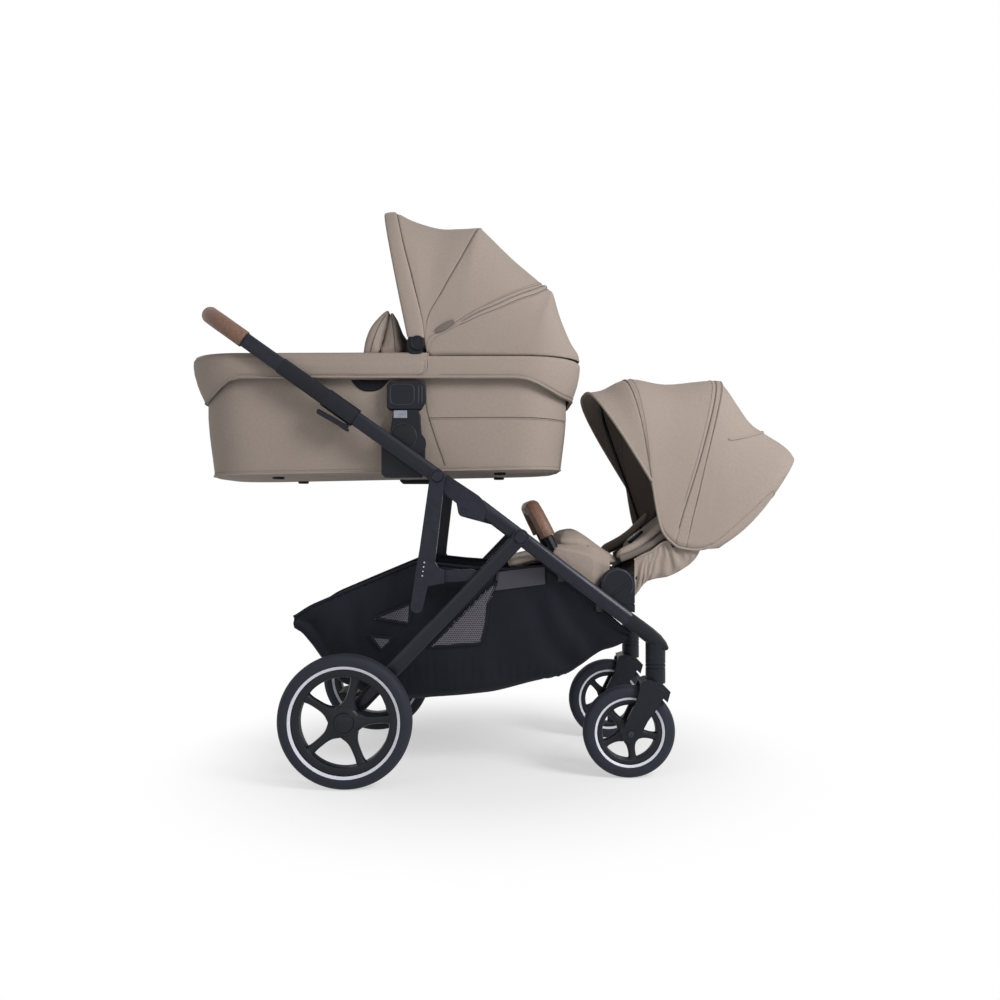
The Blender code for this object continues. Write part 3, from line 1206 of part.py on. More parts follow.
def seat(body):
    """Seat frame, hubs and cushion."""
    half = SEAT_FRAME_Y
    hub_y = SEAT_HUB_INNER_Y - GAP
    path = [(SEAT_HUB_X - 0.026, -hub_y, SEAT_HUB_Z + 0.006), (SEAT_HUB_X - 0.026, -hub_y + 0.006, SEAT_HUB_Z + 0.006),
            (SEAT_HUB_X - 0.045, -half - 0.004, SEAT_HUB_Z + 0.012), (SEAT_HUB_X - 0.060, -half, SEAT_HUB_Z + 0.018),
            (KNEE_X + 0.030, -half, KNEE_BAR_Z - 0.012), (KNEE_X + 0.010, -half + 0.006, KNEE_BAR_Z - 0.004),
            (KNEE_X, -half + 0.022, KNEE_BAR_Z)]
    path += [(x, -y, z) for x, y, z in reversed(path)]
    frame = pipe("seat_frame", path, SEAT_TUBE_RADIUS, "frame", 8)
    extras = []
    for side in (-1, 1):
        ends = sorted((side * (half - 0.004), side * (half + 0.0045)))
        outline = arc(BUMPER_X, BUMPER_Z, 0.012, 160, 360, 8)
        outline += [(BUMPER_X + 0.040, BUMPER_Z + 0.021), (BUMPER_X + 0.006, BUMPER_Z + 0.034)]
        extras.append(plate("bumper_bracket", outline, ends[0], ends[1], "frame"))
        extras.append(rod("bumper_pin", (BUMPER_X, side * (half + 0.002), BUMPER_Z),
                          (BUMPER_X, side * (BUMPER_Y + 0.008), BUMPER_Z), 0.005, "frame", 12))
    span = SEAT_CUSHION_END_X - KNEE_X
    board = []
    for share, drop in ((0.10, 0.0), (0.93, 0.0), (0.93, 0.004), (0.10, 0.007)):
        board.append((KNEE_X + span * share, seat_base(share) - GAP - drop))
    extras.append(plate("seat_board", board, -half, half, "frame"))
    combine(frame, extras)
    rings = []
    stations = ((0.0, 0.30), (0.04, 0.75), (0.14, 0.97), (0.35, 1.0), (0.60, 0.95), (0.85, 0.85), (1.0, 0.55))
    for share, full in stations:
        x = KNEE_X + span * share
        low = seat_base(share)
        top = 0.545 - 0.052 * blend(share, 0.25, 1.0)
        middle = (low + top) / 2
        rise = (top - low) / 2 * full
        ring = []
        for a, b in squircle(rise, SEAT_CUSHION_HALF_WIDTH * (0.93 + 0.07 * full), 14, 3.2):
            crown = 0.006 * max(0.0, 1 - abs(b) / SEAT_CUSHION_HALF_WIDTH) if a > 0 else 0.0
            ring.append(Vector((x, b, middle + a + crown)))
        rings.append(ring)
    cushion = loft("seat_cushion", rings, "taupe", 60.0)
    hang(body, frame, cushion)
    for side in (-1, 1):
        hang(body, seat_hub(side))


def seat_base(share):
    """Height of the seat cushion's underside, from the knee to the hub."""
    return KNEE_BAR_Z + 0.0105 - 0.045 * share


def seat_hub(side):
    """The round hub with its leg that drops over the seat adapter."""
    mark = "R" if side < 0 else "L"
    inner = side * SEAT_HUB_INNER_Y
    outer = side * (TUBE_IN - 0.0005)
    front = SEAT_HUB_X + SEAT_HUB_FRONT
    outline = arc(SEAT_HUB_X - SEAT_HUB_BACK, SEAT_HUB_Z - 0.001, SEAT_HUB_RADIUS, 9, 200, 18)
    outline += [(SEAT_HUB_X - 0.0512, SEAT_ADAPTER_TOP_Z + 0.004), (SEAT_HUB_X - 0.0472, SEAT_ADAPTER_TOP_Z),
                (front - 0.003, SEAT_ADAPTER_TOP_Z), (front, SEAT_ADAPTER_TOP_Z + 0.003)]
    hub = plate(f"seat_hub_{mark}", outline, min(inner, outer), max(inner, outer), "plastic", 0.0015)
    pin = rod("recline_pin", (SEAT_HUB_X, inner + side * 0.006, SEAT_HUB_Z),
              (SEAT_HUB_X, inner - side * 0.014, SEAT_HUB_Z), RECLINE_PIN_RADIUS, "plastic", 14)
    socket = seat_tongue("seat_socket", side, SEAT_ADAPTER_TOP_Z, SEAT_TONGUE_HEIGHT + 0.0015, SLIDE_PLAY)
    combine(hub, [pin])
    cut(hub, [socket])
    return hub


def leg_rest(axis):
    """The padded leg rest that hangs from the seat frame's front bar."""
    x, z = KNEE_X, KNEE_BAR_Z
    direction = Vector((LEG_REST_END_X - x, 0.0, LEG_REST_END_Z - z)).normalized()
    up = Vector((-direction.z, 0.0, direction.x))
    if up.z < 0:
        up = -up
    rings = []
    for reach, full in ((0.014, 0.7), (0.022, 1.0), (0.060, 1.0), (0.100, 0.98), (0.112, 0.75), (0.118, 0.35)):
        middle = Vector((x, 0.0, z)) + direction * reach
        rings.append([middle + up * a + Vector((0, b, 0))
                      for a, b in squircle(0.010 * full, 0.155 * (0.94 + 0.06 * full), 12, 3.4)])
    board = loft("leg_rest", rings, "taupe", 50.0)
    eyes = []
    bores = []
    for y in (-0.085, 0.085):
        eyes.append(rod("leg_rest_eye", (x, y - 0.015, z), (x, y + 0.015, z), SEAT_TUBE_RADIUS + 0.0045, "plastic", 12))
        lug = Vector((x, y, z)) + direction * 0.020
        eyes.append(rod("leg_rest_lug", Vector((x, y, z)) + direction * 0.006, lug, 0.0065, "plastic", 10))
        bores.append(rod("leg_rest_bore", (x, y - 0.02, z), (x, y + 0.02, z), SEAT_TUBE_RADIUS + PIN_PLAY, "plastic", 12))
    combine(board, eyes)
    cut(board, bores)
    hang(axis, board)


def bumper(axis):
    """The bumper bar and its padded sleeve."""
    rise = Vector((BUMPER_TOP_X - BUMPER_X, 0.0, BUMPER_TOP_Z - BUMPER_Z))
    base = Vector((BUMPER_X, 0.0, BUMPER_Z))
    length = rise.length
    along = rise / length
    corner = BUMPER_CORNER
    run = [(0.0, BUMPER_Y)]
    bend = []
    for n in range(4):
        turn = math.pi / 2 * n / 3
        bend.append((length - corner + corner * math.sin(turn), BUMPER_Y - corner + corner * math.cos(turn)))
    half = run + bend
    points = [base + along * reach + Vector((0, -y, 0)) for reach, y in half]
    points += [base + along * reach + Vector((0, y, 0)) for reach, y in reversed(half)]
    bar = pipe("bumper_bar", points, BUMPER_TUBE_RADIUS, "plastic", 8)
    eyes = []
    bores = []
    for side in (-1, 1):
        ends = (side * (BUMPER_Y - BUMPER_TUBE_RADIUS - 0.0005), side * (BUMPER_Y + BUMPER_TUBE_RADIUS + 0.0005))
        eyes.append(rod("bumper_eye", (BUMPER_X, ends[0], BUMPER_Z), (BUMPER_X, ends[1], BUMPER_Z), 0.0145,
                        "plastic", 16))
        bores.append(rod("bumper_bore", (BUMPER_X, side * (BUMPER_Y - 0.02), BUMPER_Z),
                         (BUMPER_X, side * (BUMPER_Y + 0.02), BUMPER_Z), 0.005 + PIN_PLAY, "plastic", 12))
    combine(bar, eyes)
    cut(bar, bores)
    start = length - corner - 0.012
    sleeve = [(start, BUMPER_Y)] + bend
    points = [base + along * reach + Vector((0, -y, 0)) for reach, y in sleeve]
    points += [base + along * reach + Vector((0, y, 0)) for reach, y in reversed(sleeve)]
    grip = pipe("bumper_grip", points, BUMPER_RADIUS, "leatherette", 10)
    sleeve = [(start - 0.01, BUMPER_Y)] + bend
    points = [base + along * reach + Vector((0, -y, 0)) for reach, y in sleeve]
    points += [base + along * reach + Vector((0, y, 0)) for reach, y in reversed(sleeve)]
    hollow = pipe("bumper_hollow", points, BUMPER_TUBE_RADIUS + GAP, "leatherette", 8)
    cut(grip, [hollow])
    hang(axis, bar, grip)


def back_point(reach, rise=0.0):
    """A point on the backrest line, reach from the hub, rise square to it."""
    return (SEAT_HUB_X + reach * math.cos(BACK_SLOPE) - rise * math.sin(BACK_SLOPE),
            SEAT_HUB_Z + reach * math.sin(BACK_SLOPE) + rise * math.cos(BACK_SLOPE))


def backrest(axis):
    """Backrest frame, pad and shoulder straps."""
    half = SEAT_FRAME_Y
    eye_y = SEAT_HUB_INNER_Y - GAP - 0.006
    path = [(0.009, eye_y - 0.003, 0.0), (0.022, eye_y - 0.003, 0.0), (0.055, half + 0.003, 0.0), (0.080, half, 0.0),
            (BACK_LENGTH - 0.090, half - 0.004, 0.0), (BACK_LENGTH - 0.028, half - 0.024, 0.0),
            (BACK_LENGTH - 0.008, half - 0.060, 0.0)]
    points = [(back_point(reach)[0], -y, back_point(reach)[1]) for reach, y, _ in path]
    points += [(x, -y, z) for x, y, z in reversed(points)]
    frame = pipe("backrest_frame", points, SEAT_TUBE_RADIUS, "frame", 8)
    extras = []
    bores = []
    for side in (-1, 1):
        extras.append(rod("recline_eye", (SEAT_HUB_X, side * (eye_y - 0.0062), SEAT_HUB_Z),
                          (SEAT_HUB_X, side * (eye_y + 0.0059), SEAT_HUB_Z), 0.0145, "frame", 14))
        bores.append(rod("recline_bore", (SEAT_HUB_X, side * (eye_y - 0.03), SEAT_HUB_Z),
                         (SEAT_HUB_X, side * (eye_y + 0.03), SEAT_HUB_Z), RECLINE_PIN_RADIUS + PIN_PLAY, "frame", 12))
        extras.append(rod("hood_boss", (SEAT_HINGE_X, side * (half - 0.006), SEAT_HINGE_Z),
                          (SEAT_HINGE_X, side * (half + 0.0095), SEAT_HINGE_Z), 0.010, "frame", 10))
        bores.append(rod("hood_bore", (SEAT_HINGE_X, side * (half - 0.02), SEAT_HINGE_Z),
                         (SEAT_HINGE_X, side * (half + 0.02), SEAT_HINGE_Z), BOW_PIN_RADIUS + PIN_PLAY, "frame", 10))
    board = [back_point(0.095, -0.0015), back_point(BACK_LENGTH - 0.050, -0.0015),
             back_point(BACK_LENGTH - 0.050, 0.0015), back_point(0.095, 0.0015)]
    extras.append(plate("back_board", board, 0.004 - half, half - 0.004, "frame"))
    combine(frame, extras)
    cut(frame, bores)
    rings = []
    stations = ((0.066, 0.55, 1.0), (0.072, 0.90, 1.0), (0.14, 1.0, 1.0), (0.24, 1.0, 1.0), (0.31, 1.0, 0.97),
                (BACK_LENGTH - 0.048, 0.97, 0.88), (BACK_LENGTH - 0.018, 0.85, 0.72), (BACK_LENGTH - 0.008, 0.50, 0.60))
    for reach, full, wide in stations:
        x, z = back_point(reach, BACK_PAD_RISE)
        up = Vector((-math.sin(BACK_SLOPE), 0.0, math.cos(BACK_SLOPE)))
        ring = []
        for a, b in squircle(0.020 * full, BACK_PAD_HALF_WIDTH * wide, 14, 3.2):
            crown = 0.005 * max(0.0, 1 - abs(b) / BACK_PAD_HALF_WIDTH) if a > 0 else 0.0
            ring.append(Vector((x, b, z)) + up * (a + crown))
        rings.append(ring)
    pad = loft("backrest_pad", rings, "taupe", 60.0)
    wings = []
    for side in (-1, 1):
        outline = [back_point(0.080, 0.030), back_point(0.300, 0.034), back_point(0.260, 0.050),
                   back_point(0.160, 0.090), back_point(0.110, 0.095), back_point(0.082, 0.070)]
        ends = sorted((side * (BACK_PAD_HALF_WIDTH - 0.017), side * (BACK_PAD_HALF_WIDTH - 0.005)))
        wings.append(plate("wing", outline, ends[0], ends[1], "taupe"))
    combine(pad, wings)
    hang(axis, frame, pad, straps(), backrest_shell(points))


def backrest_shell(frame_path):
    """The fabric body around the lower backrest: two padded sides and the panel behind."""
    def at(*places):
        return [(SEAT_HINGE_X + x, SEAT_HINGE_Z + z) for x, z in places]

    rear = at((0.0608, -0.0003), (0.0500, -0.0210), (0.0338, -0.0386), (0.0080, -0.0550), (-0.0158, -0.0656),
              (-0.0518, -0.0723))
    top = at((-0.0923, -0.0273), (-0.0700, -0.0150), (-0.0563, -0.0093), (-0.0400, 0.0000), (-0.0290, 0.0055),
             (-0.0220, 0.0030), (-0.0150, -0.0090), (0.0000, -0.0150), (0.0130, -0.0120), (0.0280, -0.0010),
             (0.0450, 0.0060))
    foot = at((-0.0670, -0.0810), (-0.0788, -0.0949), (-0.0923, -0.1129))
    sides = []
    for side in (-1, 1):
        ends = sorted((side * SHELL_INNER_Y, side * SHELL_OUTER_Y))
        sides.append(plate(f"backrest_shell{side}", top + rear + foot, ends[0], ends[1], "taupe"))
    inside = [(x - SHELL_WALL * 0.75, z + SHELL_WALL * 0.8) for x, z in reversed(rear)]
    inside[0] = (inside[0][0] + SHELL_WALL * 0.75, inside[0][1])
    overlap = SHELL_INNER_Y + 0.004
    shell = sides[0]
    shell.name = "backrest_shell"
    combine(shell, [sides[1], plate("shell_back", rear + inside, -overlap, overlap, "taupe")])
    cut(shell, [pipe("frame_room", frame_path, SEAT_TUBE_RADIUS + 0.0008, "taupe", 12)])
    return shell


def straps():
    """Two shoulder straps with pads and a buckle, lying on the backrest pad."""
    rings = []
    up = Vector((-math.sin(BACK_SLOPE), 0.0, math.cos(BACK_SLOPE)))
    made = None
    tools = []
    for side in (-1, 1):
        rings = []
        for reach, y, width, thick in ((0.110, 0.012, 0.010, 0.0022), (0.170, 0.030, 0.010, 0.0022),
                                       (0.185, 0.034, 0.019, 0.0050), (0.330, 0.052, 0.019, 0.0050),
                                       (0.345, 0.054, 0.010, 0.0022), (0.375, 0.056, 0.010, 0.0022)):
            x, z = back_point(reach, BACK_PAD_RISE + 0.0232 + thick * 0.96)
            middle = Vector((x, side * y, z))
            rings.append([middle + up * a + Vector((0, b, 0)) for a, b in squircle(thick, width, 8, 3.5)])
        strap = loft("harness" if side < 0 else "strap", rings, "basket", 50.0)
        if side < 0:
            made = strap
        else:
            tools.append(strap)
    x, z = back_point(0.100, BACK_PAD_RISE + 0.0232 + 0.006)
    along = Vector((math.cos(BACK_SLOPE), 0.0, math.sin(BACK_SLOPE)))
    rings = []
    for reach, half in ((-0.022, 0.020), (-0.018, 0.024), (0.014, 0.024), (0.020, 0.019)):
        middle = Vector((x, 0.0, z)) + along * reach
        rings.append([middle + up * a + Vector((0, b, 0)) for a, b in squircle(0.006, half, 10, 3.0)])
    tools.append(loft("buckle", rings, "plastic"))
    combine(made, tools)
    return made


def seat_canopy(axis):
    """The seat's canopy cloth on the backrest and its two moving bows."""
    half = SEAT_HOOD_HALF_WIDTH
    hinge = (SEAT_HINGE_X, SEAT_HINGE_Z)
    front_crown = bow_crown(hinge, SEAT_BOW_ANGLE[0], SEAT_BOW_REACH[0])
    mid_crown = bow_crown(hinge, SEAT_BOW_ANGLE[1], SEAT_BOW_REACH[1])
    crowns = ((front_crown, -0.0076, 0.0089), (front_crown, 0.0245, 0.0055), (front_crown, 0.0835, 0.0362),
              (mid_crown, -0.1213, 0.0068), (mid_crown, 0.0038, 0.0138), (mid_crown, 0.0250, 0.0020),
              (mid_crown, 0.0557, -0.0428), (mid_crown, 0.0911, -0.0853), (hinge, 0.2228, 0.2699),
              (hinge, 0.2677, 0.2392), (hinge, 0.2936, 0.2085), (hinge, 0.2866, 0.1896),
              (hinge, 0.2205, 0.1212), (hinge, 0.1615, 0.0504), (hinge, 0.0876, 0.0113))
    ribs = []
    for n, (near, crown_x, crown_z) in enumerate(crowns):
        share = n / (len(crowns) - 1)
        turn = math.radians(150 - 200 * share)
        ribs.append((SEAT_HINGE_X + 0.026 * math.cos(turn), SEAT_HINGE_Z + 0.016 * math.sin(turn), half,
                     near[0] + crown_x, near[1] + crown_z))
    cloth = hood("seat_canopy", ribs, 3.2)
    hang(axis, cloth)
    front_axis = joint_empty("seat_hood_axis", SEAT_HINGE_X, 0.0, SEAT_HINGE_Z)
    front = bow("seat_front_bow", hinge, SEAT_BOW_ANGLE[0], SEAT_BOW_REACH[0], SEAT_BOW_Y[0], 2.9)
    pins = []
    for side in (-1, 1):
        pins.append(rod("hood_pin", (SEAT_HINGE_X, side * SEAT_BOW_Y[0], SEAT_HINGE_Z),
                        (SEAT_HINGE_X, side * (SEAT_FRAME_Y - 0.004), SEAT_HINGE_Z), BOW_PIN_RADIUS, "steel", 12))
    combine(front, pins)
    hang(front_axis, front)
    mid_axis = joint_empty("seat_mid_bow_axis", SEAT_HINGE_X, 0.0, SEAT_HINGE_Z)
    mid = bow("seat_mid_bow", hinge, SEAT_BOW_ANGLE[1], SEAT_BOW_REACH[1], SEAT_BOW_Y[1], 2.9)
    bow_bores(mid, hinge, SEAT_BOW_Y[1])
    hang(mid_axis, mid)


def basket(fixed):
    """The hanging basket between the front tubes and the rear legs."""
    rim = ((-0.448, 0.355), (-0.408, 0.382), (-0.300, 0.428), (-0.168, 0.483), (-0.070, 0.472), (0.030, 0.465),
           (0.120, 0.474), (0.180, 0.425), (0.2185, 0.395), (0.263, 0.361), (0.310, 0.320))
    floor = ((-0.440, 0.335), (-0.408, 0.285), (-0.394, 0.263), (-0.350, 0.200), (-0.300, 0.176), (-0.179, 0.160),
             (0.000, 0.178), (0.179, 0.223), (0.2185, 0.2536), (0.263, 0.283), (0.310, 0.3080))
    stretch = BASKET_FRONT_X / 0.310
    rim = tuple((x * stretch if x > 0 else x, z) for x, z in rim)
    floor = tuple((x * stretch if x > 0 else x, z) for x, z in floor)
    rows = []
    for x in (-0.444, -0.425, -0.400, -0.350, -0.290, -0.168, -0.080, 0.000, 0.070 * stretch, 0.120 * stretch,
              0.180 * stretch, 0.2185 * stretch, 0.263 * stretch, 0.306 * stretch):
        top = profile_height(rim, x)
        low = profile_height(floor, x)
        depth = top - low
        wide = BASKET_HALF_WIDTH + 0.014 * blend(x, 0.02, 0.16)
        narrow = wide - 0.030 * min(depth / 0.20, 1.0)
        bend = min(0.035, depth * 0.35)
        row = []
        for y, z in ((wide, top), (wide - 0.003, top - 0.25 * depth), (narrow + 0.004, low + bend * 1.5),
                     (narrow - bend * 0.35, low + bend * 0.35), (narrow - bend * 1.4, low), (narrow * 0.4, low - 0.002)):
            row.append((y, z))
        points = [Vector((x, -y, z)) for y, z in row] + [Vector((x, y, z)) for y, z in reversed(row)]
        rows.append(points)
    made = sheet("basket", rows, BASKET_WALL, "basket")
    clips = []
    for side in (-1, 1):
        ends = sorted((side * (BASKET_HALF_WIDTH + 0.0128), side * (TUBE_IN - GAP)))
        for x in (0.146 * stretch, 0.230 * stretch):
            z = profile_height(rim, x) - 0.0124
            clips.append(box("basket_clip", (x, ends[0], z), (x + 0.018, ends[1], z + 0.026)))
    combine(made, clips)
    hang(fixed, made)


def profile_height(profile, x):
    """Height of a side profile at x, straight between its points."""
    for (low_x, low_z), (high_x, high_z) in zip(profile, profile[1:]):
        if x <= high_x:
            return low_z + (high_z - low_z) * max(x - low_x, 0.0) / (high_x - low_x)
    return profile[-1][1]


def main():
    clear_scene()
    fixed, fold = chassis()
    basket(fixed)
    cot = joint_empty("carrycot_axis", ADAPTER_X, 0.0, ADAPTER_TOP_Z)
    carrycot(cot)
    cot_canopy(cot)
    body = joint_empty("seat_axis", SEAT_HUB_X, 0.0, SEAT_ADAPTER_TOP_Z)
    seat(body)
    for side in (-1, 1):
        cot_adapter(side, fold)
        seat_adapter(side, fixed)
    leg_rest(joint_empty("leg_rest_axis", KNEE_X, 0.0, KNEE_BAR_Z))
    bumper(joint_empty("bumper_axis", BUMPER_X, 0.0, BUMPER_Z))
    back = joint_empty("backrest_axis", SEAT_HUB_X, 0.0, SEAT_HUB_Z)
    backrest(back)
    seat_canopy(back)


main()
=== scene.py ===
import math

import bmesh
import bpy
from mathutils import Matrix, Vector, noise


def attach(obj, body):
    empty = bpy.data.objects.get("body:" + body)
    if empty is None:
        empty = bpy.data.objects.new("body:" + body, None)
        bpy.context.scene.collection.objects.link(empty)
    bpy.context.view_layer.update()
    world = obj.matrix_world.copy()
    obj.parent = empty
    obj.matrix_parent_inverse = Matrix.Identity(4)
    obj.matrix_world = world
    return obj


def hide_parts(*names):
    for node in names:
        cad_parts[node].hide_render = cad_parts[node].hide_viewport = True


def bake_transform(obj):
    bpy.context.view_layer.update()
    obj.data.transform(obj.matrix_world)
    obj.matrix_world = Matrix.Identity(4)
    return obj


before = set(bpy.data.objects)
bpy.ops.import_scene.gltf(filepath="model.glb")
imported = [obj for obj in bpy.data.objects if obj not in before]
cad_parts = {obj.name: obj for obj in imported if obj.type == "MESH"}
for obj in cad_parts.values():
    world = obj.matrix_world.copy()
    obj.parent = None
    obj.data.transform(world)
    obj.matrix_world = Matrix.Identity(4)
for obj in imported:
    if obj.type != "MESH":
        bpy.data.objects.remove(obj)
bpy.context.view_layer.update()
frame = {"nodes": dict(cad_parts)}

bl_info = {
    "name": "Stroller dressing",
    "version": (1, 0, 0),
    "blender": (4, 5, 0),
    "location": "3D View > Sidebar > Stroller",
    "description": "Cloth, padding, wheels and finishes for the stroller's packed frame",
    "category": "Object",
}

NODES = frame["nodes"]
MADE = {}
SIDES = ((-1, "R"), (1, "L"))

# The photo's middle in pixels, metres to a pixel on the near side, and the camera's height
PHOTO_MIDDLE = (492, 515)
PHOTO_PITCH = 0.00215
CAMERA_HEIGHT = 0.588

# Places and sizes in metres; a pair is (x, z)
COT_HINGE = (-0.166, 0.971)
SEAT_HINGE = (0.412, 0.514)
COT_FOOT_X = -0.700
COT_HEAD_X = 0.208
COT_TOP_Z = 0.943
TUBE_Y = 0.224
UPPER_SLOPE = math.radians(35.4)
BEND = (-0.0154, 0.598)
BACK_SLOPE = math.radians(38.0)
SEAT_HUB = (0.3032, 0.4330)
BACK_RISE = 0.0218
SIDE_FACE_Y = 0.2133
KNOB_Y = 0.1976
BAND_HALF = 0.2085
BAND_CORNER = 0.135
BASKET_REAR_X = -0.444
BASKET_LENGTH = 0.750
REAR_AXLE = (-0.316, 0.145)
REAR_TRACK = 0.2745
REAR_WIDTH = 0.042
REAR_RIM = 0.1135
FRONT_AXLE = (0.307, 0.103)
FRONT_TRACK = 0.185
FRONT_WIDTH = 0.036
FRONT_RIM = 0.0718

COT_RIBS = (
    (-0.1896, 0.9860, -0.2560, 1.3080), (-0.1720, 0.9920, -0.2260, 1.3110), (-0.1550, 0.9980, -0.1848, 1.2920),
    (-0.1430, 0.9480, -0.1250, 1.2755), (-0.1150, 0.9450, -0.0734, 1.2745), (-0.0850, 0.9450, -0.0270, 1.2780),
    (-0.0500, 0.9450, 0.0060, 1.2450), (-0.0100, 0.9450, 0.0480, 1.2030), (0.0250, 0.9450, 0.0920, 1.1640),
    (0.0600, 0.9450, 0.1330, 1.1290), (0.1000, 0.9450, 0.1460, 1.1150), (0.1400, 0.9450, 0.1605, 1.0600),
    (0.1720, 0.9450, 0.1840, 0.9990), (0.1930, 0.9450, 0.2020, 0.9700), (0.2030, 0.9450, 0.2060, 0.9490))
SEAT_RIBS = (
    (0.3574, 0.6640, 0.2228, 0.8800), (0.3579, 0.6610, 0.2640, 0.8880), (0.3590, 0.6570, 0.3240, 0.9130),
    (0.3780, 0.5600, 0.4180, 0.9020), (0.4090, 0.5210, 0.5290, 0.9110), (0.4330, 0.5130, 0.5500, 0.8990),
    (0.4520, 0.5105, 0.5800, 0.8560), (0.4680, 0.5120, 0.6120, 0.8120), (0.4800, 0.5160, 0.6450, 0.7860),
    (0.4880, 0.5205, 0.6880, 0.7580), (0.4920, 0.5240, 0.7120, 0.7330), (0.4920, 0.5240, 0.7090, 0.7120),
    (0.4890, 0.5200, 0.6500, 0.6230), (0.4820, 0.5150, 0.5949, 0.5620), (0.4700, 0.5120, 0.5288, 0.5130))
BASKET_RIM = ((-0.448, 0.355), (-0.408, 0.382), (-0.300, 0.428), (-0.168, 0.483), (-0.070, 0.472),
              (0.030, 0.465), (0.120, 0.474), (0.180, 0.425), (0.2185, 0.395), (0.263, 0.361), (0.310, 0.320))
BASKET_FLOOR = ((-0.440, 0.335), (-0.408, 0.285), (-0.394, 0.263), (-0.350, 0.200), (-0.300, 0.176),
                (-0.179, 0.160), (0.000, 0.178), (0.179, 0.223), (0.2185, 0.2536), (0.263, 0.283),
                (0.310, 0.3080))


# Colours and finishes

def srgb(red, green, blue):
    """A picture colour, 0 to 255, as a linear shader colour."""
    out = []
    for value in (red, green, blue):
        value /= 255.0
        out.append(value / 12.92 if value <= 0.04045 else ((value + 0.055) / 1.055) ** 2.4)
    return (*out, 1.0)


def shade(colour, factor):
    """The colour times a factor."""
    return (*[min(1.0, c * factor) for c in colour[:3]], 1.0)


class Finish:
    """A material with its node tree and short calls that add nodes to it."""

    def __init__(self, name, colour, roughness, metallic=0.0, source="Object"):
        self.material = bpy.data.materials.new(name)
        self.material.use_nodes = True
        self.material.diffuse_color = colour
        self.tree = self.material.node_tree
        self.shader = self.tree.nodes["Principled BSDF"]
        self.shader.inputs["Base Color"].default_value = colour
        self.shader.inputs["Roughness"].default_value = roughness
        self.shader.inputs["Metallic"].default_value = metallic
        if source == "Object":
            self.place = self.tree.nodes.new("ShaderNodeTexCoord").outputs["Object"]
        else:
            self.place = self.tree.nodes.new("ShaderNodeUVMap").outputs["UV"]

    def node(self, kind, **values):
        made = self.tree.nodes.new(kind)
        for key, value in values.items():
            setattr(made, key, value)
        return made

    def link(self, source, target):
        self.tree.links.new(source, target)

    def mapped(self, scale=(1, 1, 1), place=(0, 0, 0), turn=(0, 0, 0)):
        made = self.node("ShaderNodeMapping")
        made.inputs["Scale"].default_value = scale
        made.inputs["Location"].default_value = place
        made.inputs["Rotation"].default_value = turn
        self.link(self.place, made.inputs["Vector"])
        return made.outputs["Vector"]

    def noise(self, scale, detail=3.0, vector=None, rough=0.55):
        made = self.node("ShaderNodeTexNoise")
        made.inputs["Scale"].default_value = scale
        made.inputs["Detail"].default_value = detail
        made.inputs["Roughness"].default_value = rough
        self.link(vector or self.place, made.inputs["Vector"])
        return made.outputs["Fac"]

    def wave(self, scale, direction="X", vector=None, kind="BANDS", distortion=0.0):
        made = self.node("ShaderNodeTexWave", wave_type=kind)
        if kind == "BANDS":
            made.bands_direction = direction
        else:
            made.rings_direction = direction
        made.inputs["Scale"].default_value = scale
        made.inputs["Distortion"].default_value = distortion
        self.link(vector or self.place, made.inputs["Vector"])
        return made.outputs["Fac"]

    def cells(self, scale, vector=None, feature="DISTANCE_TO_EDGE"):
        made = self.node("ShaderNodeTexVoronoi", feature=feature)
        made.inputs["Scale"].default_value = scale
        self.link(vector or self.place, made.inputs["Vector"])
        return made.outputs["Distance"]

    def maths(self, operation, first, second):
        made = self.node("ShaderNodeMath", operation=operation)
        for socket, value in zip(made.inputs, (first, second)):
            if isinstance(value, (int, float)):
                socket.default_value = value
            else:
                self.link(value, socket)
        return made.outputs[0]

    def ramp(self, value, low, high, start, end):
        made = self.node("ShaderNodeMapRange")
        for key, number in (("From Min", low), ("From Max", high), ("To Min", start), ("To Max", end)):
            made.inputs[key].default_value = number
        self.link(value, made.inputs["Value"])
        return made.outputs["Result"]

    def mix(self, factor, first, second, kind="MIX"):
        made = self.node("ShaderNodeMix", data_type="RGBA", blend_type=kind)
        sockets = [made.inputs[0], made.inputs[6], made.inputs[7]]
        for socket, value in zip(sockets, (factor, first, second)):
            if isinstance(value, (int, float, tuple)):
                socket.default_value = value
            else:
                self.link(value, socket)
        return made.outputs[2]

    def colour(self, socket):
        self.link(socket, self.shader.inputs["Base Color"])
        return self

    def rough(self, socket):
        self.link(socket, self.shader.inputs["Roughness"])
        return self

    def bump(self, height, strength, distance, rounded=0.0):
        made = self.node("ShaderNodeBump")
        made.inputs["Strength"].default_value = strength
        made.inputs["Distance"].default_value = distance
        self.link(height, made.inputs["Height"])
        if rounded:
            edge = self.node("ShaderNodeBevel", samples=4)
            edge.inputs["Radius"].default_value = rounded
            self.link(edge.outputs["Normal"], made.inputs["Normal"])
        self.link(made.outputs["Normal"], self.shader.inputs["Normal"])
        return self

    def set(self, **values):
        for key, value in values.items():
            self.shader.inputs[key.replace("_", " ")].default_value = value
        return self


def edge_wear(finish, colour, lighter_colour, amount):
    """The colour, a little lighter along sharp edges."""
    geometry = finish.node("ShaderNodeNewGeometry")
    edge = finish.ramp(geometry.outputs["Pointiness"], 0.53, 0.60, 0.0, amount)
    edge = finish.maths("MULTIPLY", edge, finish.ramp(finish.noise(60.0), 0.35, 0.65, 0.2, 1.0))
    return finish.mix(edge, colour, lighter_colour)


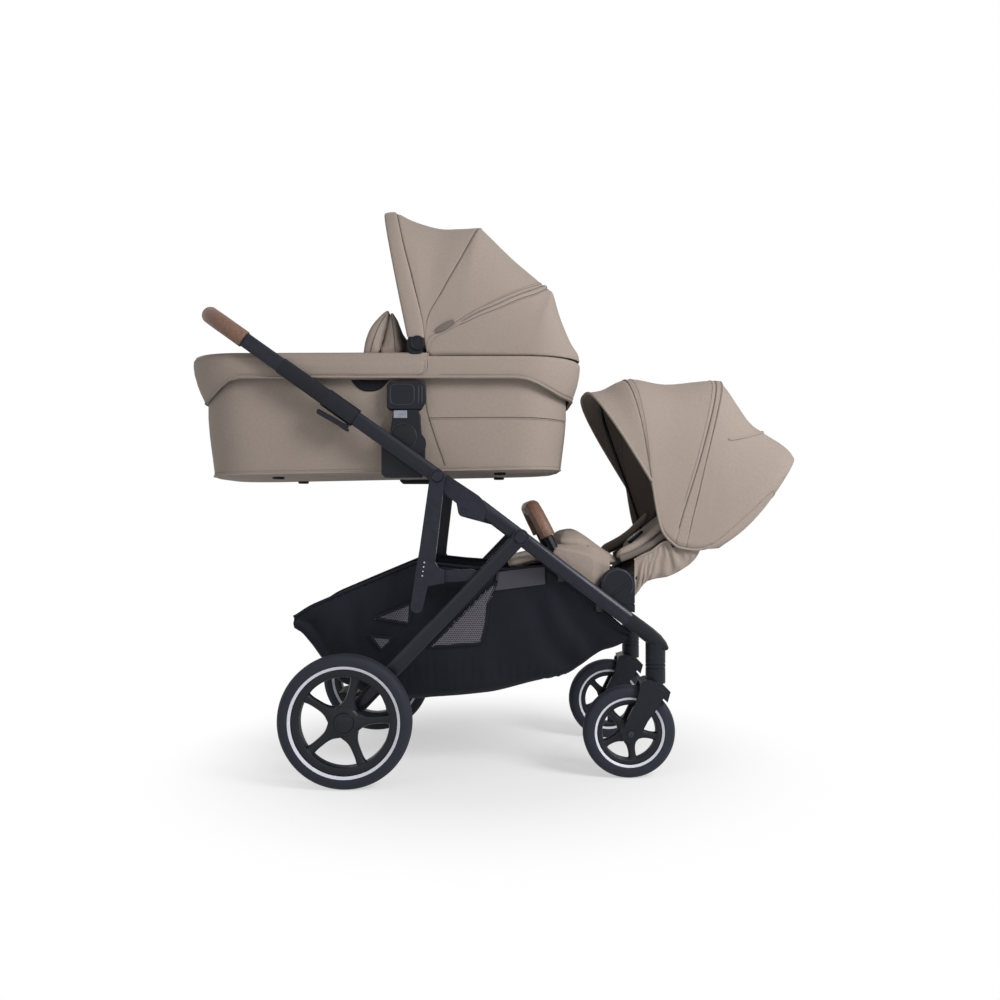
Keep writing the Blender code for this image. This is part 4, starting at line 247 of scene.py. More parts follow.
def make_finishes(cloth, chassis):
    """Every material of the stroller, by name."""
    taupe = (*cloth.taupe, 1.0)
    dark = (*cloth.basket, 1.0)
    frame_colour = (*chassis.frame, 1.0)
    made = {}

    for name, colour, source in (("taupe_cloth", taupe, "UV"), ("taupe_pad", taupe, "Object")):
        f = Finish(name, colour, 0.92, source=source)
        weave = cloth.thread_pitch
        if source == "UV":
            warp = f.wave(math.tau / 20 / weave * 3.18, "X")
            weft = f.wave(math.tau / 20 / weave * 3.18, "Y")
            threads = f.maths("MULTIPLY", warp, weft)
        else:
            threads = f.cells(0.9 / weave)
        fleck = f.noise(0.55 / weave, 2.0, f.mapped((1.0, 0.28, 1.0)))
        cross = f.noise(0.55 / weave, 2.0, f.mapped((0.28, 1.0, 1.0), (3.1, 1.7, 0.4)))
        melange = f.ramp(f.maths("ADD", fleck, cross), 0.78, 1.22, 0.0, 1.0)
        base = f.mix(melange, shade(taupe, 0.93), shade(taupe, 1.07))
        broad = f.ramp(f.noise(7.0, 3.0), 0.3, 0.7, 0.0, 0.30)
        base = f.mix(broad, base, shade(taupe, 0.90))
        f.colour(base).rough(f.ramp(fleck, 0.3, 0.7, 0.86, 0.97))
        height = f.maths("ADD", f.maths("MULTIPLY", threads, 0.6), f.maths("MULTIPLY", fleck, 0.5))
        f.bump(height, 0.35, 0.0006)
        f.set(Sheen_Weight=0.12, Sheen_Roughness=0.45, Specular_IOR_Level=0.15)
        made[name] = f.material

    f = Finish("hood_lining", shade(taupe, 0.42), 0.95, source="UV")
    grain = f.noise(900.0, 2.0)
    f.colour(f.mix(f.ramp(grain, 0.3, 0.7, 0.0, 1.0), shade(taupe, 0.55), shade(taupe, 0.74)))
    f.bump(grain, 0.25, 0.0004)
    made["hood_lining"] = f.material

    f = Finish("dark_taupe", shade(taupe, 0.45), 0.85)
    f.colour(f.mix(f.noise(900.0, 2.0), shade(taupe, 0.34), shade(taupe, 0.56)))
    f.bump(f.cells(700.0), 0.35, 0.0005)
    made["dark_taupe"] = f.material

    f = Finish("piping", shade(taupe, 0.95), 0.8, source="UV")
    twist = f.wave(420.0, "DIAGONAL")
    f.colour(f.mix(f.ramp(twist, 0.0, 1.0, 0.0, 0.5), shade(taupe, 1.0), shade(taupe, 0.72)))
    f.bump(twist, 0.4, 0.0004)
    made["piping"] = f.material

    f = Finish("thread", shade(taupe, 0.70), 0.7)
    f.colour(f.mix(f.noise(1500.0), shade(taupe, 0.66), shade(taupe, 0.86)))
    made["thread"] = f.material

    f = Finish("seam_shadow", shade(taupe, 0.34), 0.95)
    f.colour(f.mix(f.noise(300.0), shade(taupe, 0.28), shade(taupe, 0.40)))
    made["seam_shadow"] = f.material

    for name, source in (("basket_cloth", "UV"), ("dark_pad", "Object")):
        f = Finish(name, dark, 0.75, source=source)
        fine = f.noise(1100.0, 2.0)
        if source == "UV":
            grid = f.maths("MAXIMUM", f.wave(160.0, "X"), f.wave(160.0, "Y"))
        else:
            grid = f.cells(700.0)
        # The fold noise bumps the cloth and also paints its tone: painted light and shade, lighter on the folds' crests
        # and darker in their hollows
        fold = f.noise(9.0, 3.0)
        base = f.mix(f.ramp(fold, 0.35, 0.65, 0.0, 1.0), shade(dark, 0.75), shade(dark, 1.5))
        f.colour(f.mix(f.ramp(fine, 0.3, 0.7, 0.0, 0.35), base, shade(dark, 2.1)))
        f.rough(f.ramp(fine, 0.3, 0.7, 0.62, 0.85))
        f.bump(f.maths("ADD", f.maths("MULTIPLY", grid, 0.4), fold), 0.35, 0.0008)
        f.set(Specular_IOR_Level=0.22)
        made[name] = f.material

    f = Finish("mesh_backing", srgb(66, 65, 72), 0.9)
    f.colour(f.mix(f.noise(500.0), srgb(58, 57, 64), srgb(76, 75, 82)))
    made["mesh_backing"] = f.material

    f = Finish("mesh_cord", srgb(128, 126, 134), 0.6)
    f.colour(f.mix(f.noise(1200.0), srgb(108, 106, 114), srgb(150, 148, 156)))
    made["mesh_cord"] = f.material

    f = Finish("webbing", srgb(40, 38, 44), 0.7, source="UV")
    ribs = f.wave(260.0, "Y")
    f.colour(f.mix(f.ramp(ribs, 0.0, 1.0, 0.0, 1.0), srgb(26, 25, 30), srgb(58, 56, 62)))
    f.bump(ribs, 0.5, 0.0005)
    made["webbing"] = f.material

    f = Finish("frame_coat", frame_colour, 0.36, metallic=0.10)
    orange = f.noise(900.0, 2.0)
    tone = f.mix(f.ramp(f.noise(5.0), 0.3, 0.7, 0.0, 0.5), frame_colour, shade(frame_colour, 1.25))
    f.colour(f.mix(f.ramp(orange, 0.55, 0.75, 0.0, 0.35), edge_wear(f, tone, shade(frame_colour, 2.6), 0.5),
                   shade(frame_colour, 1.9)))
    f.rough(f.ramp(f.noise(28.0, 4.0), 0.3, 0.7, 0.31, 0.43)).bump(orange, 0.06, 0.0003, 0.0012)
    f.set(Coat_Weight=0.05, Coat_Roughness=0.28, Specular_IOR_Level=0.28)
    made["frame_coat"] = f.material

    for name, colour, low, high, grain in (("moulded", chassis.plastic, 0.42, 0.54, 0.22),
                                           ("rim_plastic", chassis.rim, 0.38, 0.50, 0.14),
                                           ("button_plastic", srgb(120, 124, 134)[:3], 0.28, 0.36, 0.10)):
        colour = (*colour, 1.0)
        f = Finish(name, colour, 0.45)
        fine = f.cells(1300.0)
        tone = f.mix(f.ramp(f.noise(11.0), 0.35, 0.65, 0.0, 0.5), colour, shade(colour, 1.3))
        f.colour(edge_wear(f, tone, shade(colour, 2.4), 0.45))
        f.rough(f.ramp(f.noise(45.0, 4.0), 0.3, 0.7, low, high)).bump(fine, grain, 0.0002, 0.0010)
        f.set(Specular_IOR_Level=0.25)
        made[name] = f.material

    # Lighter plastic, for wear on raised rings, ribs and screws, and as a painted highlight on the seat hub's ring arc
    lighter_colour = shade((*chassis.plastic, 1.0), 2.6)
    f = Finish("worn_plastic_and_painted_highlight", lighter_colour, 0.4)
    f.colour(f.mix(f.ramp(f.noise(60.0, 3.0), 0.35, 0.65, 0.0, 1.0), shade(lighter_colour, 0.75), shade(lighter_colour, 1.5)))
    f.rough(f.ramp(f.noise(90.0), 0.3, 0.7, 0.34, 0.46)).bump(f.cells(1300.0), 0.12, 0.0002)
    made["worn_plastic_and_painted_highlight"] = f.material

    f = Finish("rubber", (*chassis.tyre, 1.0), 0.7)
    dust = f.noise(30.0, 4.0)
    tyre = (*chassis.tyre, 1.0)
    f.colour(f.mix(f.ramp(dust, 0.4, 0.7, 0.0, 0.6), tyre, shade(tyre, 1.6)))
    f.rough(f.ramp(dust, 0.3, 0.7, 0.58, 0.78)).bump(f.noise(1400.0, 2.0), 0.25, 0.0003)
    f.set(Specular_IOR_Level=0.25)
    made["rubber"] = f.material

    f = Finish("reflective_ring", srgb(226, 229, 238), 0.42)
    beads = f.cells(1600.0)
    f.colour(f.mix(f.ramp(beads, 0.0, 0.5, 0.0, 1.0), srgb(205, 208, 220), srgb(236, 238, 246)))
    f.bump(beads, 0.25, 0.0002)
    made["reflective_ring"] = f.material

    leather = (*chassis.leather, 1.0)
    f = Finish("leatherette", leather, 0.5)
    pores = f.cells(420.0, f.node("ShaderNodeTexCoord").outputs["Object"])
    crease = f.noise(160.0, 4.0)
    tone = f.mix(f.ramp(crease, 0.35, 0.65, 0.0, 1.0), shade(leather, 0.78), shade(leather, 1.22))
    f.colour(f.mix(f.ramp(pores, 0.0, 0.18, 0.6, 0.0), tone, shade(leather, 0.45)))
    f.rough(f.ramp(crease, 0.3, 0.7, 0.42, 0.6))
    f.bump(f.maths("ADD", f.ramp(pores, 0.0, 0.25, 0.0, 1.0), f.maths("MULTIPLY", crease, 0.6)), 0.4, 0.0004)
    made["leatherette"] = f.material

    f = Finish("grip_thread", srgb(158, 128, 106), 0.6)
    f.colour(f.mix(f.noise(1500.0), srgb(140, 112, 92), srgb(176, 146, 122)))
    made["grip_thread"] = f.material

    f = Finish("bright_steel", srgb(160, 163, 170), 0.3, metallic=0.9)
    brushed = f.noise(700.0, 2.0, f.mapped((1.0, 0.05, 1.0)))
    f.rough(f.ramp(brushed, 0.3, 0.7, 0.22, 0.4)).bump(brushed, 0.1, 0.0002)
    made["bright_steel"] = f.material

    f = Finish("ticking", srgb(202, 198, 190), 0.9)
    knit = f.cells(900.0)
    f.colour(f.mix(f.ramp(f.noise(14.0), 0.3, 0.7, 0.0, 1.0), srgb(190, 186, 178), srgb(210, 207, 200)))
    f.bump(knit, 0.4, 0.0005).set(Sheen_Weight=0.2)
    made["ticking"] = f.material
    return made


def finish_of(name):
    """A finished material, made once from the panel's colours."""
    if not MADE:
        scene = bpy.context.scene
        MADE.update(make_finishes(scene.stroller_cloth, scene.stroller_chassis))
    return MADE[name]


# Mesh helpers

def spline(points, x):
    """A smooth height through (x, z) points."""
    if x <= points[0][0]:
        return points[0][1]
    for i in range(len(points) - 1):
        if x <= points[i + 1][0]:
            before = points[max(i - 1, 0)]
            a, b = points[i], points[i + 1]
            after = points[min(i + 2, len(points) - 1)]
            span = b[0] - a[0]
            t = (x - a[0]) / span
            tangent_a = (b[1] - before[1]) / (b[0] - before[0]) * span
            tangent_b = (after[1] - a[1]) / (after[0] - a[0]) * span
            return (a[1] * (2 * t ** 3 - 3 * t ** 2 + 1) + tangent_a * (t ** 3 - 2 * t ** 2 + t)
                    + b[1] * (3 * t ** 2 - 2 * t ** 3) + tangent_b * (t ** 3 - t ** 2))
    return points[-1][1]


def through(values, place, sharp=()):
    """A smooth value between vectors at whole numbers, with corners at the sharp ones."""
    count = len(values) - 1
    i = min(int(place), count - 1)
    t = place - i
    a, b = values[i], values[i + 1]
    before = values[i - 1] if i > 0 and i not in sharp else a + (a - b)
    after = values[i + 2] if i + 2 <= count and i + 1 not in sharp else b + (b - a)
    tangent_a = (b - before) * 0.5
    tangent_b = (after - a) * 0.5
    return (a * (2 * t ** 3 - 3 * t ** 2 + 1) + tangent_a * (t ** 3 - 2 * t ** 2 + t)
            + b * (3 * t ** 2 - 2 * t ** 3) + tangent_b * (t ** 3 - t ** 2))


def refine(base, places, offsets):
    """Sample places with extra ones beside each seam."""
    found = list(base)
    low, high = min(base), max(base)
    for place in places:
        for offset in offsets:
            for value in (place - offset, place + offset):
                if low < value < high:
                    found.append(value)
        found.append(place)
    found = sorted(set(round(v, 6) for v in found))
    kept = [found[0]]
    for value in found[1:]:
        if value - kept[-1] > 1e-4:
            kept.append(value)
    return kept


def add_object(name, mesh, finish):
    """A new object in the scene with one material."""
    mesh.materials.clear()
    mesh.materials.append(finish_of(finish))
    made = bpy.data.objects.new(name, mesh)
    bpy.context.scene.collection.objects.link(made)
    return made


def volume_of(mesh):
    """Signed volume of a closed mesh."""
    shape = bmesh.new()
    shape.from_mesh(mesh)
    total = shape.calc_volume(signed=True)
    shape.free()
    return total


def mesh_from(name, points, faces, uvs=None, sharp=40.0):
    """A smooth mesh from points and faces, with a UV map in metres."""
    mesh = bpy.data.meshes.new(name)
    mesh.from_pydata([tuple(p) for p in points], [], faces)
    layer = mesh.uv_layers.new(name="UVMap")
    if uvs is not None:
        for loop in mesh.loops:
            layer.data[loop.index].uv = uvs[loop.vertex_index]
    mesh.shade_smooth()
    mesh.set_sharp_from_angle(angle=math.radians(sharp))
    return mesh


def baked(target):
    """Turns the object's modifiers into its mesh."""
    graph = bpy.context.evaluated_depsgraph_get()
    mesh = bpy.data.meshes.new_from_object(target.evaluated_get(graph), preserve_all_data_layers=True,
                                           depsgraph=graph)
    target.modifiers.clear()
    old = target.data
    target.data = mesh
    bpy.data.meshes.remove(old)
    return target


def outward(target):
    """Turns a closed mesh the right way round."""
    if volume_of(target.data) < 0:
        target.data.flip_normals()
    return target


def grid_faces(rows, columns, wrap_columns=False, wrap_rows=False):
    """Quads between rows of points."""
    faces = []
    for i in range(rows if wrap_rows else rows - 1):
        for j in range(columns if wrap_columns else columns - 1):
            a = i * columns + j
            b = i * columns + (j + 1) % columns
            c = (i + 1) % rows * columns + (j + 1) % columns
            d = (i + 1) % rows * columns + j
            faces.append((a, b, c, d))
    return faces


def tube_faces(rows, wrap_rows=False):
    """Faces of a body through rings of points, with both ends closed unless it closes on itself."""
    count = len(rows[0])
    faces = grid_faces(len(rows), count, wrap_columns=True, wrap_rows=wrap_rows)
    if not wrap_rows:
        faces.append(tuple(range(count - 1, -1, -1)))
        faces.append(tuple((len(rows) - 1) * count + k for k in range(count)))
    return faces


def ring_uvs(rows, marks):
    """UVs in metres: around each ring, and down by the distances between the rows' marks."""
    uvs = []
    down = 0.0
    for i, row in enumerate(rows):
        if i:
            down += (marks[i] - marks[i - 1]).length
        around = 0.0
        for k, point in enumerate(row):
            if k:
                around += (point - row[k - 1]).length
            uvs.append((around, down))
    return uvs


def cloth_sheet(name, rows, finish, thickness, flip=False, wrap=False, sharp=50.0, lining=None):
    """A sheet of cloth through rows of points, with its thickness on the inner side."""
    count = len(rows[0])
    points = [p for row in rows for p in row]
    uvs = []
    down = 0.0
    for i, row in enumerate(rows):
        if i:
            gaps = [(p - q).length for p, q in zip(row, rows[i - 1])]
            down += max(sum(gaps) / len(gaps), 1e-5)
        along = 0.0
        for j, point in enumerate(row):
            if j:
                along += (point - row[j - 1]).length
            uvs.append((along, down))
    faces = grid_faces(len(rows), count, wrap_columns=wrap)
    if flip:
        faces = [tuple(reversed(face)) for face in faces]
    area = 0.0
    for a, b, c, d in faces:
        area += ((points[c] - points[a]).cross(points[d] - points[b])).length / 2
    mesh = mesh_from(name, points, faces, uvs, sharp)
    made = add_object(name, mesh, finish)
    wall = made.modifiers.new("thickness", "SOLIDIFY")
    wall.thickness = thickness
    wall.offset = -1.0
    wall.use_even_offset = False
    if lining:
        made.data.materials.append(finish_of(lining))
        wall.material_offset = 1
    baked(made)
    outward(made)
    made["flat_area"] = round(area, 3)
    return made


def section_sweep(name, points, sections, finish, closed=False, up=Vector((0, 1, 0)), sharp=50.0):
    """A closed body along points: each section is a ring of (side, up) offsets."""
    points = [Vector(p) for p in points]
    rows = []
    total = len(points)
    for i, point in enumerate(points):
        before = points[(i - 1) % total] if closed else points[max(i - 1, 0)]
        after = points[(i + 1) % total] if closed else points[min(i + 1, total - 1)]
        along = (after - before).normalized()
        side = along.cross(up)
        if side.length < 1e-6:
            side = along.cross(Vector((0.3, 0.1, 1.0)))
        side.normalize()
        top = side.cross(along).normalized()
        ring = sections[i] if isinstance(sections[0][0], (tuple, list)) else sections
        rows.append([point + side * a + top * b for a, b in ring])
    flat = [p for row in rows for p in row]
    mesh = mesh_from(name, flat, tube_faces(rows, closed), ring_uvs(rows, points), sharp)
    return outward(add_object(name, mesh, finish))


def round_section(radius, count=12, squeeze=1.0):
    """A round or oval ring of offsets."""
    return [(radius * math.cos(math.tau * k / count), radius * squeeze * math.sin(math.tau * k / count))
            for k in range(count)]


def flat_section(width, thickness, count=4):
    """A flat strap's ring of offsets with rounded edges."""
    ring = []
    half, edge = width / 2 - thickness / 2, thickness / 2
    for sign, start in ((1, -90), (-1, 90)):
        for k in range(count + 1):
            turn = math.radians(start + 180 * k / count)
            ring.append((sign * half + edge * math.cos(turn), edge * math.sin(turn)))
    return ring


def joined(name, pieces):
    """One object from several."""
    first = pieces[0]
    shape = bmesh.new()
    for piece in pieces:
        shape.from_mesh(piece.data)
    mesh = first.data
    shape.to_mesh(mesh)
    shape.free()
    for piece in pieces[1:]:
        bpy.data.objects.remove(piece)
    first.name = name
    mesh.name = name
    return first


def lathe(name, profile, centre, segments, finish, sharp=35.0):
    """A closed ring turned about the Y axis from (radius, y) points."""
    count = len(profile)
    points = []
    uvs = []
    for s in range(segments):
        turn = math.tau * s / segments
        for r, y in profile:
            points.append(Vector((centre[0] + r * math.cos(turn), centre[1] + y, centre[2] + r * math.sin(turn))))
            uvs.append((r * turn, y))
    faces = grid_faces(segments, count, wrap_columns=True, wrap_rows=True)
    made = add_object(name, mesh_from(name, points, faces, uvs, sharp), finish)
    return outward(made)


def disc(name, centre, profile, segments, finish, sharp=35.0):
    """A closed turned body about Y whose profile starts and ends on the axis."""
    inner = profile[1:-1]
    count = len(inner)
    points = [Vector((centre[0], centre[1] + profile[0][1], centre[2]))]
    for s in range(segments):
        turn = math.tau * s / segments
        for r, y in inner:
            points.append(Vector((centre[0] + r * math.cos(turn), centre[1] + y, centre[2] + r * math.sin(turn))))
    points.append(Vector((centre[0], centre[1] + profile[-1][1], centre[2])))
    last = len(points) - 1
    faces = []
    for s in range(segments):
        a = 1 + s * count
        b = 1 + (s + 1) % segments * count
        faces.append((0, a, b))
        for k in range(count - 1):
            faces.append((a + k, a + k + 1, b + k + 1, b + k))
        faces.append((last, b + count - 1, a + count - 1))
    uvs = [(p.x, p.z) for p in points]
    made = add_object(name, mesh_from(name, points, faces, uvs, sharp), finish)
    return outward(made)


def ride(piece, body, *stands_for, slot=None):
    """Hangs a piece on its body and hides the CAD nodes it stands for."""
    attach(piece, body)
    if stands_for:
        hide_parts(*stands_for)
    return piece


# Geometry Nodes

def tree_with(name, inputs):
    """An empty Geometry Nodes tree with named inputs."""
    tree = bpy.data.node_groups.new(name, "GeometryNodeTree")
    tree.interface.new_socket("Geometry", in_out="INPUT", socket_type="NodeSocketGeometry")
    for label, kind, value in inputs:
        socket = tree.interface.new_socket(label, in_out="INPUT", socket_type=kind)
        if value is not None:
            socket.default_value = value
    tree.interface.new_socket("Geometry", in_out="OUTPUT", socket_type="NodeSocketGeometry")
    return tree, tree.nodes.new("NodeGroupInput"), tree.nodes.new("NodeGroupOutput")


def wire(tree, *links):
    """Joins sockets, each link given as (from node, output, to node, input)."""
    for source, output, target, entry in links:
        tree.links.new(source.outputs[output], target.inputs[entry])


def set_input(modifier, label, value):
    """Sets a Geometry Nodes modifier's input by its socket's identifier."""
    for item in modifier.node_group.interface.items_tree:
        if item.item_type == "SOCKET" and item.in_out == "INPUT" and item.name == label:
            modifier[item.identifier] = value
            return
    raise ValueError(f"no input named {label}")


def stitch_tree():
    """Stitches laid along a line of edges."""
    found = bpy.data.node_groups.get("Stitch run")
    if found:
        return found
    tree, start, end = tree_with("Stitch run", (("Pitch", "NodeSocketFloat", 0.0042),
                                               ("Stitch Length", "NodeSocketFloat", 0.0030),
                                               ("Thread Radius", "NodeSocketFloat", 0.0005),
                                               ("Material", "NodeSocketMaterial", None)))
    nodes = tree.nodes
    curve = nodes.new("GeometryNodeMeshToCurve")
    sample = nodes.new("GeometryNodeResampleCurve")
    sample.mode = "LENGTH"
    thread = nodes.new("GeometryNodeMeshCylinder")
    thread.inputs["Vertices"].default_value = 6
    scatter = nodes.new("GeometryNodeInstanceOnPoints")
    tangent = nodes.new("GeometryNodeInputTangent")
    turn = nodes.new("FunctionNodeAlignRotationToVector")
    turn.axis = "Z"
    real = nodes.new("GeometryNodeRealizeInstances")
    paint = nodes.new("GeometryNodeSetMaterial")
    wire(tree, (start, "Geometry", curve, "Mesh"), (curve, "Curve", sample, "Curve"),
         (start, "Pitch", sample, "Length"), (start, "Stitch Length", thread, "Depth"),
         (start, "Thread Radius", thread, "Radius"), (sample, "Curve", scatter, "Points"),
         (thread, "Mesh", scatter, "Instance"), (tangent, "Tangent", turn, "Vector"),
         (turn, "Rotation", scatter, "Rotation"), (scatter, "Instances", real, "Geometry"),
         (real, "Geometry", paint, "Geometry"), (start, "Material", paint, "Material"),
         (paint, "Geometry", end, "Geometry"))
    return tree


def run_tree(name, mesh, tree, values, finish):
    """The plain mesh that a Geometry Nodes tree makes from a mesh."""
    holder = bpy.data.objects.new(name, mesh)
    bpy.context.scene.collection.objects.link(holder)
    modifier = holder.modifiers.new("nodes", "NODES")
    modifier.node_group = tree
    for label, value in values.items():
        set_input(modifier, label, value)
    set_input(modifier, "Material", finish_of(finish))
    graph = bpy.context.evaluated_depsgraph_get()
    made = bpy.data.meshes.new_from_object(holder.evaluated_get(graph), depsgraph=graph)
    holder.modifiers.clear()
    bpy.data.objects.remove(holder)
    made.name = name
    return add_object(name, made, finish)


def stitches(name, lines, finish="thread", pitch=0.0042, length=0.0030, radius=0.0005):
    """Rows of stitches along lines of points."""
    points = []
    edges = []
    for line in lines:
        first = len(points)
        points += [tuple(p) for p in line]
        edges += [(first + k, first + k + 1) for k in range(len(line) - 1)]
    mesh = bpy.data.meshes.new(name)
    mesh.from_pydata(points, edges, [])
    return run_tree(name, mesh, stitch_tree(),
                    {"Pitch": pitch, "Stitch Length": length, "Thread Radius": radius}, finish)


def net_tree():
    """Knotted net cells at points, turned to face along their normals."""
    found = bpy.data.node_groups.get("Net cells")
    if found:
        return found
    tree, start, end = tree_with("Net cells", (("Cell Radius", "NodeSocketFloat", 0.0026),
                                              ("Cord Radius", "NodeSocketFloat", 0.0006),
                                              ("Material", "NodeSocketMaterial", None)))
    nodes = tree.nodes
    cell = nodes.new("GeometryNodeCurvePrimitiveCircle")
    cell.inputs["Resolution"].default_value = 6
    cord = nodes.new("GeometryNodeCurvePrimitiveCircle")
    cord.inputs["Resolution"].default_value = 4
    body = nodes.new("GeometryNodeCurveToMesh")
    scatter = nodes.new("GeometryNodeInstanceOnPoints")
    facing = nodes.new("GeometryNodeInputNamedAttribute")
    facing.data_type = "FLOAT_VECTOR"
    facing.inputs["Name"].default_value = "facing"
    turn = nodes.new("FunctionNodeAlignRotationToVector")
    turn.axis = "Z"
    real = nodes.new("GeometryNodeRealizeInstances")
    paint = nodes.new("GeometryNodeSetMaterial")
    wire(tree, (start, "Cell Radius", cell, "Radius"), (start, "Cord Radius", cord, "Radius"),
         (cell, "Curve", body, "Curve"), (cord, "Curve", body, "Profile Curve"),
         (start, "Geometry", scatter, "Points"), (body, "Mesh", scatter, "Instance"),
         (facing, "Attribute", turn, "Vector"), (turn, "Rotation", scatter, "Rotation"),
         (scatter, "Instances", real, "Geometry"), (real, "Geometry", paint, "Geometry"),
         (start, "Material", paint, "Material"), (paint, "Geometry", end, "Geometry"))
    return tree


def net(name, points, normals, cell, cord, finish):
    """A piece of net from cell centres and their normals."""
    mesh = bpy.data.meshes.new(name)
    mesh.from_pydata([tuple(p) for p in points], [], [])
    layer = mesh.attributes.new("facing", "FLOAT_VECTOR", "POINT")
    for k, normal in enumerate(normals):
        layer.data[k].vector = normal
    return run_tree(name, mesh, net_tree(), {"Cell Radius": cell, "Cord Radius": cord}, finish)


def rounding_tree():
    """Merged points and smooth shading across shallow edges, for the rigid CAD nodes."""
    found = bpy.data.node_groups.get("Smooth shallow edges")
    if found:
        return found
    tree, start, end = tree_with("Smooth shallow edges", (("Angle", "NodeSocketFloat", math.radians(34)),))
    nodes = tree.nodes
    merge = nodes.new("GeometryNodeMergeByDistance")
    merge.inputs["Distance"].default_value = 0.00002
    angle = nodes.new("GeometryNodeInputMeshEdgeAngle")
    test = nodes.new("FunctionNodeCompare")
    test.data_type = "FLOAT"
    test.operation = "LESS_THAN"
    faces = nodes.new("GeometryNodeSetShadeSmooth")
    faces.domain = "FACE"
    edges = nodes.new("GeometryNodeSetShadeSmooth")
    edges.domain = "EDGE"
    wire(tree, (start, "Geometry", merge, "Geometry"), (merge, "Geometry", faces, "Geometry"),
         (faces, "Geometry", edges, "Geometry"), (angle, "Unsigned Angle", test, 0), (start, "Angle", test, 1),
         (test, "Result", edges, "Shade Smooth"), (edges, "Geometry", end, "Geometry"))
    return tree


# Settings

class StrollerClothSettings(bpy.types.PropertyGroup):
    """Colours and sizes of the fabric."""

    taupe: bpy.props.FloatVectorProperty(name="Taupe", description="Main fabric colour", subtype="COLOR",
                                         default=srgb(158, 145, 136)[:3], min=0.0, max=1.0)
    basket: bpy.props.FloatVectorProperty(name="Basket", description="Basket cloth colour", subtype="COLOR",
                                          default=srgb(16, 17, 26)[:3], min=0.0, max=1.0)
    thread_pitch: bpy.props.FloatProperty(name="Thread pitch", description="Distance between the weave's threads",
                                          default=0.0011, min=0.0003, max=0.004, unit="LENGTH", precision=4)
    hood_thickness: bpy.props.FloatProperty(name="Hood cloth", description="Thickness of the hoods' cloth",
                                            default=0.0026, min=0.001, max=0.004, unit="LENGTH", precision=4)
    fill_pressure: bpy.props.FloatProperty(name="Fill pressure", description="Pressure that rounds the pads",
                                           default=4.0, min=0.0, max=12.0)


class StrollerChassisSettings(bpy.types.PropertyGroup):
    """Colours and sizes of the chassis."""

    frame: bpy.props.FloatVectorProperty(name="Frame", description="Colour of the coated tubes", subtype="COLOR",
                                         default=srgb(20, 21, 32)[:3], min=0.0, max=1.0)
    plastic: bpy.props.FloatVectorProperty(name="Plastic", description="Colour of the moulded pieces",
                                           subtype="COLOR", default=srgb(14, 15, 23)[:3], min=0.0, max=1.0)
    rim: bpy.props.FloatVectorProperty(name="Rims", description="Colour of the wheel rims", subtype="COLOR",
                                       default=srgb(22, 23, 30)[:3], min=0.0, max=1.0)
    tyre: bpy.props.FloatVectorProperty(name="Tyres", description="Colour of the tyres", subtype="COLOR",
                                        default=srgb(36, 38, 48)[:3], min=0.0, max=1.0)
    leather: bpy.props.FloatVectorProperty(name="Grips", description="Colour of the leatherette grips",
                                           subtype="COLOR", default=srgb(124, 92, 76)[:3], min=0.0, max=1.0)
    ring_width: bpy.props.FloatProperty(name="Ring width", description="Width of the reflective ring on a rear tyre",
                                        default=0.0062, min=0.002, max=0.012, unit="LENGTH", precision=4)


class StrollerStageSettings(bpy.types.PropertyGroup):
    """Camera and light."""

    lens: bpy.props.FloatProperty(name="Lens", description="Focal length in millimetres", default=32.94,
                                  min=10.0, max=200.0)
    distance: bpy.props.FloatProperty(name="Distance", description="Camera distance from the mid plane",
                                      default=2.24, min=0.5, max=10.0, unit="LENGTH")
    height: bpy.props.FloatProperty(name="Height", description="Camera height above the floor", default=CAMERA_HEIGHT,
                                    min=0.0, max=3.0, unit="LENGTH")
    key_power: bpy.props.FloatProperty(name="Key light", description="Power of the main soft light in watts",
                                       default=70.0, min=0.0, max=500.0)
    sky: bpy.props.FloatProperty(name="Sky", description="Strength of the even light around", default=0.37,
                                 min=0.0, max=2.0)


# Shapes shared by the pieces

def plan_ring(low_x, high_x, half_width, corner, height, steps=9, straight=14):
    """A level rounded rectangle of points, counter-clockwise from the head's left corner."""
    ring = []
    corners = ((high_x - corner, half_width - corner, 0), (low_x + corner, half_width - corner, 90),
               (low_x + corner, corner - half_width, 180), (high_x - corner, corner - half_width, 270))
    for n, (centre_x, centre_y, first) in enumerate(corners):
        for i in range(steps):
            angle = math.radians(first + 90 * i / (steps - 1))
            ring.append((centre_x + corner * math.cos(angle), centre_y + corner * math.sin(angle)))
        after = corners[(n + 1) % 4]
        angle = math.radians(after[2])
        goal = (after[0] + corner * math.cos(angle), after[1] + corner * math.sin(angle))
        begin = ring[-1]
        count = straight if n % 2 == 0 else 4
        for i in range(1, count):
            share = i / count
            ring.append((begin[0] + (goal[0] - begin[0]) * share, begin[1] + (goal[1] - begin[1]) * share))
    return [Vector((x, y, height(x) if callable(height) else height)) for x, y in ring]


def step_blend(value, low, high):
    """Smooth step from 0 to 1 between two values."""
    share = min(max((value - low) / (high - low), 0.0), 1.0)
    return share * share * (3 - 2 * share)


def cot_floor(x):
    """Height of the carrycot's underside, rising towards the head."""
    return 0.671 + 0.018 * (x - COT_FOOT_X) / (COT_HEAD_X - COT_FOOT_X)


def cot_band_foot(x):
    """Height of the band's lower edge, drooping at both ends."""
    foot = step_blend(COT_FOOT_X + 0.130 - x, 0.0, 0.095)
    head = step_blend(x - COT_HEAD_X + 0.150, 0.0, 0.125)
    return COT_TOP_Z - 0.052 - 0.047 * foot - 0.040 * head


def outline_y(x, low, high, half, corner):
    """Half width of a rounded rectangle at x."""
    if x < low + corner:
        past = low + corner - x
    elif x > high - corner:
        past = x - high + corner
    else:
        return half
    return half - corner + math.sqrt(max(corner ** 2 - min(past, corner) ** 2, 0.0))


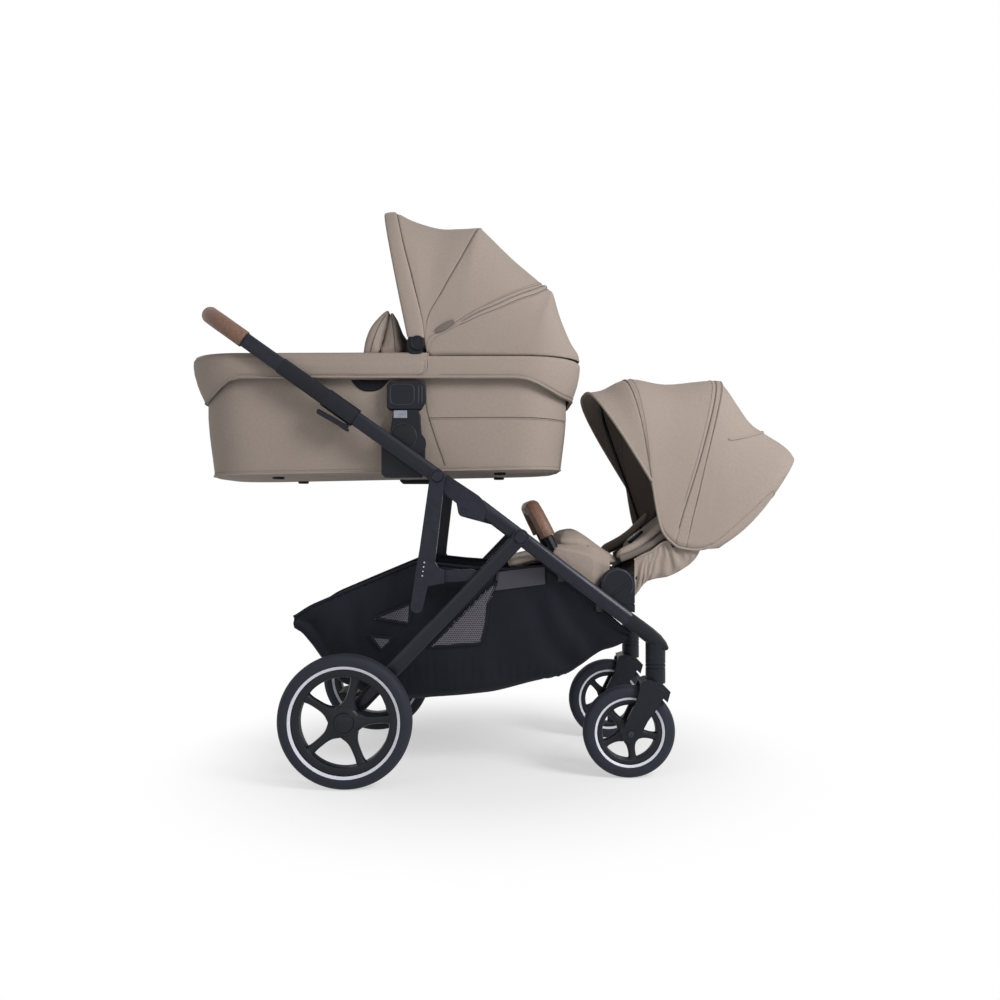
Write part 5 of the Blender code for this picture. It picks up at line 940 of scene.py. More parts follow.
def upper_point(reach, rise=0.0):
    """A point in the plane of the upper tubes, as (x, z)."""
    return (BEND[0] - reach * math.cos(UPPER_SLOPE) + rise * math.sin(UPPER_SLOPE),
            BEND[1] + reach * math.sin(UPPER_SLOPE) + rise * math.cos(UPPER_SLOPE))


def back_point(reach, rise=0.0):
    """A point on the backrest line as (x, z), rise square to it."""
    return (SEAT_HUB[0] + reach * math.cos(BACK_SLOPE) - rise * math.sin(BACK_SLOPE),
            SEAT_HUB[1] + reach * math.sin(BACK_SLOPE) + rise * math.cos(BACK_SLOPE))


def seat_base(share):
    """Height of the seat cushion's underside, from the knee to the hub."""
    return 0.5105 - 0.045 * share


def hood_point(rib, turn, power):
    """A point on a hood's rib: turn 0 is the left foot, pi the right one."""
    base_x, half, base_z, crown_x, crown_z = rib
    c, s = math.cos(turn), max(math.sin(turn), 0.0)
    y = half * math.copysign(abs(c) ** (2 / power), c)
    rise = s ** (2 / power)
    return Vector((base_x + (crown_x - base_x) * rise, y, base_z + (crown_z - base_z) * rise))


def hood_turns(count, power):
    """Turns that space a rib's points evenly along its arch."""
    fine = 400
    rib = (0.0, 0.19, 0.0, 0.0, 0.33)
    places = [hood_point(rib, math.pi * k / fine, power) for k in range(fine + 1)]
    total = [0.0]
    for a, b in zip(places, places[1:]):
        total.append(total[-1] + (b - a).length)
    turns = []
    k = 0
    for n in range(count):
        goal = total[-1] * n / (count - 1)
        while k < fine - 1 and total[k + 1] < goal:
            k += 1
        share = (goal - total[k]) / max(total[k + 1] - total[k], 1e-9)
        turns.append(math.pi * (k + min(max(share, 0.0), 1.0)) / fine)
    return turns


class Hood:
    """A hood's cloth as one continuous sheet over its ribs, with rows that follow its seams.

    A seam is (row, depth, width, course): the course gives, for shares of the rise, the rib it lies on."""

    def __init__(self, ribs, power, seams=(), columns=61, per_rib=5, sharp=(), billow=0.0):
        self.ribs = [Vector((x, half, z)) for x, half, z, _, _ in ribs]
        self.crowns = [Vector((x, z, 0.0)) for _, _, _, x, z in ribs]
        self.power = power
        self.seams = seams
        self.turns = hood_turns(columns, power)
        self.sharp = sharp
        self.billow = billow
        self.last = len(ribs) - 1
        base = [n / per_rib for n in range(self.last * per_rib + 1)]
        self.places = refine(base, [seam[0] for seam in seams], (0.03, 0.07, 0.13))

    def rise(self, turn):
        """How far up its rib a turn lies, 0 to 1."""
        return max(math.sin(turn), 0.0) ** (2 / self.power)

    def place(self, row, turn):
        """The rib under a row at a turn: rows bend towards the seams' courses."""
        rise = self.rise(turn)
        marks = [(0.0, 0.0)]
        for seam in self.seams:
            if seam[3]:
                marks.append((seam[0], spline(seam[3], rise)))
        marks.append((float(self.last), float(self.last)))
        low, low_rib = marks[0]
        for high, high_rib in marks[1:]:
            high_rib = max(high_rib, low_rib + 0.02)
            if row <= high:
                return low_rib + (high_rib - low_rib) * (row - low) / (high - low)
            low, low_rib = high, high_rib
        return float(self.last)

    def rib(self, place):
        """The rib between the given ones."""
        base = through(self.ribs, place, self.sharp)
        crown = through(self.crowns, place, self.sharp)
        return (base[0], base[1], base[2], crown[0], crown[1])

    def plain(self, row, turn):
        """A point of the smooth cloth."""
        return hood_point(self.rib(self.place(row, turn)), turn, self.power)

    def normal(self, row, turn):
        """The cloth's outward direction."""
        step = 0.02
        down = self.plain(min(row + step, self.last), turn) - self.plain(max(row - step, 0.0), turn)
        across = self.plain(row, min(turn + step, math.pi)) - self.plain(row, max(turn - step, 0.0))
        normal = across.cross(down)
        if normal.length < 1e-9:
            return Vector((0, 0, 1))
        normal.normalize()
        rib = self.rib(self.place(row, turn))
        if normal.dot(self.plain(row, turn) - Vector((rib[0], 0.0, rib[2]))) < 0:
            normal.negate()
        return normal

    def point(self, row, turn, lift=0.0):
        """A point of the cloth with its seams pressed in and its soft folds."""
        point = self.plain(row, turn)
        depth = lift
        for seam, amount, width, _ in self.seams:
            depth -= amount * math.exp(-((row - seam) / width) ** 2)
        edge = min(math.sin(turn) * 3.0, 1.0)
        near = min([abs(row - seam[0]) for seam in self.seams] + [1.0])
        span = min(near / 0.5, 1.0)
        fold = noise.noise(Vector((point.x * 9.0, point.y * 5.0, point.z * 7.0)))
        fine = noise.noise(Vector((point.x * 26.0 + 3.0, point.y * 9.0, point.z * 22.0)))
        depth += self.billow * (fold * 0.75 + fine * 0.25) * edge * span
        return point + self.normal(row, turn) * depth

    def rows(self):
        return [[self.point(row, turn) for turn in self.turns] for row in self.places]

    def line(self, row, lift=0.0, low=0.0, high=math.pi, count=90):
        """A line across the hood along a row."""
        turns = [t for t in hood_turns(count, self.power) if low <= t <= high]
        return [self.point(row, turn, lift) for turn in turns]

    def strip(self, name, first, last, thickness, finish, lift=0.0, low=0.0, count=90, flat=2.6):
        """A flat padded strip on the cloth between two rows."""
        rows = []
        for turn in hood_turns(count, self.power):
            if not low <= turn <= math.pi - low:
                continue
            a, b = self.point(first, turn), self.point(last, turn)
            middle, half = (a + b) / 2, (b - a) / 2
            up = self.normal((first + last) / 2, turn)
            rows.append([middle + half * p + up * (lift + thickness / 2 * q) for p, q in oval(1.0, 1.0, 18, flat)])
        return tube_of(name, rows, finish)


def tube_of(name, rows, finish, sharp=60.0):
    """A closed body through rings of points, with a UV map in metres."""
    flat = [p for row in rows for p in row]
    uvs = ring_uvs(rows, [row[0] for row in rows])
    return outward(add_object(name, mesh_from(name, flat, tube_faces(rows), uvs, sharp), finish))


def offset_line(points, across):
    """A line moved sideways by a vector."""
    return [p + across for p in points]


def puff(name, source, finish, pressure, cell, cap):
    """A stuffed piece from a closed hull: cloth simulated under pressure and held near the hull."""
    piece = add_object(name, source, finish)
    remesh = piece.modifiers.new("remesh", "REMESH")
    remesh.mode = "VOXEL"
    remesh.voxel_size = cell
    baked(piece)
    rest = [v.co.copy() for v in piece.data.vertices]
    if pressure > 0:
        cloth = piece.modifiers.new("cloth", "CLOTH")
        cloth.settings.use_pressure = True
        cloth.settings.uniform_pressure_force = pressure
        cloth.settings.effector_weights.gravity = 0.0
        cloth.settings.quality = 6
        cloth.settings.mass = 0.2
        cloth.settings.tension_stiffness = 12
        cloth.settings.compression_stiffness = 12
        cloth.settings.shear_stiffness = 4
        cloth.settings.bending_stiffness = 0.4
        cloth.collision_settings.use_collision = False
        cloth.point_cache.frame_start = 1
        cloth.point_cache.frame_end = 16
        scene = bpy.context.scene
        for number in range(1, 17):
            scene.frame_set(number)
        baked(piece)
        scene.frame_set(1)
        for vertex, was in zip(piece.data.vertices, rest):
            move = vertex.co - was
            if move.length > cap:
                vertex.co = was + move * (cap / move.length)
    smooth = piece.modifiers.new("smooth", "SMOOTH")
    smooth.iterations = 2
    smooth.factor = 0.5
    baked(piece)
    piece.data.shade_smooth()
    piece.data.materials.clear()
    piece.data.materials.append(finish_of(finish))
    return outward(piece)


def laid(target, points, lift):
    """Points moved onto a piece's surface."""
    out = []
    for point in points:
        hit, place, normal, _ = target.closest_point_on_mesh(point)
        out.append(place + normal * lift if hit else point)
    return out


def hull_mesh(name, rings):
    """A closed hull through rings of equal length."""
    mesh = bpy.data.meshes.new(name)
    mesh.from_pydata([tuple(p) for ring in rings for p in ring], [], tube_faces(rings))
    if volume_of(mesh) < 0:
        mesh.flip_normals()
    return mesh


def oval(half_a, half_b, count, power):
    """A rounded box section as (a, b) pairs."""
    ring = []
    for k in range(count):
        turn = math.tau * k / count
        c, s = math.cos(turn), math.sin(turn)
        ring.append((half_a * math.copysign(abs(c) ** (2 / power), c),
                     half_b * math.copysign(abs(s) ** (2 / power), s)))
    return ring


def sampled(stations, count):
    """Stations of equal length tuples, filled in between."""
    out = []
    last = len(stations) - 1
    for k in range(count):
        place = last * k / (count - 1)
        i = min(int(place), last - 1)
        t = place - i
        t = t * t * (3 - 2 * t) * 0.4 + t * 0.6
        out.append(tuple(a + (b - a) * t for a, b in zip(stations[i], stations[i + 1])))
    return out


# Chassis

COATED = ("front_tube_R", "front_tube_L", "upper_tube_R", "upper_tube_L", "handle_tube", "rear_leg_R", "rear_leg_L",
          "swing_arm_R", "swing_arm_L", "front_cross_tube", "hinge_cross_tube", "rear_axle_tube", "seat_frame",
          "backrest_frame", "cot_front_bow", "cot_mid_bow", "seat_front_bow", "seat_mid_bow")
MOULDED = ("front_knuckle_R", "front_knuckle_L", "caster_fork_R", "caster_fork_L", "height_sleeve_R",
           "height_sleeve_L", "cot_adapter_R", "cot_adapter_L", "fold_lever_R", "fold_lever_L", "brake_pedal",
           "cot_latch_R", "cot_latch_L", "seat_adapter_R", "seat_adapter_L", "seat_hub_R", "seat_hub_L",
           "bumper_bar")


class StrollerChassisFinish(bpy.types.Operator):
    """Coats the tubes and gives the moulded parts their plastic"""

    bl_idname = "stroller.chassis_finish"
    bl_label = "Chassis finish"

    def execute(self, context):
        for names, finish in ((COATED, "frame_coat"), (MOULDED, "moulded"),
                              (("adapter_button_R", "adapter_button_L"), "button_plastic")):
            for name in names:
                node = NODES[name]
                node.data.materials.clear()
                node.data.materials.append(finish_of(finish))
                modifier = node.modifiers.new("shading", "NODES")
                modifier.node_group = rounding_tree()
        return {"FINISHED"}


def screw(name, body, centre, radius, side, finish="bright_steel"):
    """A round screw head with a dimple."""
    profile = [(0.0, 0.0), (radius, 0.0), (radius, side * 0.0012), (radius * 0.8, side * 0.0018),
               (radius * 0.42, side * 0.0018), (radius * 0.36, side * 0.0008), (0.0, side * 0.0007)]
    return ride(disc(name, centre, profile, 32, finish), body)


def ring_line(x, y, z, radius, half_height=None, count=48, start=0.0, sweep=math.tau):
    """Points of a round or oval ring facing sideways."""
    high = half_height or radius
    last = count if sweep >= math.tau else count - 1
    return [Vector((x + radius * math.cos(start + sweep * k / last), y,
                    z + high * math.sin(start + sweep * k / last))) for k in range(count)]


def bar(name, body, low, high, width, depth, finish="moulded"):
    """A low rounded bar on a side face between two points."""
    path = [low.lerp(high, k / 10) for k in range(11)]
    sections = [[(a * wide, b) for a, b in oval(width / 2, depth, 16, 3.0)]
                for wide in (0.4, 0.8, 1.0, 1.0, 1.0, 1.0, 1.0, 1.0, 1.0, 0.8, 0.4)]
    return ride(section_sweep(name, path, sections, finish), body)


LEVER_BLOCK = ((0.348, 0.0030), (0.352, 0.0042), (0.375, 0.0042), (0.398, 0.0042), (0.402, 0.0030))


class StrollerSmallParts(bpy.types.Operator):
    """Screws, latch ribs, adapter discs, hub rings and lever blocks"""

    bl_idname = "stroller.small_parts"
    bl_label = "Caps and screws"

    def execute(self, context):
        for side, mark in SIDES:
            for n in range(4):
                share = n / 3
                x = (423.5 - 2.0 * share - PHOTO_MIDDLE[0]) * PHOTO_PITCH
                z = CAMERA_HEIGHT - (563 + 13.5 * share - PHOTO_MIDDLE[1]) * PHOTO_PITCH
                outer = max(abs(corner[1]) for corner in NODES[f"swing_arm_{mark}"].bound_box)
                screw(f"arm_mark_{mark}{n + 1}", "swing_arms", (x, side * (outer - 0.0004), z), 0.0016, side,
                      "reflective_ring")
            self.latch(side, mark)
            self.seat_hub(side, mark)
            self.lever(side, mark)
        return {"FINISHED"}

    def latch(self, side, mark):
        """The cot latch's raised frame and ribs, and the adapter's round boss."""
        face = side * SIDE_FACE_Y
        frame_line = [Vector((-0.199 + a, face, 0.855 + b)) for a, b in oval(0.0265, 0.0225, 48, 4.5)]
        ride(section_sweep(f"cot_latch_frame_{mark}", frame_line, round_section(0.0011, 8), "worn_plastic_and_painted_highlight",
                           closed=True), "carrycot")
        for n, x in enumerate((-0.1630, -0.1552)):
            bar(f"cot_latch_rib_{mark}{n + 1}", "carrycot", Vector((x, face, 0.834)), Vector((x, face, 0.876)), 0.0030,
                0.0010, "worn_plastic_and_painted_highlight")
        profile = [(0.0, 0.0), (0.0267, 0.0), (0.0262, side * 0.0010), (0.0250, side * 0.0014), (0.0, side * 0.0014)]
        ride(disc(f"cot_adapter_boss_{mark}", (-0.1957, side * 0.2132, 0.7615), profile, 56, "moulded"), "upper_frame")
        ride(section_sweep(f"cot_adapter_ring_{mark}", ring_line(-0.1957, side * 0.2136, 0.7615, 0.0284),
                           round_section(0.0009, 8), "worn_plastic_and_painted_highlight", closed=True), "upper_frame")

    def seat_hub(self, side, mark):
        """The seat hub's raised ring, an arc in lighter plastic painted as a highlight, and its diagonal rib."""
        face = side * SIDE_FACE_Y
        # The ring arc round the hub's upper side is lighter plastic: a painted highlight on the hub's edge
        ride(section_sweep(f"seat_hub_ring_{mark}", ring_line(0.2790, face, 0.4320, 0.0330, 0.0345, 40, -0.5, 3.4),
                           round_section(0.0016, 10), "worn_plastic_and_painted_highlight"), "seat")
        bar(f"seat_hub_rib_{mark}", "seat", Vector((0.2650, face, 0.4080)), Vector((0.3050, face, 0.4400)), 0.0080,
            0.0014)

    def lever(self, side, mark):
        """The block that the fold lever's finger part grows out of."""
        rings = []
        for reach, half in LEVER_BLOCK:
            x, z = upper_point(reach, -0.0312)
            down = upper_point(reach, -0.0312 - half)
            tall = Vector((down[0] - x, 0.0, down[1] - z))
            rings.append([Vector((x, side * 0.224 + b, z)) + tall * a for a, b in oval(1.0, 0.0100, 24, 3.6)])
        ride(tube_of(f"fold_lever_block_{mark}", rings, "moulded"), f"fold_lever_{mark}")


# Wheels

def wheel_rim(name, centre, side, width, radius, opening, hub, root, spoke, flare, first, bore):
    """A five-spoke rim: its spokes run into a round hub and widen a little at the ring."""
    flange = width / 2 - 0.005
    well = radius - 0.006
    half = [(opening, flange - 0.006), (opening + 0.0012, flange - 0.0022), (opening + 0.0040, flange - 0.0004),
            (radius - 0.0040, flange), (radius, flange - 0.0006), (radius, flange - 0.003), (well, flange - 0.003)]
    ring = lathe(name, half + [(r, -y) for r, y in reversed(half)], centre, 96, "rim_plastic")
    hub_half = width / 2 - 0.0005
    face = width * 0.30
    back = -width * 0.05
    profile = [(bore, -hub_half), (hub - 0.0012, -hub_half), (hub, -hub_half + 0.0012), (hub, back),
               (root * 0.94, back), (root * 0.94, face - 0.0030), (root * 0.88, face - 0.0004),
               (root * 0.76, face + 0.0012), (hub + 0.0016, face + 0.0030), (hub + 0.0004, hub_half - 0.0022),
               (hub - 0.0004, hub_half - 0.0004), (hub - 0.0018, hub_half), (bore, hub_half)]
    boss = lathe("hub", [(r, side * y) for r, y in profile], centre, 72, "rim_plastic")
    blades = []
    reach = opening + 0.003
    start = root * 0.80
    section = ((-1.0, 0.0), (-1.0, 0.55), (-0.72, 0.92), (-0.55, 1.0), (0.55, 1.0), (0.72, 0.92), (1.0, 0.55),
               (1.0, 0.0))
    count = 21
    for n in range(5):
        middle = first + math.tau * n / 5
        rows = []
        for k in range(count):
            step = k / (count - 1)
            r = start + (reach - start) * step
            joint = math.exp(-max(r - root, 0.0) / (0.22 * root))
            wide = spoke / 2 + (root * math.sin(math.pi / 5) - spoke / 2) * joint
            wide += flare * max(0.0, (r - opening * 0.83) / (opening * 0.17)) ** 2
            spread = min(math.asin(min(0.93, wide / r)), math.pi / 5 - 0.01)
            dish = width * 0.05 * math.sin(math.pi * step)
            row = []
            for share, depth in section:
                angle = middle + spread * share
                y = side * (back + (face - back) * depth - dish * (depth > 0.1))
                row.append(Vector((centre[0] + r * math.cos(angle), centre[1] + y, centre[2] + r * math.sin(angle))))
            rows.append(row)
        flat = [p for row in rows for p in row]
        blade = mesh_from("spoke", flat, tube_faces(rows), None, 38.0)
        blades.append(outward(add_object("spoke", blade, "rim_plastic")))
    return joined(name, [ring, boss] + blades)


def wheel_tyre(name, centre, width, radius, rim):
    """A tyre with a rounded side wall and two grooves in its tread."""
    flange = width / 2 - 0.005
    well = rim - 0.006
    wall = ((0.0, flange + 0.0005), (0.12, width * 0.452), (0.25, width * 0.488), (0.38, width * 0.5),
            (0.60, width * 0.487), (0.75, width * 0.45), (0.88, width * 0.372), (0.96, width * 0.27),
            (1.0, width * 0.18))
    half = [(well + 0.0003, flange - 0.0033), (rim + 0.0003, flange - 0.0033)]
    half += [(rim + 0.0003 + (radius - rim - 0.0003) * s, spline(wall, s)) for s, _ in wall]
    half += [(radius, width * 0.13), (radius - 0.0014, width * 0.12), (radius - 0.0014, width * 0.085),
             (radius, width * 0.075)]
    profile = half + [(r, -y) for r, y in reversed(half)]
    return lathe(name, profile, centre, 112, "rubber", 30.0)


def tyre_ring(name, centre, side, low, high, foot, top):
    """The reflective ring laid on a tyre's side wall."""
    lift = 0.0007
    profile = [(low, side * (foot - 0.0006)), (low, side * (foot + lift)),
               ((low + high) / 2, side * ((foot + top) / 2 + lift * 1.5)), (high, side * (top + lift)),
               (high, side * (top - 0.0006))]
    return lathe(name, profile, centre, 112, "reflective_ring", 40.0)


class StrollerWheels(bpy.types.Operator):
    """Tyres, spoked rims and reflective rings of the four wheels"""

    bl_idname = "stroller.wheels"
    bl_label = "Wheels"

    def execute(self, context):
        chassis = context.scene.stroller_chassis
        for side, mark in SIDES:
            centre = (REAR_AXLE[0], side * REAR_TRACK, REAR_AXLE[1])
            body = f"rear_wheel_{mark}"
            ride(wheel_rim(f"rear_wheel_rim_{mark}", centre, side, REAR_WIDTH, REAR_RIM, 0.0965, 0.0205, 0.036,
                           0.0176, 0.0025, math.radians(76), 0.0064), body, f"rear_rim_{mark}", slot="rim")
            ride(wheel_tyre(f"rear_wheel_tyre_{mark}", centre, REAR_WIDTH, REAR_AXLE[1], REAR_RIM), body,
                 f"rear_tyre_{mark}", slot="tyre")
            low = 0.1143
            high = low + chassis.ring_width
            for face in (-1, 1):
                end = "out" if face == side else "in"
                ride(tyre_ring(f"rear_ring_{mark}_{end}", centre, face, low, high, 0.0170, 0.0199), body)
            ride(disc(f"rear_hub_cap_{mark}", (centre[0], centre[1] + side * 0.0205, centre[2]),
                      [(0.0, -side * 0.003), (0.0062, -side * 0.003), (0.0062, 0.0), (0.0150, 0.0),
                       (0.0150, side * 0.0008),
                       (0.0135, side * 0.0018), (0.0, side * 0.0022)], 48, "rim_plastic"), body)
            centre = (FRONT_AXLE[0], side * FRONT_TRACK, FRONT_AXLE[1])
            body = f"front_wheel_{mark}"
            ride(wheel_rim(f"front_wheel_rim_{mark}", centre, side, FRONT_WIDTH, FRONT_RIM, 0.0600, 0.0150, 0.026,
                           0.0156, 0.0020, math.radians(62), 0.0054), body, f"front_rim_{mark}", slot="rim")
            ride(wheel_tyre(f"front_wheel_tyre_{mark}", centre, FRONT_WIDTH, FRONT_AXLE[1], FRONT_RIM), body,
                 f"front_tyre_{mark}", slot="tyre")
            for face in (-1, 1):
                end = "out" if face == side else "in"
                ride(tyre_ring(f"front_ring_{mark}_{end}", centre, face, 0.0727, 0.0780, 0.0140, 0.0166), body)
            screw(f"fork_screw_{mark}", f"caster_{mark}", (centre[0], side * 0.2178, centre[2]), 0.0065, side,
                  "worn_plastic_and_painted_highlight")
        return {"FINISHED"}


# Grips

def grip_rows(path, up, half_width, half_height, count, wrinkle):
    """Rings of points around a path, with the leather's slight unevenness."""
    rows = []
    total = len(path)
    for i, point in enumerate(path):
        before, after = path[max(i - 1, 0)], path[min(i + 1, total - 1)]
        across = (after - before).normalized().cross(up).normalized()
        top = across.cross((after - before).normalized()).normalized()
        row = []
        for k in range(count):
            turn = math.tau * k / count
            swell = 1.0 + wrinkle * noise.noise(Vector((i * 0.21, math.cos(turn) * 0.8, math.sin(turn) * 0.8)))
            row.append(point + top * (half_height * swell * math.cos(turn))
                       + across * (half_width * swell * math.sin(turn)))
        rows.append(row)
    return rows


def smooth_path(points, spacing):
    """A path resampled evenly through its points."""
    dense = []
    last = len(points) - 1
    for i in range(last * 12 + 1):
        dense.append(through(points, i / 12))
    total = [0.0]
    for a, b in zip(dense, dense[1:]):
        total.append(total[-1] + (b - a).length)
    count = max(2, round(total[-1] / spacing))
    out = []
    k = 0
    for n in range(count + 1):
        goal = total[-1] * n / count
        while k < len(dense) - 2 and total[k + 1] < goal:
            k += 1
        share = (goal - total[k]) / max(total[k + 1] - total[k], 1e-9)
        out.append(dense[k].lerp(dense[k + 1], min(max(share, 0.0), 1.0)))
    return out


def sleeve(name, path, up, outer, inner, finish):
    """A tube of leather over a bar: outer and inner are (half width, half height)."""
    count = 28
    rows = grip_rows(path, up, outer[0], outer[1], count, 0.012)
    first = grip_rows(path[:2], up, outer[0] * 0.93, outer[1] * 0.93, count, 0.0)[0]
    last = grip_rows(path[-2:], up, outer[0] * 0.93, outer[1] * 0.93, count, 0.0)[-1]
    begin = (path[1] - path[0]).normalized() * 0.0012
    finish_step = (path[-1] - path[-2]).normalized() * 0.0012
    rows[0] = [p + begin for p in rows[0]]
    rows[-1] = [p - finish_step for p in rows[-1]]
    inside = grip_rows(path, up, inner[0], inner[1], count, 0.0)
    rows = [first] + rows + [last] + inside[::-1]
    flat = [p for row in rows for p in row]
    faces = grid_faces(len(rows), count, wrap_columns=True, wrap_rows=True)
    uvs = []
    for i, row in enumerate(rows):
        for k in range(count):
            uvs.append((k / count, i * 0.006))
    return outward(add_object(name, mesh_from(name, flat, faces, uvs, 60.0), finish))


class StrollerGrips(bpy.types.Operator):
    """Leatherette sleeves on the handle and the bumper bar, with their seams"""

    bl_idname = "stroller.grips"
    bl_label = "Grips"

    def execute(self, context):
        up = Vector((math.sin(UPPER_SLOPE), 0.0, math.cos(UPPER_SLOPE)))
        half = [(0.650, TUBE_Y), (0.668, TUBE_Y)]
        for n in range(9):
            turn = math.pi / 2 * n / 8
            half.append((0.762 - 0.075 + 0.075 * math.sin(turn), TUBE_Y - 0.075 + 0.075 * math.cos(turn)))
        flat = [(reach, -y) for reach, y in half] + [(reach, y) for reach, y in reversed(half)]
        path = []
        for reach, y in flat:
            x, z = upper_point(reach)
            path.append(Vector((x, y, z)))
        path = smooth_path(path, 0.006)
        grip = sleeve("handle_grip_leather", path, up, (0.0193, 0.0193), (0.0104, 0.0174), "leatherette")
        ride(grip, "handle", "handle_grip", slot="leatherette")
        line = []
        for k, point in enumerate(path[1:-1], 1):
            along = (path[k + 1] - path[k - 1]).normalized()
            across = along.cross(up).normalized()
            line.append(point + (across * -0.6 - up * 0.8) * 0.0195)
        ride(stitches("handle_grip_stitches", [offset_line(line, Vector((0, 0, 0.0012))), line], "grip_thread",
                      0.0060, 0.0040, 0.0005), "handle")
        rise = Vector((0.0935 - 0.168, 0.0, 0.605 - 0.4536))
        length = rise.length
        along = rise / length
        base = Vector((0.168, 0.0, 0.4536))
        corner = 0.060
        half = [(length - corner - 0.012, 0.185)]
        for n in range(9):
            turn = math.pi / 2 * n / 8
            half.append((length - corner + corner * math.sin(turn), 0.185 - corner + corner * math.cos(turn)))
        path = [base + along * reach + Vector((0, -y, 0)) for reach, y in half]
        path += [base + along * reach + Vector((0, y, 0)) for reach, y in reversed(half)]
        path = smooth_path(path, 0.006)
        side = Vector((0, 1, 0)).cross(along).normalized()
        grip = sleeve("bumper_leather", path, side, (0.0172, 0.0172), (0.0103, 0.0103), "leatherette")
        ride(grip, "bumper", "bumper_grip", slot="leatherette")
        line = []
        for k, point in enumerate(path[1:-1], 1):
            run = (path[k + 1] - path[k - 1]).normalized()
            across = run.cross(side).normalized()
            line.append(point - (across * 0.9 + side * 0.35).normalized() * 0.0174)
        ride(stitches("bumper_stitches", [line], "grip_thread", 0.0060, 0.0040, 0.0005), "bumper")
        return {"FINISHED"}


# Carrycot

BAND_TUCK = 0.030
TUB_LOW = -0.667
TUB_HIGH = 0.175
TUB_HALF = 0.187
TUB_CORNER = 0.115
TUB_RIM = 0.9357
TUB_INSETS = ((0.0, 0.0270), (0.025, 0.0175), (0.065, 0.0125), (0.30, 0.0085), (0.70, 0.0028), (1.0, 0.0))


def tub_height(share):
    """Height on the tub's side as a function of x: share 0 is the floor, 1 the widest line."""
    return lambda x: cot_floor(x) + (0.812 - cot_floor(x)) * share


def tub_side(x, z, side, lift=0.0):
    """A point on the tub's outside."""
    share = min(max((z - cot_floor(x)) / (0.812 - cot_floor(x)), 0.0), 1.0)
    inset = spline(TUB_INSETS, share) if share < 1 else 0.0
    y = outline_y(x, TUB_LOW + inset, TUB_HIGH - inset, TUB_HALF - inset, TUB_CORNER)
    return Vector((x, side * (y + lift), z))


def tub_ring(share, lift=0.0):
    """A ring around the tub's outside."""
    inset = spline(TUB_INSETS, share) - lift
    corner = TUB_CORNER - 0.02 * step_blend(0.12 - share, 0.0, 0.12)
    return plan_ring(TUB_LOW + inset, TUB_HIGH - inset, TUB_HALF - inset, corner, tub_height(share))


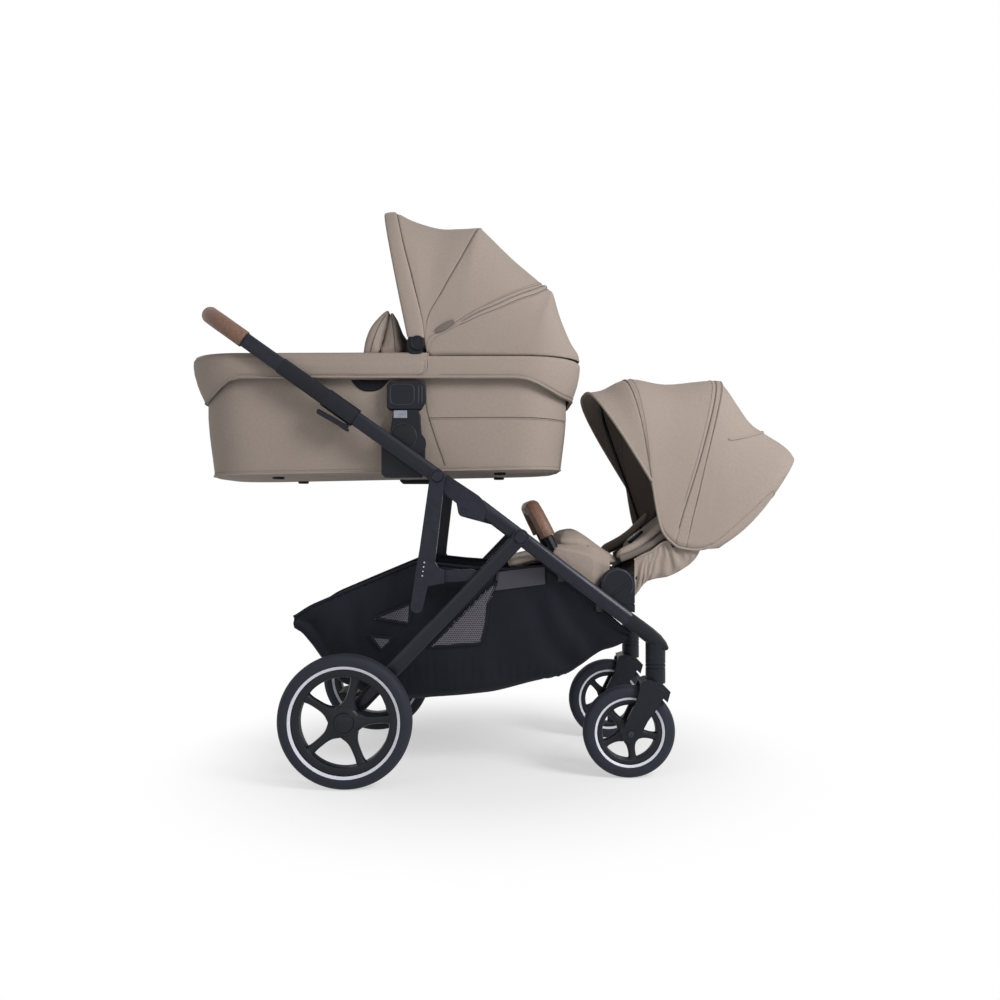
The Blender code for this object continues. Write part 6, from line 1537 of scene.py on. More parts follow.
class StrollerCotTub(bpy.types.Operator):
    """The carrycot's covered shell, its lining, seams, feet and hinge tabs"""

    bl_idname = "stroller.cot_tub"
    bl_label = "Carrycot tub"

    def execute(self, context):
        shares = [0.0, 0.012, 0.025, 0.05, 0.075, 0.10, 0.16, 0.24, 0.34, 0.44, 0.54, 0.64, 0.74, 0.84, 0.92, 1.0]
        rows = []
        for share in shares:
            rows.append(tub_ring(share))
        for z in (0.845, 0.875, 0.905, TUB_RIM - 0.002):
            rows.append(plan_ring(TUB_LOW, TUB_HIGH, TUB_HALF, TUB_CORNER, z))
        wall = 0.010
        rows.append(plan_ring(TUB_LOW + 0.002, TUB_HIGH - 0.002, TUB_HALF - 0.002, TUB_CORNER - 0.002, TUB_RIM))
        outer_rows = len(rows)
        rows.append(plan_ring(TUB_LOW + 0.008, TUB_HIGH - 0.008, TUB_HALF - 0.008, TUB_CORNER - 0.008, TUB_RIM))
        rows.append(plan_ring(TUB_LOW + wall, TUB_HIGH - wall, TUB_HALF - wall, TUB_CORNER - wall, TUB_RIM - 0.003))
        for z in (0.90, 0.86, 0.812):
            rows.append(plan_ring(TUB_LOW + wall, TUB_HIGH - wall, TUB_HALF - wall, TUB_CORNER - wall, z))
        for share in (0.85, 0.7, 0.5, 0.3, 0.16):
            inset = wall + 0.012 * (1 - share)
            rows.append(plan_ring(TUB_LOW + inset, TUB_HIGH - inset, TUB_HALF - inset, TUB_CORNER - wall,
                                  tub_height(share)))
        rows.append(plan_ring(TUB_LOW + 0.034, TUB_HIGH - 0.034, TUB_HALF - 0.032, TUB_CORNER - 0.028,
                              lambda x: cot_floor(x) + wall))
        count = len(rows[0])
        flat = [p for row in rows for p in row]
        uvs = ring_uvs(rows, [row[5] for row in rows])
        shell = add_object("cot_shell", mesh_from("cot_shell", flat, tube_faces(rows), uvs, 50.0), "taupe_cloth")
        shell.data.materials.append(finish_of("hood_lining"))
        edge = (outer_rows + 1) * count
        for face in shell.data.polygons:
            if min(face.vertices) >= edge:
                face.material_index = 1
        ride(outward(shell), "carrycot", "cot_tub", slot="taupe")
        self.seams()
        for n, x in enumerate((-0.49, 0.018)):
            z = cot_floor(x)
            for side, mark in SIDES:
                y = side * (TUB_HALF - 0.012 - 0.035)
                ring = [(x, y, z + 0.004), (x, y, z - 0.004), (x, y, z - 0.006)]
                sections = [round_section(r, 20) for r in (0.012, 0.0140, 0.0115)]
                foot = section_sweep(f"cot_foot_{mark}{n + 1}", ring, sections, "moulded")
                ride(foot, "carrycot")
        for side, mark in SIDES:
            low, high = sorted((side * 0.1652, side * 0.1702))
            tab = self.block(f"cot_hinge_tab_{mark}", (-0.176, low, TUB_RIM - 0.020), (-0.156, high, 0.981))
            ride(tab, "carrycot")
        return {"FINISHED"}

    def block(self, name, low, high):
        """A bevelled block of plastic."""
        mesh = bpy.data.meshes.new(name)
        shape = bmesh.new()
        bmesh.ops.create_cube(shape, size=1.0)
        for vertex in shape.verts:
            vertex.co = Vector([(a + b) / 2 + c * (b - a) for a, b, c in zip(low, high, vertex.co)])
        shape.to_mesh(mesh)
        shape.free()
        made = add_object(name, mesh, "moulded")
        edge = made.modifiers.new("edge", "BEVEL")
        edge.width = 0.0012
        edge.segments = 2
        return outward(baked(made))

    def seams(self):
        """Piping and stitched seams on the tub."""
        low = 0.045
        ring = tub_ring(low, 0.0006)
        ride(section_sweep("cot_tub_piping", ring, round_section(0.0021, 10), "piping", closed=True,
                           up=Vector((0, 0, 1))), "carrycot")
        above = tub_ring(low + 0.050, 0.0003)
        lines = [above + above[:1]]
        for side in (-1, 1):
            panel = []
            for x, z in ((-0.1545, 0.8885), (-0.1530, 0.8750), (-0.1500, 0.8500), (-0.1455, 0.8250), (-0.1414, 0.8080),
                         (-0.1346, 0.7855), (-0.1212, 0.7451), (-0.1130, 0.7226), (-0.1055, 0.7002)):
                panel.append(tub_side(x, z, side, 0.0002))
            mark = "R" if side < 0 else "L"
            panel = smooth_path(panel, 0.004)
            ride(section_sweep(f"cot_panel_seam_{mark}", panel, round_section(0.0011, 6), "seam_shadow",
                               up=Vector((0, side, 0))), "carrycot")
            lines.append([p + Vector((0.0040, 0, 0.001)) for p in panel])
            run = [tub_side(-0.1410 + 0.3100 * k / 80, 0.8058 + 0.0016 * math.sin(math.pi * k / 80), side, 0.0002)
                   for k in range(81)]
            ride(section_sweep(f"cot_side_seam_{mark}", run, round_section(0.0008, 6), "seam_shadow",
                               up=Vector((0, side, 0))), "carrycot")
            lines.append([p - Vector((0, 0, 0.0034)) for p in run])
            self.slot(side, mark)
        ride(stitches("cot_tub_stitches", lines), "carrycot")

    def slot(self, side, mark):
        """The dark vent under the band, a lens with a flat top."""
        rows = []
        for k in range(7):
            share = k / 6
            row = []
            for n in range(25):
                along = n / 24
                depth = 0.025 * (1 - abs(2 * along - 1) ** 2.6)
                row.append(tub_side(-0.316 + 0.084 * along, 0.8905 - depth * share - 0.0004, side, 0.0010))
            rows.append(row)
        vent = cloth_sheet(f"cot_vent_{mark}", rows, "dark_pad", 0.0008)
        ride(vent, "carrycot")


def band_ring(inset, height, share=1.0):
    """A ring around the band, whose ends draw in towards its lower edge."""
    tuck = BAND_TUCK * (1 - share) ** 1.6
    return plan_ring(COT_FOOT_X + inset + tuck, COT_HEAD_X - inset - tuck * 0.7, BAND_HALF - inset, BAND_CORNER - inset,
                     height)


COVER_END = -0.142


class StrollerCotBand(bpy.types.Operator):
    """The band around the carrycot's rim and the cover over its foot"""

    bl_idname = "stroller.cot_band"
    bl_label = "Carrycot band and foot cover"

    def execute(self, context):
        def down(share):
            return lambda x: cot_band_foot(x) + (COT_TOP_Z - 0.010 - cot_band_foot(x)) * share

        rows = []
        for share, inset in ((0.0, 0.0030), (0.03, 0.0008), (0.12, 0.0), (0.3, 0.0), (0.5, -0.0004), (0.7, 0.0),
                             (0.9, 0.0), (1.0, 0.0)):
            ring = band_ring(inset, down(share), share)
            rows.append([p + (p - Vector((p.x * 0.6 - 0.1, 0, p.z))).normalized() * 0.0011
                         * noise.noise(Vector((p.x * 11, p.y * 7, p.z * 16))) * math.sin(math.pi * share)
                         for p in ring])
        for turn in (22, 45, 68, 90):
            a = math.radians(turn)
            rows.append(band_ring(0.010 - 0.010 * math.cos(a), COT_TOP_Z - 0.010 + 0.010 * math.sin(a)))
        for inset in (0.0150, 0.0195):
            rows.append(band_ring(inset, COT_TOP_Z - 0.0003))
        band = cloth_sheet("cot_band", rows, "taupe_cloth", 0.0034, wrap=True, sharp=60.0)
        ride(band, "carrycot", "cot_apron", slot="taupe")
        edge = band_ring(-0.0006, lambda x: cot_band_foot(x) + 0.0030, 0.04)
        ride(section_sweep("cot_band_piping", edge, round_section(0.0021, 10), "piping", closed=True,
                           up=Vector((0, 0, 1))), "carrycot")
        hem = [p for p in band_ring(-0.0006, lambda x: cot_band_foot(x) + 0.0095, 0.14) if p.x > COVER_END + 0.004]
        first = max(range(len(hem)), key=lambda k: (hem[k] - hem[k - 1]).length)
        lines = [hem[first:] + hem[:first]]
        self.cover(lines)
        ride(stitches("cot_band_stitches", lines), "carrycot")
        return {"FINISHED"}

    def cover(self, lines):
        """The crowned cover over the foot half, with its turned-down edge."""
        rows = []
        for share, inset in ((0.0, 0.0006), (0.04, -0.0008), (0.20, -0.0014), (0.45, -0.0017), (0.70, -0.0017),
                             (0.90, -0.0014)):
            end = COVER_END - 0.018 * max(0.0, 1 - share / 0.40) ** 2
            row = []
            for x, y in self.outline(end, inset, share, 0.0035 * step_blend(share, 0.7, 0.9)):
                foot = cot_band_foot(x)
                row.append(Vector((x, y, foot + 0.0060 + (COT_TOP_Z - 0.0030 - foot - 0.0060) * share)))
            rows.append(row)
        for inset, height in ((-0.0010, 0.0004), (0.0040, 0.0054), (0.0120, 0.0082), (0.0300, 0.0096),
                              (0.0620, 0.0110), (0.1000, 0.0118), (0.1500, 0.0121), (0.1950, 0.0122), (0.2084, 0.0122)):
            row = []
            slim = 0.0060 * (1 - step_blend(inset, 0.0, 0.0600))
            for x, y in self.outline(COVER_END, inset, 1.0, slim):
                puffed = noise.noise(Vector((x * 8, y * 9, 2.0))) * 0.0016 if height > 0.001 else 0.0
                row.append(Vector((x, y, COT_TOP_Z + height + puffed)))
            rows.append(row)
        cover = cloth_sheet("cot_foot_cover", rows, "taupe_cloth", 0.0026, sharp=55.0)
        ride(cover, "carrycot")
        low = [p + Vector((0, math.copysign(0.0008, p.y), 0.0020)) for p in rows[1]]
        lines.append(low)
        crest = [p + Vector((0, 0, 0.0010)) for p in rows[7]]
        lines.append(crest)
        near = [[row[0] + Vector((-0.0060, 0.0006, 0)) for row in rows[1:7]],
                [row[-1] + Vector((-0.0060, -0.0006, 0)) for row in rows[1:7]]]
        lines += near
        for n, row in enumerate((0, -1)):
            edge = smooth_path([r[row] for r in rows[:8]], 0.004)
            ride(section_sweep(f"cot_cover_edge_{'LR'[n]}", edge, round_section(0.0013, 8), "piping",
                               up=Vector((1, 0, 0))), "carrycot")

    def outline(self, end, inset, share, slim):
        """The cover's outline at one height as (x, y), from its end on the left around the foot to the right."""
        corner = max(BAND_CORNER - inset, 0.00005)
        half = max(BAND_HALF - inset - slim, 0.00005)
        low = COT_FOOT_X + inset + BAND_TUCK * (1 - share) ** 1.6
        ring = [(end + (low + corner - end) * k / 26, half) for k in range(26)]
        for k in range(14):
            a = math.pi / 2 * k / 13
            ring.append((low + corner - corner * math.sin(a), half - corner + corner * math.cos(a)))
        return ring + [(x, -y) for x, y in reversed(ring)]


FLAP_FOOT_Z = 0.9535
FLAP_FRONT = [(-0.2918, 0.9535), (-0.2860, 0.9830), (-0.2740, 1.0130), (-0.2560, 1.0360), (-0.2400, 1.0510),
              (-0.2320, 1.0520), (-0.2345, 1.0360), (-0.2450, 1.0000), (-0.2540, 0.9700), (-0.2600, 0.9535)]
FLAP_REAR = [(-0.2300, 1.0500), (-0.2225, 1.0440), (-0.2165, 1.0240), (-0.2110, 0.9950), (-0.2075, 0.9535),
             (-0.2520, 0.9535), (-0.2440, 0.9850), (-0.2350, 1.0250)]
FLAP_SEAMS = {"front": [(-0.2400, 1.0420), (-0.2560, 1.0130), (-0.2680, 0.9800), (-0.2745, 0.9570)],
              "rear": [(-0.2290, 1.0420), (-0.2225, 1.0050), (-0.2185, 0.9580)]}


class StrollerCotInside(bpy.types.Operator):
    """The carrycot's mattress and the raised wind flap"""

    bl_idname = "stroller.cot_inside"
    bl_label = "Mattress and wind flap"

    def execute(self, context):
        deep = 0.0105
        rings = []
        for inset, corner, lift in ((0.054, 0.075, 0.0), (0.037, 0.092, 0.006), (0.034, 0.095, 0.015),
                                    (0.037, 0.092, 0.023), (0.056, 0.075, 0.0285), (0.120, 0.040, 0.0300)):
            rings.append(plan_ring(TUB_LOW + inset, TUB_HIGH - inset, TUB_HALF - inset, corner,
                                   lambda x, lift=lift: cot_floor(x) + deep + lift, steps=6, straight=8))
        mattress = puff("cot_mattress_ticking", hull_mesh("mattress", rings), "ticking", 0.0, 0.006, 0.004)
        ride(mattress, "carrycot", "cot_mattress", slot="basket")
        for name, leaf in (("front", FLAP_FRONT), ("rear", FLAP_REAR)):
            outline = smooth_path([Vector((x, 0, z)) for x, z in leaf + leaf[:1]], 0.006)[:-1]
            foot = Vector((sum(p.x for p in outline) / len(outline), 0, FLAP_FOOT_Z))
            rings = []
            for share, size in ((-1.0, 0.80), (-0.985, 0.93), (-0.95, 1.0), (-0.7, 1.0), (-0.4, 0.97), (0.0, 0.94),
                                (0.4, 0.97), (0.7, 1.0), (0.95, 1.0), (0.985, 0.93), (1.0, 0.80)):
                rings.append([foot + (p - foot) * size + Vector((0, 0.173 * share, 0)) for p in outline])
            dense = []
            for a, b in zip(rings, rings[1:]):
                parts = max(1, round((b[0] - a[0]).length / 0.010))
                dense += [[p.lerp(q, k / parts) for p, q in zip(a, b)] for k in range(parts)]
            piece = puff(f"cot_flap_{name}_leaf", hull_mesh("leaf", dense + rings[-1:]), "taupe_pad", 2.0, 0.0035,
                         0.0025)
            if name == "front":
                ride(piece, "carrycot", "cot_flap", slot="taupe")
            else:
                ride(piece, "carrycot")
            for side, mark in SIDES:
                seam = smooth_path([Vector((x, side * 0.1742, z)) for x, z in FLAP_SEAMS[name]], 0.004)
                seam = laid(piece, seam, 0.0002)
                ride(section_sweep(f"cot_flap_{name}_seam_{mark}", seam, round_section(0.0009, 6),
                                   "seam_shadow"), "carrycot")
        return {"FINISHED"}


# Hoods

def cot_half_width(base_x):
    """Half width of the cot hood at its base."""
    past = max(base_x - 0.083, 0.0)
    return 0.197 - 0.125 + math.sqrt(0.125 ** 2 - past ** 2)


COT_SEAMS = (
    (1.0, 0.0018, 0.05, ((0.0, 2.46), (0.062, 2.36), (0.095, 2.23), (0.147, 2.04), (0.287, 1.74), (0.439, 1.53),
                         (0.613, 1.30), (0.780, 1.16), (1.0, 1.0))),
    (4.0, 0.0014, 0.05, ((0.0, 2.60), (0.080, 2.62), (0.172, 2.70), (0.292, 2.97), (0.424, 3.50), (0.550, 3.94),
                         (0.676, 4.34), (0.820, 4.70), (1.0, 5.0))),
    (8.0, 0.0014, 0.05, ((0.0, 2.72), (0.120, 3.05), (0.165, 3.76), (0.224, 4.75), (0.300, 5.55), (0.426, 6.54),
                         (0.585, 7.41), (0.781, 8.23), (1.0, 8.75))),
    (9.0, 0.0014, 0.05, ((0.0, 2.90), (0.110, 3.25), (0.155, 4.05), (0.212, 5.10), (0.285, 5.95), (0.405, 6.93),
                         (0.560, 7.78), (0.755, 8.57), (1.0, 9.10))))
SEAT_SEAMS = (
    (2.0, 0.0014, 0.06, ((0.0, 2.0), (0.141, 1.95), (0.320, 1.96), (0.560, 1.94), (0.848, 1.89), (1.0, 1.86))),
    (4.0, 0.0014, 0.06, ((0.0, 3.96), (0.168, 3.93), (0.459, 3.98), (0.604, 3.98), (0.948, 4.0), (1.0, 4.02))),
    (5.0, 0.0014, 0.06, ((0.0, 5.0), (0.189, 4.76), (0.331, 4.62), (0.469, 4.42), (0.610, 4.30), (0.773, 4.22),
                         (1.0, 4.26))),
    (8.0, 0.0, 0.08, ((0.0, 7.4), (0.50, 5.4), (0.644, 5.35), (0.735, 6.14), (0.854, 6.98), (0.956, 7.78),
                         (1.0, 8.0))))
# The front bow's row under the cloth, and the middle bow's reach, which is 41 mm less than its solid's
BOW_ROW = 1.2
MID_BOW_REACH = 0.350


def cot_blend(piece):
    """Bakes the cot hood piece's placement into its mesh."""
    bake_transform(piece)
    return piece


def seat_blend(piece):
    """Bakes the seat hood piece's placement into its mesh."""
    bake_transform(piece)
    return piece


class StrollerCotHood(bpy.types.Operator):
    """The carrycot's hood: one sheet, its rolled front hem, seams, zip and hinge knobs"""

    bl_idname = "stroller.cot_hood"
    bl_label = "Carrycot hood"

    def execute(self, context):
        cloth = context.scene.stroller_cloth
        ribs = [(bx, cot_half_width(bx), bz, cx, cz) for bx, bz, cx, cz in COT_RIBS]
        hood = Hood(ribs, 2.6, COT_SEAMS, columns=85, per_rib=6, sharp=(5,), billow=0.0020)
        sheet = cloth_sheet("cot_hood_cloth", hood.rows(), "taupe_cloth", cloth.hood_thickness, sharp=60.0,
                            lining="hood_lining")
        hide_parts("cot_canopy")
        cot_blend(sheet)
        border = hood.strip("cot_hood_border", 0.0, COT_SEAMS[0][0] - 0.05, 0.0090, "taupe_pad", lift=0.0010,
                            count=110)
        cot_blend(border)
        border_seam, mid_seam, zip_low, zip_high = [seam[0] for seam in COT_SEAMS]
        # Thin dark strips along the seams and the zip's edges are painted shade in the seams
        for name, row, low in (("border", border_seam, 0.10), ("mid", mid_seam, 0.10)):
            seam_shade_strip = hood.strip(f"cot_hood_{name}_seam", row - 0.025, row + 0.025, 0.0012, "seam_shadow", lift=0.0002,
                              low=low)
            cot_blend(seam_shade_strip)
        tape = hood.strip("cot_hood_zip_tape", zip_low, zip_high, 0.0030, "piping", lift=0.0004, low=0.12)
        cot_blend(tape)
        for row in (zip_low, zip_high):
            name = "front" if row == zip_low else "rear"
            seam_shade_strip = hood.strip(f"cot_hood_zip_{name}", row - 0.022, row + 0.022, 0.0012, "seam_shadow", lift=0.0002,
                              low=0.12)
            cot_blend(seam_shade_strip)
        lines = [hood.line(mid_seam + 0.11, 0.0006, 0.3, math.pi - 0.3),
                 hood.line(zip_low - 0.10, 0.0006, 0.3, math.pi - 0.3),
                 hood.line(zip_high + 0.10, 0.0006, 0.3, math.pi - 0.3)]
        cot_blend(stitches("cot_hood_stitches", lines))
        teeth = hood.line((zip_low + zip_high) / 2, 0.0022, 0.14, math.pi - 0.14)
        cot_blend(stitches("cot_hood_zip_teeth", [teeth], "thread", 0.0030, 0.0016, 0.0014))
        for side, mark in SIDES:
            self.pull(hood, side, mark)
            y = side * KNOB_Y
            self.mount(side, mark)
            knob = disc(f"cot_hood_knob_{mark}", (COT_HINGE[0], y + side * 0.004, COT_HINGE[1]),
                        [(0.0, 0.0), (0.0168, 0.0), (0.0168, side * 0.003), (0.0158, side * 0.0055),
                         (0.0120, side * 0.0062), (0.0110, side * 0.0050), (0.0, side * 0.0048)], 48, "moulded")
            ride(knob, "cot_front_bow")
        return {"FINISHED"}

    def pull(self, hood, side, mark):
        """The zip's fabric pull, lying along the tape's lower end."""
        ends = [Vector((-0.1235, side * 0.1990, 0.9985)), Vector((-0.0850, side * 0.1990, 1.0200))]
        path = [ends[0].lerp(ends[1], k / 8) for k in range(9)]
        sections = [[(a * wide, b) for a, b in oval(0.0075, 0.0022, 20, 3.0)]
                    for wide in (0.55, 0.82, 0.95, 1.0, 1.0, 1.0, 0.95, 0.85, 0.6)]
        piece = section_sweep(f"cot_zip_pull_{mark}", path, sections, "dark_taupe")
        cot_blend(piece)

    def mount(self, side, mark):
        """The dark housing behind the hinge knob."""
        rings = []
        for lift, size in ((-0.004, 1.0), (0.0, 1.0), (0.0026, 0.98), (0.0036, 0.93), (0.0040, 0.80)):
            rings.append([Vector((-0.1712 + a * size, side * (KNOB_Y + lift), 0.9690 + b * size))
                          for a, b in oval(0.0190, 0.0250, 40, 2.4)])
        ride(tube_of(f"cot_hinge_housing_{mark}", rings, "moulded"), "carrycot")


class StrollerSeatHood(bpy.types.Operator):
    """The seat's hood: one sheet with its front piping and seams"""

    bl_idname = "stroller.seat_hood"
    bl_label = "Seat hood"

    def execute(self, context):
        cloth = context.scene.stroller_cloth
        ribs = [(bx, 0.196, bz, cx, cz) for bx, bz, cx, cz in SEAT_RIBS]
        hood = Hood(ribs, 3.2, SEAT_SEAMS, columns=85, per_rib=6, billow=0.0022)
        sheet = cloth_sheet("seat_hood_cloth", hood.rows(), "taupe_cloth", cloth.hood_thickness, sharp=60.0,
                            lining="hood_lining")
        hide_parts("seat_canopy")
        seat_blend(sheet)
        hem = section_sweep("seat_hood_hem", hood.line(0.05, -0.0006), round_section(0.0034, 12), "piping")
        seat_blend(hem)
        arch = hood.line(BOW_ROW, -0.0072)
        ends = [Vector((SEAT_HINGE[0] - 0.004, math.copysign(0.1890, arch[n].y), SEAT_HINGE[1] + 0.002))
                for n in (0, -1)]
        tube = section_sweep("seat_front_bow_tube", smooth_path([ends[0]] + arch + [ends[1]], 0.004),
                             round_section(0.0040, 14), "frame_coat")
        ride(tube, "seat_front_bow", "seat_front_bow")
        lean = math.radians(74.3)
        crown = (SEAT_HINGE[0] + MID_BOW_REACH * math.cos(lean), SEAT_HINGE[1] + MID_BOW_REACH * math.sin(lean))
        arch = [hood_point((SEAT_HINGE[0], 0.1765, SEAT_HINGE[1], *crown), turn, 2.9) for turn in hood_turns(80, 2.9)]
        ride(section_sweep("seat_mid_bow_tube", arch, round_section(0.0042, 14), "frame_coat"),
             "seat_mid_bow", "seat_mid_bow")
        bow, front, rear, vent = [seam[0] for seam in SEAT_SEAMS]
        seat_blend(hood.strip("seat_hood_bow_piping", bow - 0.03, bow + 0.03, 0.0034, "piping", lift=0.0008))
        for name, row in (("front", front), ("rear", rear)):
            seat_blend(hood.strip(f"seat_hood_{name}_seam", row - 0.025, row + 0.025, 0.0012, "seam_shadow",
                                  lift=0.0002, low=0.02))
        lines = [hood.line(bow + 0.16, 0.0006, 0.1, math.pi - 0.1), hood.line(front - 0.12, 0.0006, 0.1, math.pi - 0.1),
                 hood.line(rear + 0.12, 0.0006, 0.1, math.pi - 0.1), hood.line(12.0, 0.0006)]
        seat_blend(stitches("seat_hood_stitches", lines))
        start = math.asin(0.69 ** (hood.power / 2))
        seat_blend(hood.strip("seat_hood_vent_edge", vent - 0.05, vent + 0.05, 0.0036, "piping", lift=0.0012,
                              low=start))
        edge = [hood.point(row, 0.0) for row in hood.places]
        for side, mark in ((1, "L"), (-1, "R")):
            cord = [Vector((p.x, side * abs(p.y), p.z)) for p in edge]
            piece = section_sweep(f"seat_hood_foot_piping_{mark}", smooth_path(cord, 0.004), round_section(0.0028, 10),
                                  "piping")
            seat_blend(piece)
        return {"FINISHED"}


# Seat

BACK_SKIRT = ((0.3197, 0.4867, 0.3197, 0.4011), (0.3420, 0.4990, 0.3332, 0.4191), (0.3557, 0.5047, 0.3450, 0.4330),
              (0.3720, 0.5170, 0.3602, 0.4417), (0.3830, 0.5250, 0.3962, 0.4484), (0.3970, 0.5290, 0.4200, 0.4590),
              (0.4250, 0.5320, 0.4458, 0.4754), (0.4400, 0.5400, 0.4620, 0.4930), (0.4570, 0.5460, 0.4728, 0.5137))


SIDE_COVER = ((0.1441, 0.5205, 0.1350, 0.5024), (0.1830, 0.5240, 0.1700, 0.4730), (0.2206, 0.5215, 0.2000, 0.4490),
              (0.2460, 0.5090, 0.2300, 0.4270), (0.2680, 0.4960, 0.2600, 0.4220))


class StrollerSeatPads(bpy.types.Operator):
    """The seat's cushion, the backrest's pad with its wings and the leg rest"""

    bl_idname = "stroller.seat_pads"
    bl_label = "Seat pads"

    def execute(self, context):
        pressure = context.scene.stroller_cloth.fill_pressure
        rings = []
        span = 0.288 - 0.150
        for share, full in sampled(((0.0, 0.30), (0.04, 0.75), (0.14, 0.97), (0.35, 1.0), (0.60, 0.95),
                                    (0.85, 0.85), (1.0, 0.55)), 19):
            x = 0.150 + span * share
            low = seat_base(share)
            top = 0.545 - 0.052 * step_blend(share, 0.25, 1.0)
            ring = []
            for a, b in oval((top - low) / 2 * full, 0.170 * (0.93 + 0.07 * full), 36, 3.2):
                crown = 0.006 * max(0.0, 1 - abs(b) / 0.170) if a > 0 else 0.0
                ring.append(Vector((x, b, (low + top) / 2 + a + crown)))
            rings.append(ring)
        cushion = puff("seat_cushion_pad", hull_mesh("cushion", rings), "taupe_pad", pressure, 0.005, 0.005)
        ride(cushion, "seat", "seat_cushion", slot="taupe")
        up = Vector((-math.sin(BACK_SLOPE), 0.0, math.cos(BACK_SLOPE)))
        rings = []
        for reach, full, wide in sampled(((0.066, 0.55, 1.0), (0.072, 0.90, 1.0), (0.14, 1.0, 1.0), (0.24, 1.0, 1.0),
                                          (0.31, 1.0, 0.97), (0.372, 0.97, 0.88), (0.402, 0.85, 0.72),
                                          (0.412, 0.50, 0.60)), 29):
            x, z = back_point(reach, BACK_RISE)
            ring = []
            for a, b in oval(0.020 * full, 0.168 * wide, 36, 3.2):
                crown = 0.005 * max(0.0, 1 - abs(b) / 0.168) if a > 0 else 0.0
                ring.append(Vector((x, b, z)) + up * (a + crown))
            rings.append(ring)
        pad = puff("backrest_cushion", hull_mesh("back", rings), "taupe_pad", pressure, 0.005, 0.004)
        ride(pad, "backrest", "backrest_pad", slot="taupe")
        for side, mark in SIDES:
            seam = [Vector((0.2192 + 0.0294 * k / 12, side * 0.176, 0.524 - 0.050 * k / 12)) for k in range(13)]
            ride(section_sweep(f"seat_cushion_seam_{mark}", laid(cushion, seam, 0.0004), round_section(0.0012, 8),
                               "seam_shadow"), "seat")
            rings = []
            for x, z, size in ((0.284, 0.4960, 0.5), (0.292, 0.4995, 0.9), (0.313, 0.5090, 1.0), (0.333, 0.5200, 1.0),
                               (0.355, 0.5360, 1.0), (0.377, 0.5570, 1.0), (0.400, 0.5810, 0.9), (0.408, 0.5890, 0.5)):
                rings.append([Vector((x, side * (0.1560 + a), z + b))
                              for a, b in oval(0.012 * size, 0.013 * size, 20, 2.4)])
            wing = puff(f"backrest_wing_{mark}", hull_mesh("wing", rings), "taupe_pad", pressure * 0.6, 0.004, 0.003)
            ride(wing, "backrest")
            path = smooth_path([Vector((x, side * 0.1712, z)) for x, z in ((0.2900, 0.4890), (0.3130, 0.4975),
                                                                           (0.3360, 0.5080), (0.3620, 0.5230),
                                                                           (0.3880, 0.5420))], 0.005)
            ride(section_sweep(f"backrest_shadow_band_{mark}", path, oval(0.0080, 0.0060, 16, 2.4),
                               "dark_taupe"), "backrest")
            self.side_cover(side, mark)
        self.skirt()
        knee = Vector((0.150, 0.0, 0.500))
        along = (Vector((0.045, 0.0, 0.475)) - knee).normalized()
        top = Vector((-along.z, 0.0, along.x))
        if top.z < 0:
            top = -top
        rings = []
        for reach, full in sampled(((0.014, 0.7), (0.022, 1.0), (0.060, 1.0), (0.100, 0.98), (0.112, 0.75),
                                    (0.118, 0.35)), 13):
            middle = knee + along * reach
            rings.append([middle + top * a + Vector((0, b, 0))
                          for a, b in oval(0.010 * full, 0.155 * (0.94 + 0.06 * full), 36, 3.4)])
        rest = puff("leg_rest_pad", hull_mesh("rest", rings), "taupe_pad", pressure, 0.004, 0.003)
        ride(rest, "leg_rest", "leg_rest", slot="taupe")
        return {"FINISHED"}

    def side_cover(self, side, mark):
        """The cloth panel over the seat frame's side, from the cushion down to the hub."""
        tops = [Vector((a, 0, b)) for a, b, _, _ in SIDE_COVER]
        lows = [Vector((a, 0, b)) for _, _, a, b in SIDE_COVER]
        rows = []
        for i in range(29):
            place = (len(SIDE_COVER) - 1) * i / 28
            top, low = through(tops, place), through(lows, place)
            row = []
            for k in range(19):
                share = k / 18
                point = top.lerp(low, share)
                wide = 0.1962 - 0.0180 * step_blend(point.x, 0.226, 0.246)
                wide -= (wide - 0.1600) * (1 - step_blend(share, 0.0, 0.34))
                soft = noise.noise(Vector((place * 1.3, share * 2.2, 3.0))) * 0.0022 * math.sin(math.pi * share)
                row.append(Vector((point.x, side * (wide + abs(soft)), point.z)))
            rows.append(row)
        cover = cloth_sheet(f"seat_side_cover_{mark}", rows, "taupe_cloth", 0.0018, flip=side > 0, sharp=60.0)
        ride(cover, "seat")
        ride(section_sweep(f"seat_side_hem_{mark}", smooth_path([row[-1] for row in rows], 0.004),
                           round_section(0.0018, 8), "piping"), "seat")

